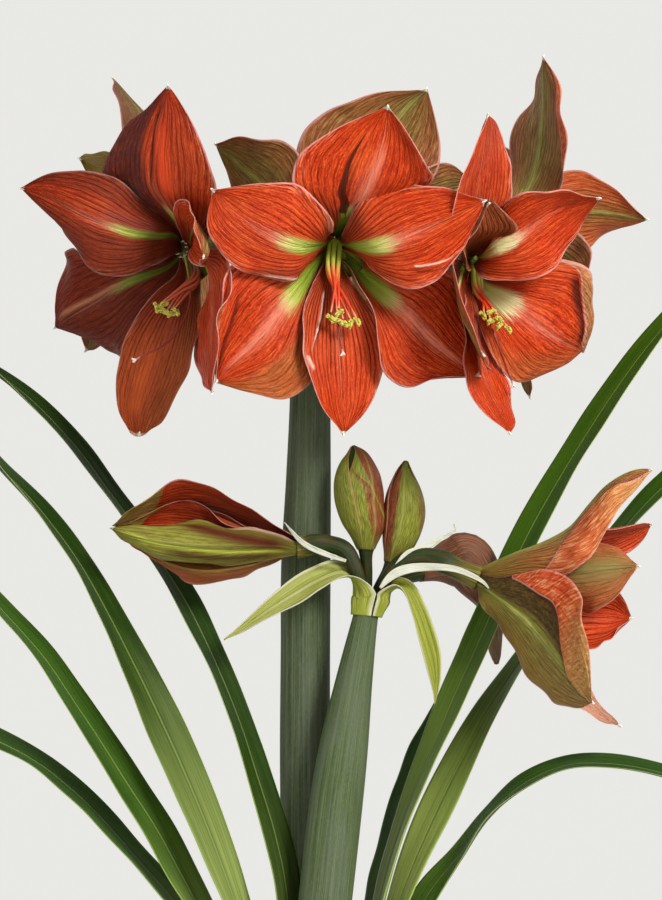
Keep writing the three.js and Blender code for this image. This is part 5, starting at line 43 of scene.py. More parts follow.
# Tepals: nine rows of five points each, millimetres, row one at the throat. C is the throat, A the way the flower faces.
FLOWERS = {
    'front': {
        'C': [14.9,-60,685.2],
        'A': [0,-1,-0.06],
        'T': {
            'T1': [[[10.3,-61.3,687.9],[12.3,-60.6,689.6],[14.9,-60.3,690.2],[17.6,-60.5,689.5],[19.6,-61.2,687.8]],[[10,-75.5,693.2],[14.1,-74.2,694.1],[18.1,-73,695.5],[22.3,-71.7,696.6],[26.3,-70,697.4]],[[5.3,-91.8,697.5],[13.6,-88.6,699],[22.2,-85.7,700.3],[30.7,-82.6,702.2],[38.8,-79.1,704.7]],[[-1.9,-106.1,704.8],[12.3,-102.3,705.2],[26.5,-98.6,704.3],[39.7,-93.9,706.7],[52.2,-88.9,710.6]],[[-9.6,-115.7,716.7],[11.2,-113.1,714.7],[30.8,-110.3,710.9],[48,-105.2,711.4],[64.4,-99.7,714.9]],[[-5.9,-120.1,733.5],[14.8,-119.4,726.8],[35.4,-118.6,721.1],[53.4,-115.8,718.9],[71.6,-112.3,719.6]],[[7.2,-122.9,743.9],[23.5,-122.9,738],[40.3,-123.1,733.6],[54.3,-123.7,730.7],[68.1,-125.5,726.1]],[[22.8,-125.8,752.2],[33.1,-126.1,749.4],[43.7,-126.4,747.4],[52.6,-128.5,745.1],[59.9,-132.5,740.1]],[[45.1,-128.4,761.1],[45.1,-129.4,761.1],[45.1,-130.4,761],[45.3,-131.3,760.6],[45.3,-132.2,760.2]]],
            'T2': [[[11.8,-63.8,682.6],[11.2,-63.2,684.6],[11.8,-63.1,686.8],[13.3,-63.5,688.3],[15.4,-64.2,688.8]],[[4.3,-75.3,679.2],[6.2,-75.9,681.9],[7.5,-76.3,685],[9.7,-77,687.4],[10.7,-77.7,690.6]],[[-1.8,-86.8,670.3],[0.4,-88,676.8],[3.1,-89.3,683.1],[7.7,-91.1,688.1],[12.8,-92.9,692.4]],[[-10.3,-97.5,662],[-7.5,-99.2,672.7],[-2.5,-101.8,682],[4.3,-104.5,690.6],[12.7,-107.1,698.4]],[[-25.4,-103.2,664.4],[-19.4,-107,673.9],[-12.7,-110.9,683.8],[-4.2,-113.4,696.3],[4.4,-115.7,708.2]],[[-39.5,-107.9,668.2],[-32.1,-112,678.7],[-23.9,-116,689.1],[-15,-117.9,702.6],[-6.7,-119.5,717.1]],[[-50.9,-111.7,678.2],[-43.3,-114.6,687.2],[-35.5,-117.7,696],[-27.7,-119.5,706.5],[-21.3,-121.1,717.9]],[[-58.5,-113.9,692.7],[-52,-115.4,698.6],[-46.2,-117.2,704.4],[-40.9,-119,710.5],[-36.2,-121,716.5]],[[-55.6,-113.9,713.8],[-55.3,-114.7,714.2],[-55.1,-115.6,714.6],[-55.5,-116.4,714.5],[-55.5,-117.4,714.2]]],
            'T3': [[[14.5,-64.2,688.8],[16.5,-63.5,688.3],[18.1,-63.1,686.8],[18.7,-63.2,684.6],[18.1,-63.8,682.6]],[[18.6,-77.9,688.8],[20.7,-76.8,686.5],[23,-76,684.1],[25,-75.2,681.5],[26.9,-74.2,678.9]],[[20.2,-92.5,693],[24.9,-90.4,688.1],[29,-88.4,682.7],[32.5,-86.6,676.9],[36.2,-84.6,671.6]],[[25.2,-103.3,702.9],[32.1,-101.3,692.8],[37.5,-99.2,681.8],[42.2,-96.5,672.5],[45.2,-94.6,662.5]],[[35.5,-108.4,713.9],[42.8,-106.7,699.5],[49.4,-104.9,685],[55,-102.7,671.8],[59.6,-101.1,657.7]],[[50.4,-110.7,718],[55.8,-108.9,703.9],[61.9,-107.3,690.1],[67.8,-105.6,676.6],[73.9,-104.1,662.9]],[[65.4,-112.1,717],[70.1,-110,706.4],[75.1,-108.6,695.8],[79.6,-107,685.1],[84,-104.6,674.6]],[[81,-112.7,714.8],[84.9,-110.4,708.7],[88.4,-109.2,702],[91.1,-107.9,695.1],[92.7,-104.9,688.4]],[[100.9,-110.9,708.6],[101.1,-109.9,708.6],[101.6,-109,708.6],[101.2,-108.2,708.1],[101.1,-107.3,707.9]]],
            'T4': [[[16.2,-60.8,679.8],[13.7,-60,680.2],[11.4,-59.8,681.7],[10,-60.2,683.9],[9.7,-61.2,686.4]],[[4.7,-62.6,668.5],[5,-66.3,670.9],[3.9,-68.9,674.3],[3.5,-71.5,677.9],[3.1,-73.9,681.8]],[[0.3,-66.1,651.4],[0.1,-72.3,657.9],[-2,-77.7,664.9],[-5,-82.4,672.2],[-7,-87.9,679.3]],[[-0.7,-71.4,633.8],[-3.4,-79.3,644.5],[-8.6,-86.1,655.4],[-15.6,-91.6,666.6],[-21.3,-97.9,677.7]],[[0.9,-79.4,618.1],[-6.9,-86.8,631.5],[-16.4,-92.8,645.5],[-27.3,-97.7,660.7],[-37.1,-102.8,678.3]],[[1.7,-88.6,605.3],[-12.6,-92.2,619.1],[-24.8,-95.9,634.6],[-36.6,-99.8,650.1],[-48.8,-105,664.9]],[[-12.7,-92.8,594.6],[-23.4,-94.8,610.2],[-34.4,-97,624.2],[-43.5,-100.7,636.6],[-50.8,-107.4,648.3]],[[-30.7,-96.1,597.2],[-37.5,-97.2,606],[-44.8,-98.4,614.6],[-50.3,-101.8,622],[-52.4,-107.6,629.7]],[[-54.1,-98.7,603.8],[-54.2,-99.7,603.8],[-54.3,-100.7,603.7],[-54.1,-101.5,604.4],[-53.8,-102.4,604.7]]],
            'T5': [[[20.1,-61.2,686.5],[19.8,-60.2,684],[18.4,-59.7,681.7],[16.2,-60,680.2],[13.7,-60.9,679.8]],[[31.8,-65.6,679.4],[29.5,-64.4,675.5],[26.7,-63.8,672],[23.9,-66.3,670.1],[23.8,-70.4,671.3]],[[47.3,-70,676.7],[42.1,-66.8,669.3],[35.8,-66,662.1],[30.8,-72,658],[30.6,-81,657.9]],[[64,-69.5,675.2],[55.5,-66.8,664.1],[46.2,-67.4,653.2],[38.8,-75.4,645.5],[37.1,-88.4,642]],[[79.1,-64.5,673.3],[68,-65.5,658],[56.6,-68.3,644.2],[46.5,-76.1,632.8],[41,-89.8,624.9]],[[86.9,-57.9,662],[77.1,-63.7,647.9],[65.9,-68.5,633.9],[54.4,-75.1,621],[42.4,-84.4,610]],[[91.2,-55.1,646.9],[84.5,-62.7,635.6],[75.8,-68.2,624],[66,-73.4,613],[55.9,-79.8,601.4]],[[97.7,-59.8,630.9],[92.7,-64.7,623.2],[87.1,-68.4,615.3],[81.1,-72.5,608.6],[73.4,-77.7,605.5]],[[99.5,-67.8,608.3],[99.5,-68.8,608.2],[99.5,-69.9,608.2],[98.9,-70.7,608.2],[98.4,-71.6,608.4]]],
            'T6': [[[18.5,-63.9,683.3],[17.1,-63.1,682],[14.9,-62.8,681.4],[12.8,-63.1,681.9],[11.3,-63.9,683.3]],[[20.3,-68.8,669.9],[17.3,-70.1,670.2],[14.1,-70.8,670.5],[10.3,-70.9,670.8],[6.6,-71.1,671.5]],[[28.5,-74.6,658.3],[21.7,-75.1,657.7],[14.8,-76,657.8],[7.6,-77.2,658.1],[0.6,-79,658.9]],[[36.9,-77.4,645.5],[26.3,-77.4,644.4],[15.9,-78.8,644.3],[5.9,-81.9,644.5],[-3.5,-86.6,645]],[[42.5,-77.1,631.2],[29.5,-77.6,630.6],[16.8,-80.2,630.3],[5.3,-85.8,630.5],[-4.2,-94.2,631.2]],[[43.5,-75.5,616.9],[30.4,-77.4,616.4],[17.7,-81.3,616.2],[6.4,-88.4,616.4],[-2.4,-98.4,617.3]],[[40.5,-75.3,602.5],[29.1,-78.1,602.3],[18.4,-82.3,602.1],[9.2,-89.2,602.4],[1.8,-98.1,603.1]],[[33.6,-77.5,588.6],[26.1,-80,588.2],[18.9,-83.1,587.9],[12.8,-87.9,588.2],[8.6,-94.5,589.3]],[[19.7,-81.6,574],[19.6,-82.6,573.9],[19.6,-83.6,573.8],[19.5,-84.6,574],[19.5,-85.7,574.1]]],
        },
    },
    'left': {
        'C': [-70.8,-38,684.4],
        'A': [-0.74,-0.66,-0.12],
        'T': {
            'L1': [[[-75,-35.5,686.9],[-73.2,-36.5,688.7],[-71.3,-38.3,689.4],[-69.7,-40.4,688.8],[-68.8,-42.3,687.1]],[[-83.3,-43.4,693.6],[-78.9,-47.2,694.8],[-74.1,-49.7,693.8],[-69,-51.4,690.8],[-63.3,-52,685.5]],[[-94.6,-50,703.4],[-87.4,-56.7,702.2],[-78.3,-61.6,700.4],[-68,-65.4,697.1],[-56.9,-68,691.2]],[[-109.2,-56.3,710.4],[-96.9,-65.4,710.2],[-84.4,-73.4,708.1],[-69.5,-79.7,706.2],[-52.4,-84,702]],[[-120.2,-61.6,721.8],[-104.5,-72.4,721.3],[-90.6,-83.1,718.1],[-72.2,-89.9,717.2],[-53.8,-95.5,715.4]],[[-117.3,-64.3,739.2],[-104.7,-76.8,736.3],[-91.5,-88.4,732.7],[-73.9,-95.7,730.4],[-56.6,-102.9,728.6]],[[-108.9,-67.2,752.1],[-99.7,-79.4,750],[-89.1,-90,747.6],[-76.1,-97.6,745],[-63,-105.1,742.5]],[[-96.1,-73.1,762.8],[-92.2,-82.5,763.2],[-85.7,-90.1,762.2],[-78,-96.3,760.2],[-69.5,-102.1,758.4]],[[-81.9,-87.3,776.2],[-82,-88.3,776.2],[-81.9,-89.3,776.4],[-81.8,-90.3,776.1],[-81.7,-91.3,776]]],
            'L2': [[[-75.5,-38,681.6],[-75.6,-37.4,683.8],[-75.2,-37.9,685.9],[-74.5,-39.3,687.5],[-73.8,-41.3,688]],[[-78.5,-51,680.5],[-79.7,-50.6,685.6],[-80.2,-50,690.9],[-80.3,-49.3,695.3],[-80.1,-48.8,700]],[[-90.3,-59.4,674.3],[-90.8,-59,682.5],[-90.5,-59,690.8],[-90,-59.2,697.7],[-89.9,-59.7,704.3]],[[-105.4,-62.8,667.2],[-104.5,-63.6,679.9],[-102.9,-65,691.9],[-101.1,-67.1,702.1],[-98.6,-69.9,711.6]],[[-123.2,-62.4,667.9],[-118.7,-65.5,681.9],[-115.7,-68.6,695.8],[-112.7,-72.4,708.4],[-108.6,-76.4,720.7]],[[-134.2,-57.7,678.2],[-131.9,-65.1,688.7],[-129.1,-70.2,700.8],[-125.6,-74.5,713.6],[-121.6,-79,726.3]],[[-143.2,-54.6,691.1],[-144.1,-63.6,697.8],[-142.2,-69,707.5],[-139.4,-73.8,717.4],[-136.2,-78.5,727.4]],[[-151.8,-55.9,705.5],[-156.2,-62.3,707.3],[-155.3,-66.6,713.9],[-153.8,-71.1,719.9],[-151.6,-75.1,726.5]],[[-168.1,-62.8,718.1],[-168.6,-63.7,718],[-169.2,-64.5,718.3],[-168.8,-65.5,718.3],[-168.7,-66.5,718.4]]],
            'L3': [[[-71.5,-37.9,678.9],[-72.5,-35.7,680.2],[-73.5,-34.5,682.3],[-74.4,-34.4,684.9],[-75,-35.7,687.2]],[[-79.8,-32.8,667.3],[-81,-30.2,670.6],[-83.6,-30.5,673.9],[-86,-32.6,676.9],[-87.6,-36.6,676.4]],[[-90.2,-30.7,653.6],[-91.5,-25.6,661.2],[-95,-24.5,669.6],[-100.4,-29.6,674.4],[-105.8,-36.6,672]],[[-100.8,-26.8,640.2],[-102.1,-20.2,652.5],[-106.6,-17.8,665.8],[-114.4,-23.9,674.2],[-124.4,-33,673.1]],[[-108.9,-19,627.9],[-111.5,-13.3,644.1],[-117.9,-11.4,660.2],[-126.5,-15.4,673.4],[-136.7,-24,683.1]],[[-113.3,-6.1,621.2],[-120.2,-4.6,637.8],[-128.2,-4.6,653.6],[-136.7,-6.6,669.1],[-145.1,-10.3,684.5]],[[-119.9,7.8,624.2],[-130,5.1,635.6],[-138.4,3.4,648.2],[-144.6,3.2,662],[-147.4,4,676.9]],[[-131.5,18.4,632],[-140.8,15.3,635.7],[-147.3,13.2,643.4],[-151,13.5,652.9],[-152.2,14.9,663]],[[-153.7,26.1,639.3],[-154.2,25.3,639.1],[-154.6,24.4,638.9],[-154.6,23.4,639.2],[-154.3,22.5,639.4]]],
            'L4': [[[-71.1,-43.2,682.1],[-71.5,-41.4,680.9],[-72.7,-39.6,680.5],[-74.3,-38.2,681.1],[-76,-37.8,682.5]],[[-65,-43.5,667.6],[-68.7,-42.8,667.3],[-72.3,-42.1,667.3],[-75.7,-41.9,668],[-79,-42.1,669]],[[-63.9,-48.7,652],[-69.8,-45.4,652.9],[-76.2,-43.1,654.1],[-83.4,-42.3,656.1],[-90.4,-42.5,659]],[[-64.5,-55.1,636.8],[-72.1,-48.6,638.6],[-80.8,-43.6,640.8],[-90.5,-40.9,643.7],[-100.5,-39.7,647]],[[-68.1,-61.7,622.7],[-75.5,-51.6,624.5],[-85.4,-44.1,627.2],[-96.4,-38.9,630.6],[-108.1,-35.2,634.2]],[[-72.3,-63.8,608.8],[-80.1,-53.2,610.6],[-89.9,-44.8,613.5],[-101,-38.3,616.8],[-112.4,-32.7,620.5]],[[-78.3,-61.1,595.3],[-86.1,-52.8,597.3],[-94.5,-45.4,599.7],[-104.2,-39.7,602.8],[-114.5,-34.9,606.1]],[[-86,-56.7,582.1],[-93,-51.8,584],[-99.3,-46.3,586.3],[-105.6,-42.1,587.4],[-112.3,-38.6,587.8]],[[-95.2,-48.3,575.6],[-97.5,-47.9,573.8],[-99.9,-47.5,573],[-102.9,-47.1,573.2],[-105.8,-46.7,575]]],
            'L5': [[[-73.7,-41.2,687.4],[-72.1,-41.9,687],[-71,-42.4,685.7],[-70.8,-42.7,684],[-71.4,-42.6,682.4]],[[-75.5,-52.4,691.1],[-72.6,-51.8,691.6],[-70,-51.3,690.9],[-67.7,-50.8,689.3],[-66,-50.6,687.1]],[[-77.7,-63.6,697.5],[-72.8,-62,696.6],[-68.3,-61.2,694],[-66.4,-61.2,688.9],[-67.8,-61.1,683.6]],[[-79.5,-75.5,703.2],[-72.2,-73.2,700.2],[-67,-71.7,694.4],[-67.3,-71.2,686.3],[-71.2,-70.8,678.9]],[[-76.9,-87,709.6],[-70.2,-84.4,701.8],[-65,-82.1,693.2],[-64.2,-80.3,683.1],[-67,-79,673]],[[-71.5,-98.1,709.1],[-67,-95.1,699.9],[-62.1,-92.1,691],[-59.3,-88.9,681.3],[-60.2,-86.2,671.3]],[[-67.4,-107.7,702.6],[-64.2,-104.8,694.6],[-59.8,-102.1,687.2],[-58.3,-98.9,679],[-63.7,-95.8,672.4]],[[-65.7,-114.7,691.9],[-62.6,-113.3,686.7],[-59.1,-111.7,682],[-58.4,-109.3,676.3],[-63,-107.1,672.3]],[[-60.5,-118.3,676],[-60.3,-119.1,675.6],[-60.1,-119.9,675],[-59.9,-120.9,675.2],[-60.1,-121.8,675.1]]],
            'L6': [[[-68.4,-42.7,686.3],[-67.5,-41.9,683.8],[-67.9,-40.6,681.5],[-69.3,-39.2,679.7],[-71.4,-37.8,679]],[[-64.5,-57.3,683.5],[-63.9,-55,679.8],[-62.9,-52.2,676.6],[-61.1,-48.8,674.4],[-59.2,-45.1,672.8]],[[-61.4,-74.7,682.3],[-59.8,-68.9,675.3],[-58.9,-62.6,668.4],[-58.3,-55.7,662.2],[-58.6,-48.3,656.5]],[[-51.1,-90,681.4],[-54.2,-81.3,669.1],[-56.6,-71.6,658.4],[-60,-61.4,648.9],[-66,-50.8,641.6]],[[-45.6,-103,673.3],[-52,-92.1,659.7],[-56.3,-79.8,647.2],[-61.2,-66.9,635.7],[-67.9,-53.6,626]],[[-45.9,-113,655.7],[-51.7,-101,645.4],[-56.1,-87.7,634.5],[-60.6,-73.8,623.6],[-65.7,-59.5,612.9]],[[-51.7,-119.7,641],[-53.4,-107.8,631.5],[-56.2,-96,622.3],[-59.1,-83.7,613.5],[-61.9,-71.1,604.5]],[[-52.9,-119.6,622.6],[-54.4,-112,615.9],[-56.2,-104.1,609.9],[-57.8,-95.6,604.5],[-58,-86.8,599.3]],[[-55.6,-113.3,598.2],[-55.7,-112.3,598],[-55.7,-111.6,597.2],[-55.7,-110.6,597.2],[-55.3,-109.8,597.4]]],
        },
    },
    'right': {
        'C': [94.9,-34,676.3],
        'A': [0.75,-0.67,-0.04],
        'T': {
            'R1': [[[92.5,-38.4,678.6],[93.2,-36.5,680.4],[94.7,-34.4,681.3],[96.7,-32.7,680.9],[98.8,-31.6,679.4]],[[90.1,-52.6,681],[92.4,-50.2,683.9],[95.2,-47.6,685.9],[98.8,-45.3,686.9],[103,-43.6,687.2]],[[88.9,-70.4,682.1],[91,-64.5,688.7],[96,-59,693.8],[102.9,-54.4,697.5],[110.1,-50.1,700.6]],[[86.9,-87.8,686.3],[90.2,-78.1,695.7],[97,-68.9,703.6],[106.7,-61.1,709.8],[118.8,-54.7,713.9]],[[84.2,-102.9,693.9],[89.7,-90.2,704.5],[97.7,-78.2,714.1],[107.4,-66.6,722.8],[117.5,-55.3,730.4]],[[82.7,-113.4,705.1],[90.5,-100.2,715.1],[98.7,-87.1,724.8],[106.8,-73.8,734.6],[115.1,-60.4,744.2]],[[86.3,-118.5,719.4],[93.6,-107.3,727.4],[100.2,-96,735.6],[105.7,-84.1,744],[110.5,-72,753]],[[94.5,-120.3,735.1],[97.6,-112.5,741.1],[101.7,-104.8,746.5],[105.1,-96.7,751.8],[106.1,-88,757]],[[102.8,-115,757.1],[102.7,-114.1,757.4],[102.7,-113.2,757.8],[102.6,-112.2,758.1],[102.2,-111.3,758.2]]],
            'R2': [[[95.7,-39,673.8],[94.9,-38.9,675.8],[95.1,-38.3,678],[96.3,-37.4,679.5],[98.3,-36.5,680.1]],[[93.4,-48.9,673.2],[92.4,-47.8,676.2],[92.3,-46.6,679.2],[94.7,-45.9,681.3],[97.8,-46,680]],[[94,-60.7,671.1],[90.5,-57.8,675.9],[91.7,-55.2,681.9],[97.8,-54,684.5],[104.6,-53.7,683.5]],[[94.1,-72.9,669.7],[89.2,-68.1,676.9],[92.1,-66.1,685.2],[101.9,-68.6,688.3],[112.7,-78,688.4]],[[93.4,-84.7,669.7],[88.6,-78.1,679.4],[93,-75,689.1],[105.8,-77.9,692.1],[120.9,-90,693]],[[90.8,-94.2,673],[89.2,-86.8,683.9],[93.3,-82.4,693.7],[103.3,-81.5,699],[114.6,-88,701.2]],[[89.7,-100.3,681.4],[92.1,-93.6,690.3],[95.5,-88.3,698.7],[101,-83.7,704.9],[108.3,-86,708.3]],[[95.9,-103.2,690.8],[97.2,-98.7,697.4],[99.3,-93.8,703.4],[102.1,-88.3,708.5],[105.7,-82.2,712]],[[103.4,-102.3,706.8],[103.4,-101.4,707.1],[103.7,-100.5,707.5],[103.8,-99.6,707.8],[103.6,-98.7,707.5]]],
            'R3': [[[97.4,-37.3,680],[98.3,-35.3,679.7],[99.2,-33.9,678.3],[99.8,-33.5,676.2],[100,-34.1,674.1]],[[105.8,-47.4,684.5],[103.6,-47.6,681.7],[101.3,-47.6,679],[99.1,-47.8,676.1],[96.6,-48.3,673.6]],[[111.6,-59.6,692.7],[106.6,-60.2,687.3],[103.8,-60.8,680.5],[102.3,-61.3,673.3],[101.1,-61.8,665.8]],[[110.3,-72.3,702.6],[107.6,-73.1,692.9],[108.5,-73.1,682.9],[112,-71.4,673.2],[115.6,-69.8,663.7]],[[113.4,-86.5,708.5],[115,-84.5,697.3],[119.6,-79,687.6],[125.2,-74.7,676.5],[131.4,-72.1,664.8]],[[122.1,-96.8,713],[126.9,-88.5,703.7],[130.5,-78.8,695.8],[136.8,-73.9,684.1],[144.1,-70.7,672.1]],[[136.4,-97.9,714.9],[139.5,-88,709.5],[142.2,-78.5,703.7],[146.6,-73.1,693.9],[151.5,-68.2,684.3]],[[151.5,-93.7,714.5],[153.5,-86.2,712.5],[155.3,-79.4,708.9],[157.5,-74.7,702.8],[159.5,-69.6,697]],[[168.6,-82.8,711.3],[168.7,-81.8,711.5],[168.9,-80.8,711.5],[169,-79.9,711.8],[168.9,-78.9,712]]],
            'R4': [[[99,-31.3,678.6],[98.5,-30.4,676.1],[97.6,-30.7,673.6],[96.5,-32.3,671.7],[95.4,-34.7,670.9]],[[106.8,-38.9,667.8],[105.2,-36.3,664.9],[102.5,-35.7,661.2],[99.5,-37.6,659],[96,-39,656.8]],[[123,-45.2,668.7],[118.3,-42.5,661.6],[112.5,-42.2,654.2],[106.1,-43.3,647.1],[99.6,-45.2,640.6]],[[138.6,-47.6,677.6],[132.8,-46,661],[123.3,-45.4,646.8],[114.4,-45.3,635.2],[105.7,-46.6,623.8]],[[162.4,-47.3,673.4],[146.3,-44.6,656.8],[133.8,-42.6,639.2],[123.7,-41.2,625.1],[114.4,-41.3,611.1]],[[166.2,-37.6,663.6],[154.8,-37,648.8],[143.6,-35.3,632.6],[132.8,-32.2,618.8],[121.1,-29,606.1]],[[168.6,-25.9,654.6],[160.5,-26,641.4],[152,-24.6,628.4],[142.3,-21.3,617.1],[131.3,-17.3,607.1]],[[169.1,-13.2,643.4],[164.1,-13.4,634.5],[158.7,-12.4,626],[152.4,-10.2,618.4],[145.4,-7.8,611.3]],[[163.8,-1.2,624],[164,-0.2,624],[163.9,0.7,624.4],[163.5,1.6,624.4],[163.4,2.5,624.1]]],
            'R5': [[[95.6,-34.5,670.9],[93.4,-35.8,671.8],[92,-37,673.7],[91.7,-38,676.2],[92.5,-38.5,678.8]],[[94.4,-44,662.6],[91.2,-45.6,665.1],[89.1,-47.5,668.5],[87.5,-49.1,672.3],[85.4,-50.3,676.2]],[[98.3,-48.7,649.1],[91.6,-52.8,654.3],[87.4,-57.3,661.2],[85.2,-62,668.8],[85.4,-66.6,676.6]],[[99.5,-51.7,634.2],[92.3,-59.7,643.2],[87.2,-67.4,653.8],[84.6,-75.2,665],[85.3,-83,676.4]],[[102.5,-57.3,621.4],[94.2,-67.5,633.4],[88.4,-77.6,646.6],[84.7,-87.8,660.2],[84,-98.2,674.3]],[[104.6,-66.8,613.2],[96.6,-77.2,626.1],[90.5,-87.9,639.7],[86,-98.9,653.6],[82.5,-110,667.7]],[[104.7,-79.9,611.3],[98.5,-88.9,621.9],[93.5,-98.2,632.9],[89.4,-107.5,644.3],[86.4,-117,656.2]],[[103.8,-95.5,612],[100.1,-101.8,618.9],[96.9,-108.2,626],[93.9,-114.5,633.4],[90.2,-120.6,640.8]],[[100.2,-116.5,619.3],[100.3,-117,618.5],[100.2,-117.9,618.9],[99.9,-118.7,619.3],[99.7,-119.7,619.3]]],
            'R6': [[[100.1,-34,674.2],[98.5,-34.7,673],[96.8,-36.1,672.7],[95.7,-37.9,673.4],[95.3,-39.4,674.9]],[[98.4,-35.2,659.5],[97.3,-38.3,659.8],[96,-41.4,660.3],[94.3,-44.1,661.3],[92.1,-46.5,662.5]],[[101.4,-33.5,644.5],[98.4,-39.5,645.8],[95.7,-45.6,647.3],[93.1,-51.6,649.2],[91.1,-57.7,651.6]],[[105.8,-32,629.8],[101,-40.8,631.8],[96.6,-49.8,634.2],[92.8,-59,636.8],[90.3,-68.4,640]],[[112.6,-32.7,616.3],[105.2,-43.2,618.4],[98.7,-54.2,621.2],[93.4,-65.6,624.2],[89.9,-77.7,627.6]],[[117.7,-37,603.9],[109.5,-47.8,606.1],[102.1,-59.1,608.6],[95.4,-70.7,611.2],[90.1,-82.8,614.1]],[[119.4,-45.4,592.5],[113,-55.1,594.8],[106.6,-64.8,596.9],[99.7,-74.2,598.4],[92,-83.2,599.6]],[[120,-57,582.4],[116.2,-64,584.2],[111.8,-70.7,585.6],[106.9,-77.2,586.5],[101.6,-83.5,587.3]],[[116.7,-74.8,574],[116.9,-75.7,574.1],[116.8,-76.7,574.3],[116.7,-77.7,574.4],[116.6,-78.6,574.4]]],
        },
    },
    'side': {
        'C': [100.1,-22,488.8],
        'A': [0.96,-0.24,-0.14],
        'T': {
            'S1': [[[101.1,-25,489.5],[100.6,-24.5,491.6],[100,-24,493.7],[100.1,-21,492.4],[100.2,-18,491.1]],[[115,-34,489.2],[113.7,-32.2,495.8],[112.4,-27,499.1],[113,-17.2,496.3],[113.6,-10,490.9]],[[132.2,-48,491.4],[128.4,-42.8,501.3],[124.6,-31,504.5],[126.5,-13.8,501.8],[128.3,-2,493.7]],[[148.6,-60,491.1],[144.2,-52.5,505.8],[139.9,-35,510.5],[142,-11.5,508.1],[144.2,4,497.7]],[[161.5,-69,500.2],[157.7,-58.5,514.5],[153.9,-38,518.9],[157,-11,515.8],[160.1,8,504.8]],[[171.6,-67,514.1],[168.3,-59,528],[165,-41,531.9],[168.8,-13.5,528.4],[172.6,6,516.9]],[[180.8,-60,529.8],[178.4,-56.5,541.8],[176.1,-43,543.8],[179.2,-18.5,542.2],[182.3,-2,532.6]],[[192.5,-52,542.1],[190.7,-50.5,549.3],[189,-44,551.4],[190.4,-30,550.1],[191.8,-20,544.8]],[[201.3,-45,553.2],[201.3,-45,553.5],[201.3,-45,553.8],[201.3,-45,553.5],[201.3,-45,553.2]]],
            'S2': [[[100.1,-20.8,483.9],[99,-23.6,484.3],[98.6,-26,486.3],[99,-26.9,489.2],[100,-26,492]],[[102.1,-30.1,471.9],[105.1,-32.4,475.7],[107.7,-34.1,480.1],[109.8,-35,484.8],[111.9,-34.9,489.5]],[[113.8,-27.5,459.3],[114.2,-36.4,464.7],[117.1,-41.9,473.4],[121.3,-45,483],[126.4,-45.4,492.6]],[[122.3,-25.5,444],[123.1,-38.9,452.7],[126.4,-49,465.4],[132.6,-55.2,479.8],[141.3,-56.7,494.5]],[[130.9,-26.5,428.9],[131.7,-42.8,440.9],[134.6,-56.3,456.3],[141.6,-65.7,473.1],[153.5,-69.4,488.7]],[[142.4,-32.9,417.9],[140.1,-49.7,431.1],[142,-64.3,446.8],[147.8,-76.2,463.3],[157.7,-84.6,479.6]],[[151.2,-46.4,413.9],[148.3,-60.3,424.9],[149.4,-72.9,437.4],[153,-83.9,450.7],[158.6,-93.9,464.2]],[[158.7,-62.9,415],[156.6,-72.7,420.4],[157.2,-81.3,428],[158.9,-88.9,436.5],[161.2,-96.4,445.4]],[[165.3,-87.4,418.8],[165,-88.2,418.5],[164.9,-89.2,418.5],[164.7,-90,419],[164.7,-91,419.1]]],
            'S3': [[[102.3,-25,485.6],[102.1,-26.1,487.6],[102.3,-26,489.8],[102.9,-24.7,491.4],[103.8,-22.8,492]],[[114.7,-29.7,482.8],[114.6,-30,486.5],[114.6,-30,490.3],[114.7,-29.3,493.9],[114.7,-28.3,497.5]],[[129.4,-32,480],[126.7,-35.8,484.8],[125.9,-36.3,491.4],[127,-33.4,497.4],[129.4,-27.6,499.5]],[[143.9,-36.3,477.4],[138.5,-42.6,483],[137.2,-42.9,492.8],[139.5,-37.4,500.9],[143.7,-28.5,503.7]],[[155.7,-44.3,472.2],[149.3,-50.6,481.3],[148.4,-49.6,493.9],[151.9,-42.3,503.8],[157.3,-31.5,508.7]],[[162.6,-56.8,468.3],[159.2,-59.6,481.3],[159.4,-56.9,494.6],[163.3,-49.1,505.1],[169.5,-38.3,511.2]],[[170.3,-68.5,472.7],[169.2,-68,484.4],[170,-64.6,495.5],[173.6,-57.6,503.9],[179.1,-47.9,507.2]],[[180,-76.8,481.1],[179.9,-75.2,489.1],[180.8,-72.2,496.5],[183.2,-67.1,502.1],[186.6,-60,503.2]],[[191.3,-81.2,497.2],[191.4,-80.3,497.5],[191.7,-79.4,497.5],[191.9,-78.4,497.4],[192,-77.5,497]]],
            'S4': [[[103.5,-24.1,491.8],[103.7,-21.9,491.8],[103.9,-20.1,490.6],[103.9,-19.3,488.6],[103.8,-19.8,486.4]],[[116.4,-25.6,496.9],[116.3,-22.3,496.8],[116.6,-19.5,494.9],[117.1,-18.6,491.8],[117.6,-19.5,488.6]],[[129.7,-30.6,502.5],[129.1,-23.9,502.5],[129.5,-18.5,498.6],[130.8,-16.7,492.3],[132.5,-19.2,486.2]],[[143.5,-34.9,508.2],[142.1,-24.9,508.1],[142.5,-16.7,502.2],[144.6,-14,492.7],[147.5,-17.3,483.6]],[[157.4,-37.3,514],[155.3,-24.7,513.4],[155.4,-14.3,505.8],[158,-10.4,493.9],[162,-13.6,482]],[[171.2,-34.8,517.1],[168.7,-21.9,515.9],[169.2,-11.4,511.1],[173,-5.8,504.1],[179.6,-5.8,497.9]],[[183.6,-26.9,519.3],[181.5,-16.5,517.5],[182,-7.9,513.8],[185.1,-1.9,508.6],[190.9,1.2,503.2]],[[195,-16.4,520.6],[193.8,-9.9,519.2],[194.1,-4,517],[195.7,0.9,514.2],[199,4.9,510.9]],[[205.2,-1.5,520.6],[205.2,-0.6,520.7],[205.2,0.4,520.6],[205.2,1.4,520.7],[205.3,2.4,520.5]]],
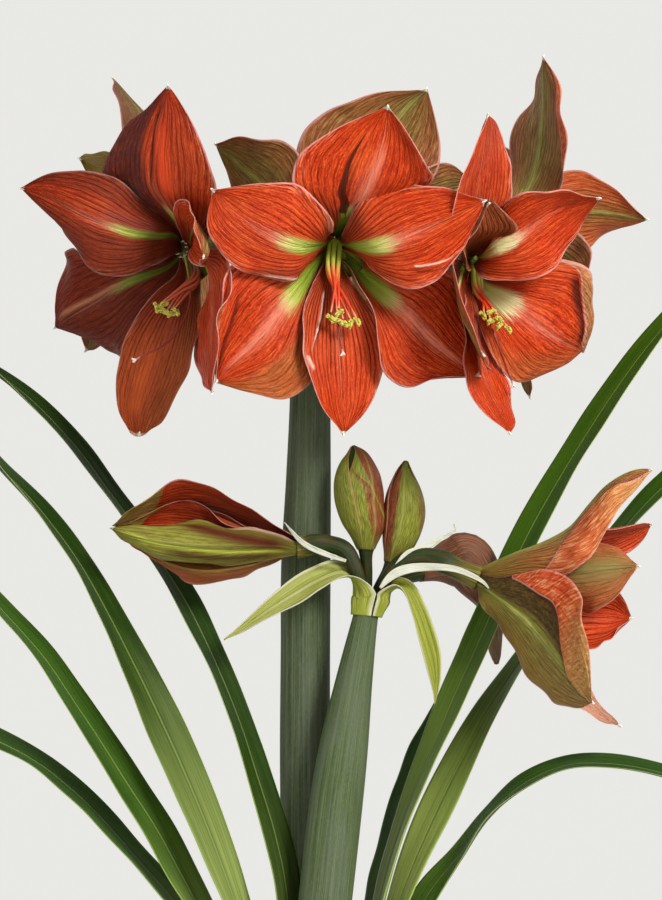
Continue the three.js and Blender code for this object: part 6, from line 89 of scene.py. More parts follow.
            'S5': [[[101.9,-18.5,492],[101.5,-17.2,489.6],[100.9,-17.4,487],[100.3,-19,484.9],[99.8,-21.5,483.8]],[[113.2,-22.7,484.8],[112.9,-18.4,483.9],[111.5,-15.9,480.6],[110.7,-18.5,477.3],[111.6,-22.7,477.2]],[[127.7,-28.9,480.7],[126.1,-19.8,481],[122.7,-14,475.1],[121.2,-19.2,468.2],[123.8,-27.8,468.1]],[[143.1,-33.6,477],[139.5,-20.3,478.7],[134.3,-11.5,470.6],[132.6,-18.7,459.9],[136.3,-31.7,458.3]],[[158.6,-35.2,474.2],[152.8,-18.9,477.2],[146,-8,467.2],[144.9,-16.7,453.5],[148.6,-33,449.3]],[[172.6,-30.9,476.7],[164.8,-14,476.6],[157.7,-3.2,465.1],[157.5,-12.2,450.5],[162,-29.6,446.2]],[[181.7,-18.2,479.5],[174.4,-5,475.3],[169.3,2.8,463.8],[169.6,-4.6,451.3],[172.8,-19.3,448.9]],[[187.3,-2.5,477.5],[183.4,5,472.1],[181.3,8.4,463.1],[181.8,3.1,455.1],[182,-6.8,454.5]],[[194,13.9,463.7],[193.9,12.9,463.4],[194,11.9,463.7],[193.8,10.9,463.6],[193.8,10,464.1]]],
            'S6': [[[103.8,-19.6,486.7],[103.1,-20.7,485.4],[102.5,-22.2,484.9],[102.2,-24,485],[102.2,-25.4,486]],[[116.1,-22,478.4],[113.9,-22.7,476.2],[111.8,-23.8,474.3],[109.5,-25.1,472.7],[106.9,-26,471.3]],[[127.3,-18.5,468],[123.7,-21.2,465.1],[120.5,-24.7,462.7],[117.5,-28.6,460.6],[114.9,-33.1,459.4]],[[137.9,-13.6,457.4],[133.4,-19.1,453.8],[129.5,-25.5,451],[126.2,-32.5,448.8],[123.6,-39.9,447.6]],[[148,-9.4,446.3],[143.4,-17.7,442.6],[139.4,-26.6,439.9],[135.9,-35.8,437.5],[133.2,-45.5,436.1]],[[157.4,-8.4,434.6],[153.6,-18.1,431.8],[150.1,-27.9,429.4],[146.5,-37.6,426.9],[143.4,-47.6,424.9]],[[166.3,-11.9,422.9],[163.8,-20.7,421.3],[161.3,-29.4,419.7],[158.2,-37.7,417.4],[154.5,-45.8,414.5]],[[175,-18.2,411.7],[174.2,-24.6,411.3],[172.9,-30.8,410.4],[170.7,-36.7,409.1],[168.4,-42.7,408]],[[184.2,-30.3,400.9],[184.1,-31.3,401.1],[184.3,-32.3,400.9],[183.9,-33.1,401.2],[183.8,-34.2,401.3]]],
        },
    },
    'bcen': {
        'C': [15.7,46,693.2],
        'A': [0,1,0.05],
        'T': {
            'C1': [[[21,47.2,694],[20.2,46.1,696],[18.2,45.7,697.5],[15.7,46,698.3],[13.2,46.8,698.1]],[[19.9,47.9,716.1],[20.3,49.9,711.1],[20,53.8,708.4],[15.8,55.8,708.8],[11.4,56.4,709.7]],[[36.5,51.6,720.6],[30.4,58,718.6],[23.3,63.8,717.4],[12.2,65,720.4],[0.7,65.7,721]],[[52.9,58.1,723.9],[41.5,65.6,725.1],[28.4,70.1,728.5],[10.5,69.7,734.8],[-9.3,69.1,739.4]],[[66.7,67,728.7],[51.4,72,734],[35.1,72.6,740.7],[15,70.8,749.7],[-5,69.3,760.3]],[[77.1,75.9,734.8],[60.1,75.5,744.6],[42.8,73.2,753.2],[25,70.3,762.2],[8.4,67.8,772.7]],[[80.4,77.6,749.8],[65.4,75.5,757.7],[51.1,72.5,765.8],[37.9,68.7,772.6],[24.8,65.3,779.7]],[[77.7,74.6,766.4],[69.2,72.3,771.8],[60.9,69.7,777.5],[52.8,66.5,781.5],[43.9,63.8,784.7]],[[71.9,66.8,787.6],[71.9,65.8,787.4],[72.1,64.9,787],[71.1,64.6,786.7],[70.4,63.9,786.6]]],
            'C2': [[[16.4,46.8,698.6],[13.9,46,697.9],[11.7,45.8,696.2],[10.5,46.3,693.8],[10.6,47.2,691.2]],[[5.5,52.4,705.3],[4,54.4,701.5],[3.2,56.4,697.6],[2.6,58.1,693.4],[2,59.7,688.7]],[[-0.1,55.8,719.5],[-3.4,60.1,712],[-5.5,64.6,704.2],[-6.4,69.8,696.8],[-5.2,76.3,690.5]],[[-5.6,58.2,734.4],[-10.1,65.1,723.5],[-13.8,72.4,712.3],[-15.2,81.3,702],[-13.7,92,693.4]],[[-8,62.8,748.7],[-16.4,70.4,734.7],[-22,79.6,721],[-24.4,91.2,708.6],[-23.6,105.1,698.3]],[[-20.3,63.9,755.6],[-25.8,75.2,742.9],[-30.6,86.3,729.6],[-33.6,98.7,717.1],[-34.5,112.7,705.9]],[[-34.9,68.4,756.4],[-37,81.1,748.3],[-39.8,92.3,738.4],[-42.4,103.1,727.9],[-44.8,114.4,717.5]],[[-46.3,81.1,758.6],[-47.5,89.8,753.5],[-49.6,97.4,747.1],[-51.4,104.5,740.3],[-51.3,112.2,733.7]],[[-60,99.8,755.5],[-59.9,100.8,755.7],[-59.7,101.8,755.8],[-59.4,102.7,755.5],[-59.1,103.7,755.4]]],
            'C3': [[[17.6,50.2,690],[18.9,49.4,691.6],[19.2,48.9,693.7],[18.4,49.1,695.8],[16.9,49.8,697.2]],[[26.2,60.6,694.2],[27.5,58.3,696.4],[28.2,56.4,699.1],[28,54.8,702.1],[26.9,53.6,705.2]],[[34.7,73.1,694.7],[36.8,68,698.7],[38,63.5,703.7],[38.1,59.7,709.4],[37.3,56.6,715.3]],[[44.4,84.9,694.5],[46.8,77.2,700.8],[48.3,70.3,708.3],[48.7,64.3,716.5],[48.1,59,725.3]],[[55.5,94.7,694.1],[57.5,85.4,703],[58.6,77,712.8],[59.3,69.3,723.2],[59.5,61.9,733.7]],[[67.5,100.8,696.4],[68.4,91.9,706.7],[69,83.7,717.5],[69.6,75.7,728.5],[70.6,67.4,738.9]],[[79.4,103.7,703.1],[79.5,96.6,712.5],[79.5,89.9,722.2],[79.7,83.4,732.1],[79.8,77.1,742.2]],[[91,104.4,712.5],[90.7,100.1,719.4],[90.3,95.8,726.3],[90.1,91.7,733.5],[90,87.9,740.9]],[[101.6,102.9,729.4],[101.6,101.9,729.6],[101.7,100.9,729.6],[101.9,99.9,729.6],[101.8,98.9,729.5]]],
            'C4': [[[18.6,49.6,696],[16.9,49,696.9],[14.9,48.9,696.9],[13.1,49.1,696.1],[11.9,49.7,694.6]],[[21.3,62.2,699.1],[18.5,61.7,700],[15.4,61.6,700.1],[12.5,61.8,699.5],[9.8,62.4,698.2]],[[27.7,74.7,703.1],[21.8,73.9,704.7],[15.7,73.7,704.9],[9.7,74.4,703.6],[4.3,75.7,700.9]],[[33.9,86.4,709.7],[24.9,85.2,711.2],[15.7,85.1,711.1],[6.7,86.2,709.3],[-1.6,88.3,706]],[[38.8,96.6,718.7],[27.1,95.5,719.4],[15.5,95.7,718.7],[4,97,716.7],[-6.9,99.6,713.4]],[[39.6,105,729.3],[27.3,104.6,728.8],[15.1,105.2,727.6],[3,106.5,725.7],[-8.9,108.7,723.2]],[[35.4,112,740.3],[24.9,112.6,738.9],[14.4,113.4,737.5],[4,114.6,736.1],[-6.4,116.1,734.5]],[[27.7,118.3,751],[20.6,119.3,749.6],[13.5,120.3,748.3],[6.4,121.4,747.4],[-0.8,122.4,746.4]],[[12.1,123.6,759.9],[12,124.6,760.1],[12,125.5,760],[12,126.5,759.9],[11.7,127.4,759.8]]],
            'C5': [[[13,47.3,688.6],[15.6,46.6,688.1],[18.2,46.3,688.9],[20.1,46.4,690.8],[21,47.1,693.2]],[[11.9,61,684.8],[16.1,60,685.2],[20.2,59.6,686.9],[23.5,59.7,689.8],[25.8,60.4,693.6]],[[5.8,75.8,678.9],[14.7,73.4,679.7],[23.2,72.3,683.3],[30.2,72.6,689.3],[34.9,74.4,697]],[[1.4,89.8,669.6],[14.6,85.9,672.2],[27.1,84.1,678],[38,84.5,686.7],[46.5,87.2,697.4]],[[0.4,101.3,657.9],[16.4,96.9,663.4],[31.8,94.8,671.4],[46.1,95,681.5],[58.6,97.7,693.4]],[[5,109.7,646.7],[21.3,106.2,654.5],[37.2,104.3,663.5],[52.7,104,673.5],[67.5,105.3,684.3]],[[16.4,115.8,638.9],[29.8,113.9,646.6],[43.1,112.4,654.6],[56.6,111.5,662.6],[69.9,111.1,670.6]],[[32,121.2,634.1],[40.8,120.1,639.5],[49.5,118.9,644.8],[58.5,117.8,649.7],[67.5,116.6,654.6]],[[55.6,125.5,634.2],[55.9,124.5,634.2],[56,123.5,634.1],[56.1,122.5,634],[56.1,121.5,634.2]]],
            'C6': [[[11.8,49.9,693.9],[12.3,49.4,691.8],[13.8,49.2,690.3],[16,49.5,689.7],[18,50.1,690.3]],[[7.4,62.8,692.2],[9.4,62.3,689.5],[12.1,62.1,687.5],[15.2,62.4,686.3],[18.5,63.1,686]],[[0,76.1,692.7],[4.1,74.9,687.4],[9.6,74.5,683.3],[15.9,75.1,680.8],[22.6,76.5,680]],[[-8.9,88.6,691],[-2,86.7,683.7],[6.3,86.1,677.8],[15.7,86.9,673.7],[25.5,89,671.6]],[[-18.1,99.6,686.6],[-8.5,97.4,678.2],[2.4,96.7,671],[14,97.5,665.3],[26.1,99.9,661.2]],[[-24.8,108.6,678.3],[-13.8,106.9,670.3],[-2.2,106.3,663.1],[9.8,106.7,656.6],[22.1,108.3,650.8]],[[-27.4,115.9,666.4],[-17.5,115,660.2],[-7.4,114.5,654.2],[2.7,114.4,648.2],[12.9,114.8,642.3]],[[-27,122.4,652.7],[-20,121.8,648.6],[-13.1,121.2,644.5],[-6.4,120.7,640.1],[0.4,120.2,635.7]],[[-19.6,128.1,634.7],[-19.5,127.2,634.3],[-19.5,126.2,634.2],[-19.5,125.2,634],[-19.3,124.2,634.1]]],
        },
    },
    'bleft': {
        'C': [-63.4,34,701.2],
        'A': [-0.73,0.69,0],
        'T': {
            'B1': [[[-61.1,38.1,704.1],[-61.9,36,705.7],[-63.5,33.9,706.1],[-65.5,32.2,705.4],[-67.4,31.3,703.8]],[[-66.9,47,715],[-67.9,43,716.5],[-70.2,39.4,717],[-72.9,35.9,716.7],[-75.4,32.4,716.4]],[[-69,60.7,725.5],[-72,52.2,727.7],[-76.9,44.3,728.3],[-83,37.4,727.5],[-89.9,31.6,725.3]],[[-70.8,73.7,737.2],[-76.3,61,739.3],[-83.6,48.9,739.8],[-92.7,38.2,738.6],[-103.7,29.6,735.4]],[[-74.1,84.7,749.4],[-81.9,68.8,750.7],[-90.5,53.5,751.2],[-100.2,38.9,751],[-111.1,25.5,749.6]],[[-82.9,91.4,759.8],[-90.1,74.5,761.1],[-97.9,57.9,762.4],[-106.1,41.6,763.5],[-114.5,25.4,764.2]],[[-95.9,91.4,768.4],[-100.4,76.8,771.1],[-105.8,62.4,773.2],[-111.5,48,775],[-117.2,33.5,776.9]],[[-109.2,86.5,778.9],[-110.9,76.7,781.9],[-114,67,783.7],[-117.5,57.2,785],[-120.5,47.4,786.8]],[[-122.2,73.5,794.1],[-121.9,72.5,794.2],[-121.8,71.5,794.3],[-121.7,70.6,794.5],[-121.4,69.6,794.5]]],
            'B2': [[[-65.8,36.9,705],[-66.6,35.1,704.6],[-67.5,33.9,703.3],[-68.3,33.5,701.5],[-68.6,34.2,699.8]],[[-74,47,706.8],[-73.8,44.9,708.9],[-73.1,42.7,710.8],[-72,40.3,712.5],[-70.3,38.4,714.6]],[[-80,59.9,709.2],[-80.3,55.5,713.5],[-80.4,50.9,717.6],[-80.5,46,721.3],[-81.1,41.1,724.7]],[[-87.5,72.1,711.9],[-88.7,65,717.8],[-89.9,57.6,723.3],[-91,50.2,728.8],[-92.1,43.1,734.5]],[[-96.6,82.6,715],[-98.6,73,721.6],[-100.6,63.3,727.9],[-102.5,53.9,734.7],[-104,45.2,742.2]],[[-107.8,89,718.7],[-109.8,78.7,725.2],[-111.8,68.6,731.9],[-114,58.7,738.9],[-116.1,49.2,746.4]],[[-120.6,90.6,723.2],[-121.6,82.3,729.4],[-122.9,74,735.9],[-124.9,65.4,741.9],[-127.4,56.7,747.2]],[[-133.8,89.5,729.7],[-132.7,85.5,735.9],[-133.2,80,740.7],[-135.1,73.8,744],[-137.1,67.5,747.3]],[[-143.4,85,745.1],[-143.3,85.8,745.7],[-143,86.7,746],[-143.1,85.7,746.3],[-143.2,84.8,746.4]]],
            'B3': [[[-67.5,30.7,702.1],[-66.9,30.5,700],[-66.1,31.1,698.1],[-65.1,32.4,696.6],[-64.1,34.3,695.9]],[[-81.7,32,697],[-80,33,694.1],[-78.4,34.7,691.5],[-76.8,36.9,689.3],[-75.3,39.7,687.6]],[[-98.3,30.9,695],[-94.2,32.7,689.1],[-90.5,36.1,683.7],[-87.2,40.8,679],[-84.4,46.7,675.4]],[[-114.2,26.8,691.3],[-107.7,30,682.9],[-101.8,35.2,674.9],[-96.9,42.1,667.6],[-93,50.6,661.4]],[[-128,29.9,685.4],[-119.8,35.1,675.3],[-112.5,42,665.5],[-106.2,50.4,656.1],[-101.2,60.1,647.4]],[[-137,30,675.9],[-128.9,36.8,665.6],[-121.4,44.5,655.4],[-114.8,53.1,645.3],[-108.9,62.4,635.5]],[[-140.6,29.6,662.3],[-134.3,36.2,653.6],[-128.3,43.1,645],[-121.4,50.3,639.5],[-116.8,57.7,633.7]],[[-140.4,26.4,646.2],[-136.7,31.2,640.4],[-133,36.1,634.7],[-130,41.1,629.6],[-128.4,45.9,628.5]],[[-135.8,23.7,625.3],[-135.8,24.7,625.1],[-135.9,25.7,625],[-136,26.6,624.8],[-136.2,27.6,625]]],
            'B4': [[[-68.7,34.2,699.5],[-67.2,34.8,698],[-65.5,36.2,697.6],[-64.2,37.9,698.2],[-63.7,39.4,699.8]],[[-78.5,42.7,694.7],[-75.7,44.5,694.2],[-73.2,46.7,694.6],[-71.1,49.1,695.8],[-69.6,51.3,697.8]],[[-91.5,49.1,690],[-85.7,52.5,689.1],[-80.4,56.8,689.8],[-76,61.4,692.2],[-72.8,66.1,696.1]],[[-103.6,55.1,682.5],[-94.8,60.1,681.9],[-86.7,66.3,683.3],[-80,73.3,686.5],[-74.9,80.7,691.5]],[[-113.3,60.6,672.5],[-102.2,67.3,673],[-92.1,75.2,675.1],[-83.3,84,678.7],[-76.1,93.6,683.8]],[[-117.8,67,661],[-106.6,74.7,662.8],[-96.2,83.2,665.4],[-86.7,92.4,668.8],[-78.2,102.3,673.1]],[[-116.5,75.3,649.6],[-107.6,82.5,652],[-99,90.2,654.6],[-90.7,98.1,657.3],[-82.8,106.2,660.3]],[[-111.6,84.8,639],[-106,90.3,640.9],[-100.3,95.9,642.8],[-94.7,101.6,644.6],[-89.1,107.2,646.5]],[[-100.1,98.5,630.2],[-100.2,99.5,630.3],[-100.2,100.5,630.4],[-100.3,101.5,630.5],[-100.2,102.5,630.7]]],
            'B5': [[[-64.2,34.6,695.8],[-62,35.9,696.6],[-60.5,37.1,698.5],[-60.1,38,701.1],[-60.9,38.3,703.6]],[[-73.2,43.4,689.4],[-69.8,45.7,691.1],[-67.2,47.9,693.9],[-65.8,50,697.5],[-65.7,51.8,701.5]],[[-84.9,50,678.9],[-77.5,54.4,682.4],[-72.2,59.2,688.3],[-69.6,63.9,695.8],[-70,68.1,704]],[[-93.6,57.3,665.8],[-83,63.5,672.5],[-75.4,70.6,681.8],[-71.3,78.1,692.8],[-71.2,85.4,704.6]],[[-97.6,65.3,651.9],[-85.8,73,662.3],[-76.9,81.8,674.4],[-71.3,91.5,687.9],[-69.2,101.5,702]],[[-95.8,74.7,640.7],[-85.4,83.3,653.2],[-76.9,92.7,666.5],[-70.2,102.9,680.3],[-65.7,113.7,694.5]],[[-89,87,635.1],[-81.8,94.9,646.5],[-75.2,103.1,658],[-69.1,111.7,669.5],[-63.6,120.5,681.1]],[[-79.9,101.4,633.7],[-75.8,107,641.4],[-71.8,112.7,649.1],[-67.7,118.5,656.7],[-63.6,124.2,664.4]],[[-66.4,119.5,640.3],[-66.4,120.5,640.2],[-66.5,121.5,640.4],[-66.6,122.4,640.6],[-66.6,123.4,640.7]]],
            'B6': [[[-64.1,39,698.8],[-63.2,38.9,700.8],[-63.4,38.3,703],[-64.7,37.4,704.5],[-66.6,36.4,705.1]],[[-68.2,51.4,699.8],[-68.1,50.4,703],[-69.1,49.2,705.9],[-70.8,47.7,708.4],[-73.3,46.2,710.2]],[[-71.7,65.4,697.3],[-71.5,63,703.7],[-73.3,60.3,709.7],[-76.8,57.4,714.7],[-81.9,54.6,718.4]],[[-73.1,80,695.9],[-73.3,75.9,705.3],[-76,71.7,714.2],[-81.1,67.5,722],[-88.3,63.6,728.2]],[[-72.1,94.3,696.7],[-73.5,88.6,708.2],[-77.3,83,719.3],[-83.3,77.7,729.5],[-91.5,73.1,738.5]],[[-69.7,106.3,701.8],[-72.6,100,713.6],[-77,94.1,725.1],[-82.9,88.5,736.1],[-90,83.5,746.6]],[[-67.6,115.2,711.7],[-71.1,109.9,721.5],[-75.2,104.7,731.2],[-79.8,99.8,740.9],[-84.7,95.2,750.6]],[[-66.2,122.2,724.4],[-69,118.5,731.1],[-71.8,114.8,737.8],[-74.6,111.1,744.5],[-77.3,107.7,751.3]],[[-66.7,125.9,743.8],[-66.9,125,744.1],[-66.6,124,744.2],[-66.4,123.1,744.4],[-66.4,122.1,744.1]]],
        },
    },
    'bright': {
        'C': [104.2,30,703.4],
        'A': [0.73,0.69,0.05],
        'T': {
            'K1': [[[108.3,27,705.5],[106.7,27.6,707.2],[104.9,29,708.2],[103.4,30.9,708.3],[102.4,32.9,707.5]],[[123.3,30.3,710.8],[120.3,33,710.4],[117.5,35.4,712.1],[114.8,37.6,714.3],[112,39.7,716.7]],[[141.5,31.6,709.3],[134.9,35.2,715.1],[128.9,40,719.6],[123.7,45.9,722.8],[119.6,53.1,723.8]],[[150.9,24.2,722.4],[143.5,32.8,727.3],[136,41.9,731.9],[128.7,51.6,735.8],[122.2,62.2,738.2]],[[154.6,15.1,736.6],[147.3,27.8,741.3],[139.7,40.6,746],[131.4,53.4,750.4],[122.5,66.3,754.5]],[[155,9.3,751.2],[148.2,23.4,755.9],[141.4,37.5,760.4],[134.5,51.7,764.7],[128.1,66.3,769]],[[151.8,9.2,766.9],[147.2,21.5,771.1],[142.2,33.7,774.9],[138.1,46.4,778.3],[136.3,59.8,781.1]],[[150.9,14.1,783.9],[145.8,21.5,786.8],[142.1,29.7,789.3],[139.9,38.4,791.5],[139.9,47.6,793.3]],[[141.3,23.5,803],[141.1,24.5,803.2],[141.1,25.5,803.6],[141.2,26.5,803.6],[141.5,27.4,803.8]]],
            'K2': [[[108.8,30.9,700.5],[109,29.8,702.1],[108.8,29.5,704.1],[108.4,30.1,705.9],[107.7,31.5,707.2]],[[116,40.6,693.5],[116.4,40.5,697.4],[116.4,40.6,701.1],[116.1,41.1,704.5],[115.4,41.8,707.8]],[[128.1,49.6,690.8],[127.9,48.2,697],[127.6,47.7,703.4],[126.9,47.8,709.8],[125.7,48.7,716]],[[141.6,56.3,688.3],[140.9,53.5,697.4],[140.1,51.7,706.7],[139.3,50.5,716.1],[138,50.5,725.3]],[[155.7,60.9,686.4],[154.2,56.9,697.7],[153.2,53.5,709.5],[152.2,50.9,721.6],[150.8,49.5,734.2]],[[169.4,64,687.7],[167.4,58.2,699],[166.4,53.2,710.7],[165.8,49.4,722.9],[165.9,46.6,735.7]],[[180.7,65.5,696.7],[180.4,56.8,701.8],[179.8,50.8,710.1],[179.2,46.8,719.6],[178.7,42.6,729]],[[193.7,59.8,703.3],[193.5,52.6,703],[193,47.6,707.8],[192.6,44.6,714.1],[190.6,40.4,719.2]],[[206.1,45.8,706],[206.1,44.9,705.6],[206,43.9,705.4],[205.5,43,705.6],[205.1,42,705.7]]],
            'K3': [[[104.6,31.1,698.1],[105.6,29.2,698.5],[106.7,27.7,699.7],[107.6,26.8,701.4],[108.4,26.7,703.5]],[[115.7,34.3,690.8],[117.1,31.7,692.8],[118.6,29.7,695.2],[120.1,28.1,698],[121.6,27.2,701.1]],[[125.1,39.7,679.8],[127.3,34.1,684.1],[130.1,29.7,689.3],[133.3,26.4,695.2],[136.8,24.7,701.5]],[[133.5,41.8,666.9],[136.4,33.8,674],[140.4,27.2,682.1],[145.4,22,690.7],[151.1,18.7,699.7]],[[140,39.1,653.7],[143.8,30,663.6],[148.9,22,674],[155,15.1,684.5],[162.2,9.7,695.3]],[[144.5,31,643.5],[149.2,22.4,654.4],[154.8,14.3,665.5],[161,6.7,676.5],[167.9,-0.1,687.5]],[[148.1,18.3,638.5],[152.8,11.6,647.9],[157.7,4.8,657.3],[162.7,-1.9,666.6],[168,-8.3,675.9]],[[151.3,3.3,637.6],[154.7,-1.2,643.8],[157.9,-5.8,649.9],[161.1,-10.4,656.1],[164.4,-14.9,662.3]],[[156.4,-15.4,643.7],[156.3,-16.2,643.2],[156.2,-17,643.7],[156.3,-18,643.8],[156.3,-18.9,644]]],
            'K4': [[[104.6,34.6,701.2],[105.2,33.7,700.4],[106,32.7,700],[107,31.8,700],[108.1,31.1,700.3]],[[101.9,38.2,686.7],[104.1,37.6,686.9],[106.1,36.8,686.8],[108,35.9,686.8],[110,35.2,686.8]],[[105.2,47.1,675.2],[106.2,43.4,674],[108.5,40.1,673.4],[111.6,37.4,673.2],[115,35.1,673.3]],[[108.9,55.5,663.4],[110,49.7,661.7],[112.4,44.1,660.5],[115.8,39.1,659.8],[119.9,34.5,659.6]],[[112.7,62.9,651.3],[114.4,55.5,649.4],[117.1,48.4,647.9],[120.7,41.5,646.8],[124.8,34.9,646.1]],[[116.8,67.8,638.5],[119.2,60.1,636.9],[122.1,52.7,635.4],[125.5,45.3,634.2],[129.1,38,633.1]],[[121.7,69.6,625.1],[124.3,63.2,624],[127,56.8,622.9],[129.8,50.5,621.9],[132.5,44,620.8]],[[127,69.6,611.4],[129.3,65.2,610.8],[131.5,60.8,610.1],[133.5,56.3,609.6],[135.6,51.9,609]],[[134.9,66.3,597.1],[134.9,65.3,597.1],[135,64.3,597],[134.9,63.4,596.9],[134.8,62.4,596.6]]],
            'K5': [[[101.6,33.6,706.3],[100.9,33.8,704.3],[101,33.6,702.1],[101.8,33.1,700.1],[103.3,32.3,698.7]],[[105.7,46.2,705.1],[106,45.2,701.7],[107.1,44,698.6],[109,42.6,696],[111.4,41,694]],[[109.5,60.6,708],[109.3,57.9,701.1],[111.2,55,694.5],[115,51.9,688.9],[120.3,48.9,684.7]],[[110.7,75.6,709.6],[110.8,71,699.5],[113.6,66.3,689.8],[118.8,61.8,681],[126.3,57.6,673.8]],[[109.2,90,708.7],[110.5,83.6,696.4],[114.2,77.6,684.3],[120.2,71.9,673],[128.3,66.9,662.8]],[[105.9,101.8,703.5],[108.8,94.9,690.8],[113.1,88.5,678.4],[118.8,82.5,666.2],[125.8,77.1,654.4]],[[102.9,110,693],[106.4,104.4,682.5],[110.4,98.9,672],[114.8,93.6,661.5],[119.5,88.6,651.1]],[[100.8,115.9,679.3],[103.4,112.3,672.3],[106,108.5,665.4],[108.6,104.8,658.4],[111.1,101.2,651.4]],[[99.9,119.1,659.5],[99.9,118.2,659.2],[99.8,117.2,659],[99.6,116.3,658.8],[99.5,115.3,659]]],
            'K6': [[[107.2,31.9,707.4],[105.7,32.8,707.1],[104.6,33.8,706.1],[104.1,34.7,704.6],[104.3,35.3,702.9]],[[112.9,41,712.4],[111,42.4,711.1],[109.5,43.7,709.3],[108.6,45.1,707.1],[108.3,46.2,704.7]],[[120.3,48.7,719.8],[116.3,51.2,717.1],[113.2,53.8,713.4],[111.3,56.5,709.1],[110.7,59,704.2]],[[125.9,56.6,728.7],[120,60,724.1],[115.5,63.9,718.5],[112.5,67.9,712.1],[111.2,72,705.1]],[[128.7,64.6,738.3],[121.9,68.8,731.7],[116.4,73.7,724.4],[112.4,78.9,716.4],[110,84.4,707.9]],[[127.5,73.2,746.5],[121.2,78,738.8],[115.8,83.1,730.9],[111.2,88.7,722.6],[107.8,94.5,714.1]],[[122.5,82.9,751.9],[118,87.3,744.9],[113.6,91.9,737.9],[109.5,96.7,730.9],[105.9,101.6,723.8]],[[115.1,93,755],[112.6,96.4,750.1],[109.9,99.9,745.2],[107.1,103.4,740.4],[104.4,106.8,735.6]],[[104.2,105.1,752.4],[104.3,106,752.6],[104.4,107,752.4],[104.7,107.9,752.3],[104.6,108.9,752.1]]],
        },
    },
    'hbud': {
        'C': [-5.9,-17,507.2],
        'A': [-1,-0.06,0.05],
        'T': {
            'H1': [[[-5.6,-21.7,508.8],[-5.6,-22,507.2],[-5.6,-21.7,505.5],[-5.8,-20.9,504],[-6,-19.6,502.9]],[[-17.8,-25.6,515],[-18.5,-25.7,511.4],[-18.9,-25.7,507.8],[-19,-25.7,504.3],[-18.8,-25.6,500.8]],[[-32.9,-25.4,518.8],[-32.4,-28.7,514],[-32.6,-29.4,508.2],[-33.2,-28,502.6],[-34,-24.8,497.9]],[[-48,-23.5,518.8],[-46.5,-31.3,516.1],[-46.5,-33.4,508],[-47.7,-29.7,500.5],[-49.2,-22.5,496.6]],[[-61.7,-22.8,522.8],[-60.6,-32.6,518.2],[-60.8,-36.3,508.4],[-62.4,-30.9,499.6],[-64,-20.8,497.1]],[[-75.3,-22.8,521.4],[-74.7,-33.8,519.2],[-75.2,-38.5,509.4],[-77,-32.4,500.6],[-78.2,-21.5,498.9]],[[-89,-25.9,519.5],[-88.7,-35.5,519.2],[-89.7,-40,511.4],[-91.2,-34.5,504.1],[-92,-25.3,501.8]],[[-102.6,-32.3,518.8],[-102.9,-38.6,519.8],[-104,-41,514.4],[-104.9,-36.9,509.8],[-104.9,-30.7,508.2]],[[-118.1,-41,518.5],[-117.9,-41.9,518.9],[-117.9,-40.9,518.9],[-117.7,-39.9,518.7],[-117.7,-38.9,518.8]]],
            'H2': [[[-8.9,-17,505.9],[-8.9,-18,504.7],[-9,-18,503.9],[-9.2,-16.5,503.8],[-9.4,-15,504.5]],[[-22.5,-15,505.1],[-22.1,-18,502.6],[-21.9,-20,500.6],[-21.8,-18.1,498.9],[-21.6,-16.1,497.4]],[[-35.7,-14,504.4],[-34.9,-18,500],[-34.7,-22,496.8],[-34.8,-18.1,494],[-34.9,-13.9,491.4]],[[-48.2,-13,503.9],[-47.9,-17,497.9],[-48,-22,493.9],[-48.3,-17.8,490.2],[-48.7,-11.5,486.2]],[[-60.9,-12,503.7],[-61.2,-16,497.3],[-61.5,-22,493],[-62.1,-17.3,488.9],[-62.9,-9.2,484.2]],[[-74.1,-12,504.2],[-74.9,-16,498.6],[-75.2,-21,494.8],[-75.6,-17.1,491.2],[-76.5,-8.1,487.4]],[[-87.2,-12,506.1],[-88,-15,502],[-88.3,-19,499.2],[-88.1,-17.5,497.1],[-86.8,-9.2,497.1]],[[-99.9,-12,509.5],[-100.3,-14,507.3],[-100.4,-17,505.9],[-99.9,-18.7,504.6],[-99.3,-12.7,503.9]],[[-111.6,-25.2,513.6],[-111.4,-24.2,513.6],[-111.6,-23.2,513.8],[-111.3,-22.3,513.4],[-111.3,-21.3,513.3]]],
            'H3': [[[-6.4,-12,507.6],[-6.1,-12.7,509.7],[-5.9,-14.1,511.3],[-5.8,-16.1,512.1],[-5.8,-18.3,512]],[[-21,-10.1,509.7],[-20.1,-11,513.3],[-19.4,-13,516.3],[-19,-15.8,518.5],[-19.2,-19.3,519]],[[-35.9,-4.1,511.1],[-33.8,-6.7,517.5],[-32.6,-11.6,522.7],[-32,-17.9,526.4],[-31.7,-24.9,528.3]],[[-49.6,3.6,512.3],[-47.6,-1.9,521.3],[-46.2,-10.2,528.4],[-45.6,-19.9,533.5],[-46,-30.5,535.1]],[[-63.3,9.9,513.5],[-61.9,1.4,523.8],[-60.8,-9.6,532],[-60,-21.5,538.8],[-59.4,-34.2,543.4]],[[-77.3,11.4,514.4],[-76.5,1.5,524.4],[-75.7,-10.4,532.7],[-74.9,-22.7,540.2],[-74.5,-35.1,547.5]],[[-91,6.2,515.3],[-90.8,-2.3,523.6],[-90.4,-12.4,530.4],[-89.6,-23,536.4],[-88.9,-33.9,541.5]],[[-104.8,-1.6,516.8],[-104.6,-8.3,521.7],[-104.4,-15.4,525.8],[-103.7,-22.6,529.6],[-102.3,-30.3,532.1]],[[-118,-17,520],[-117.7,-18,519.9],[-117.7,-19,519.8],[-117.3,-19.8,520.1],[-117.2,-20.8,520.1]]],
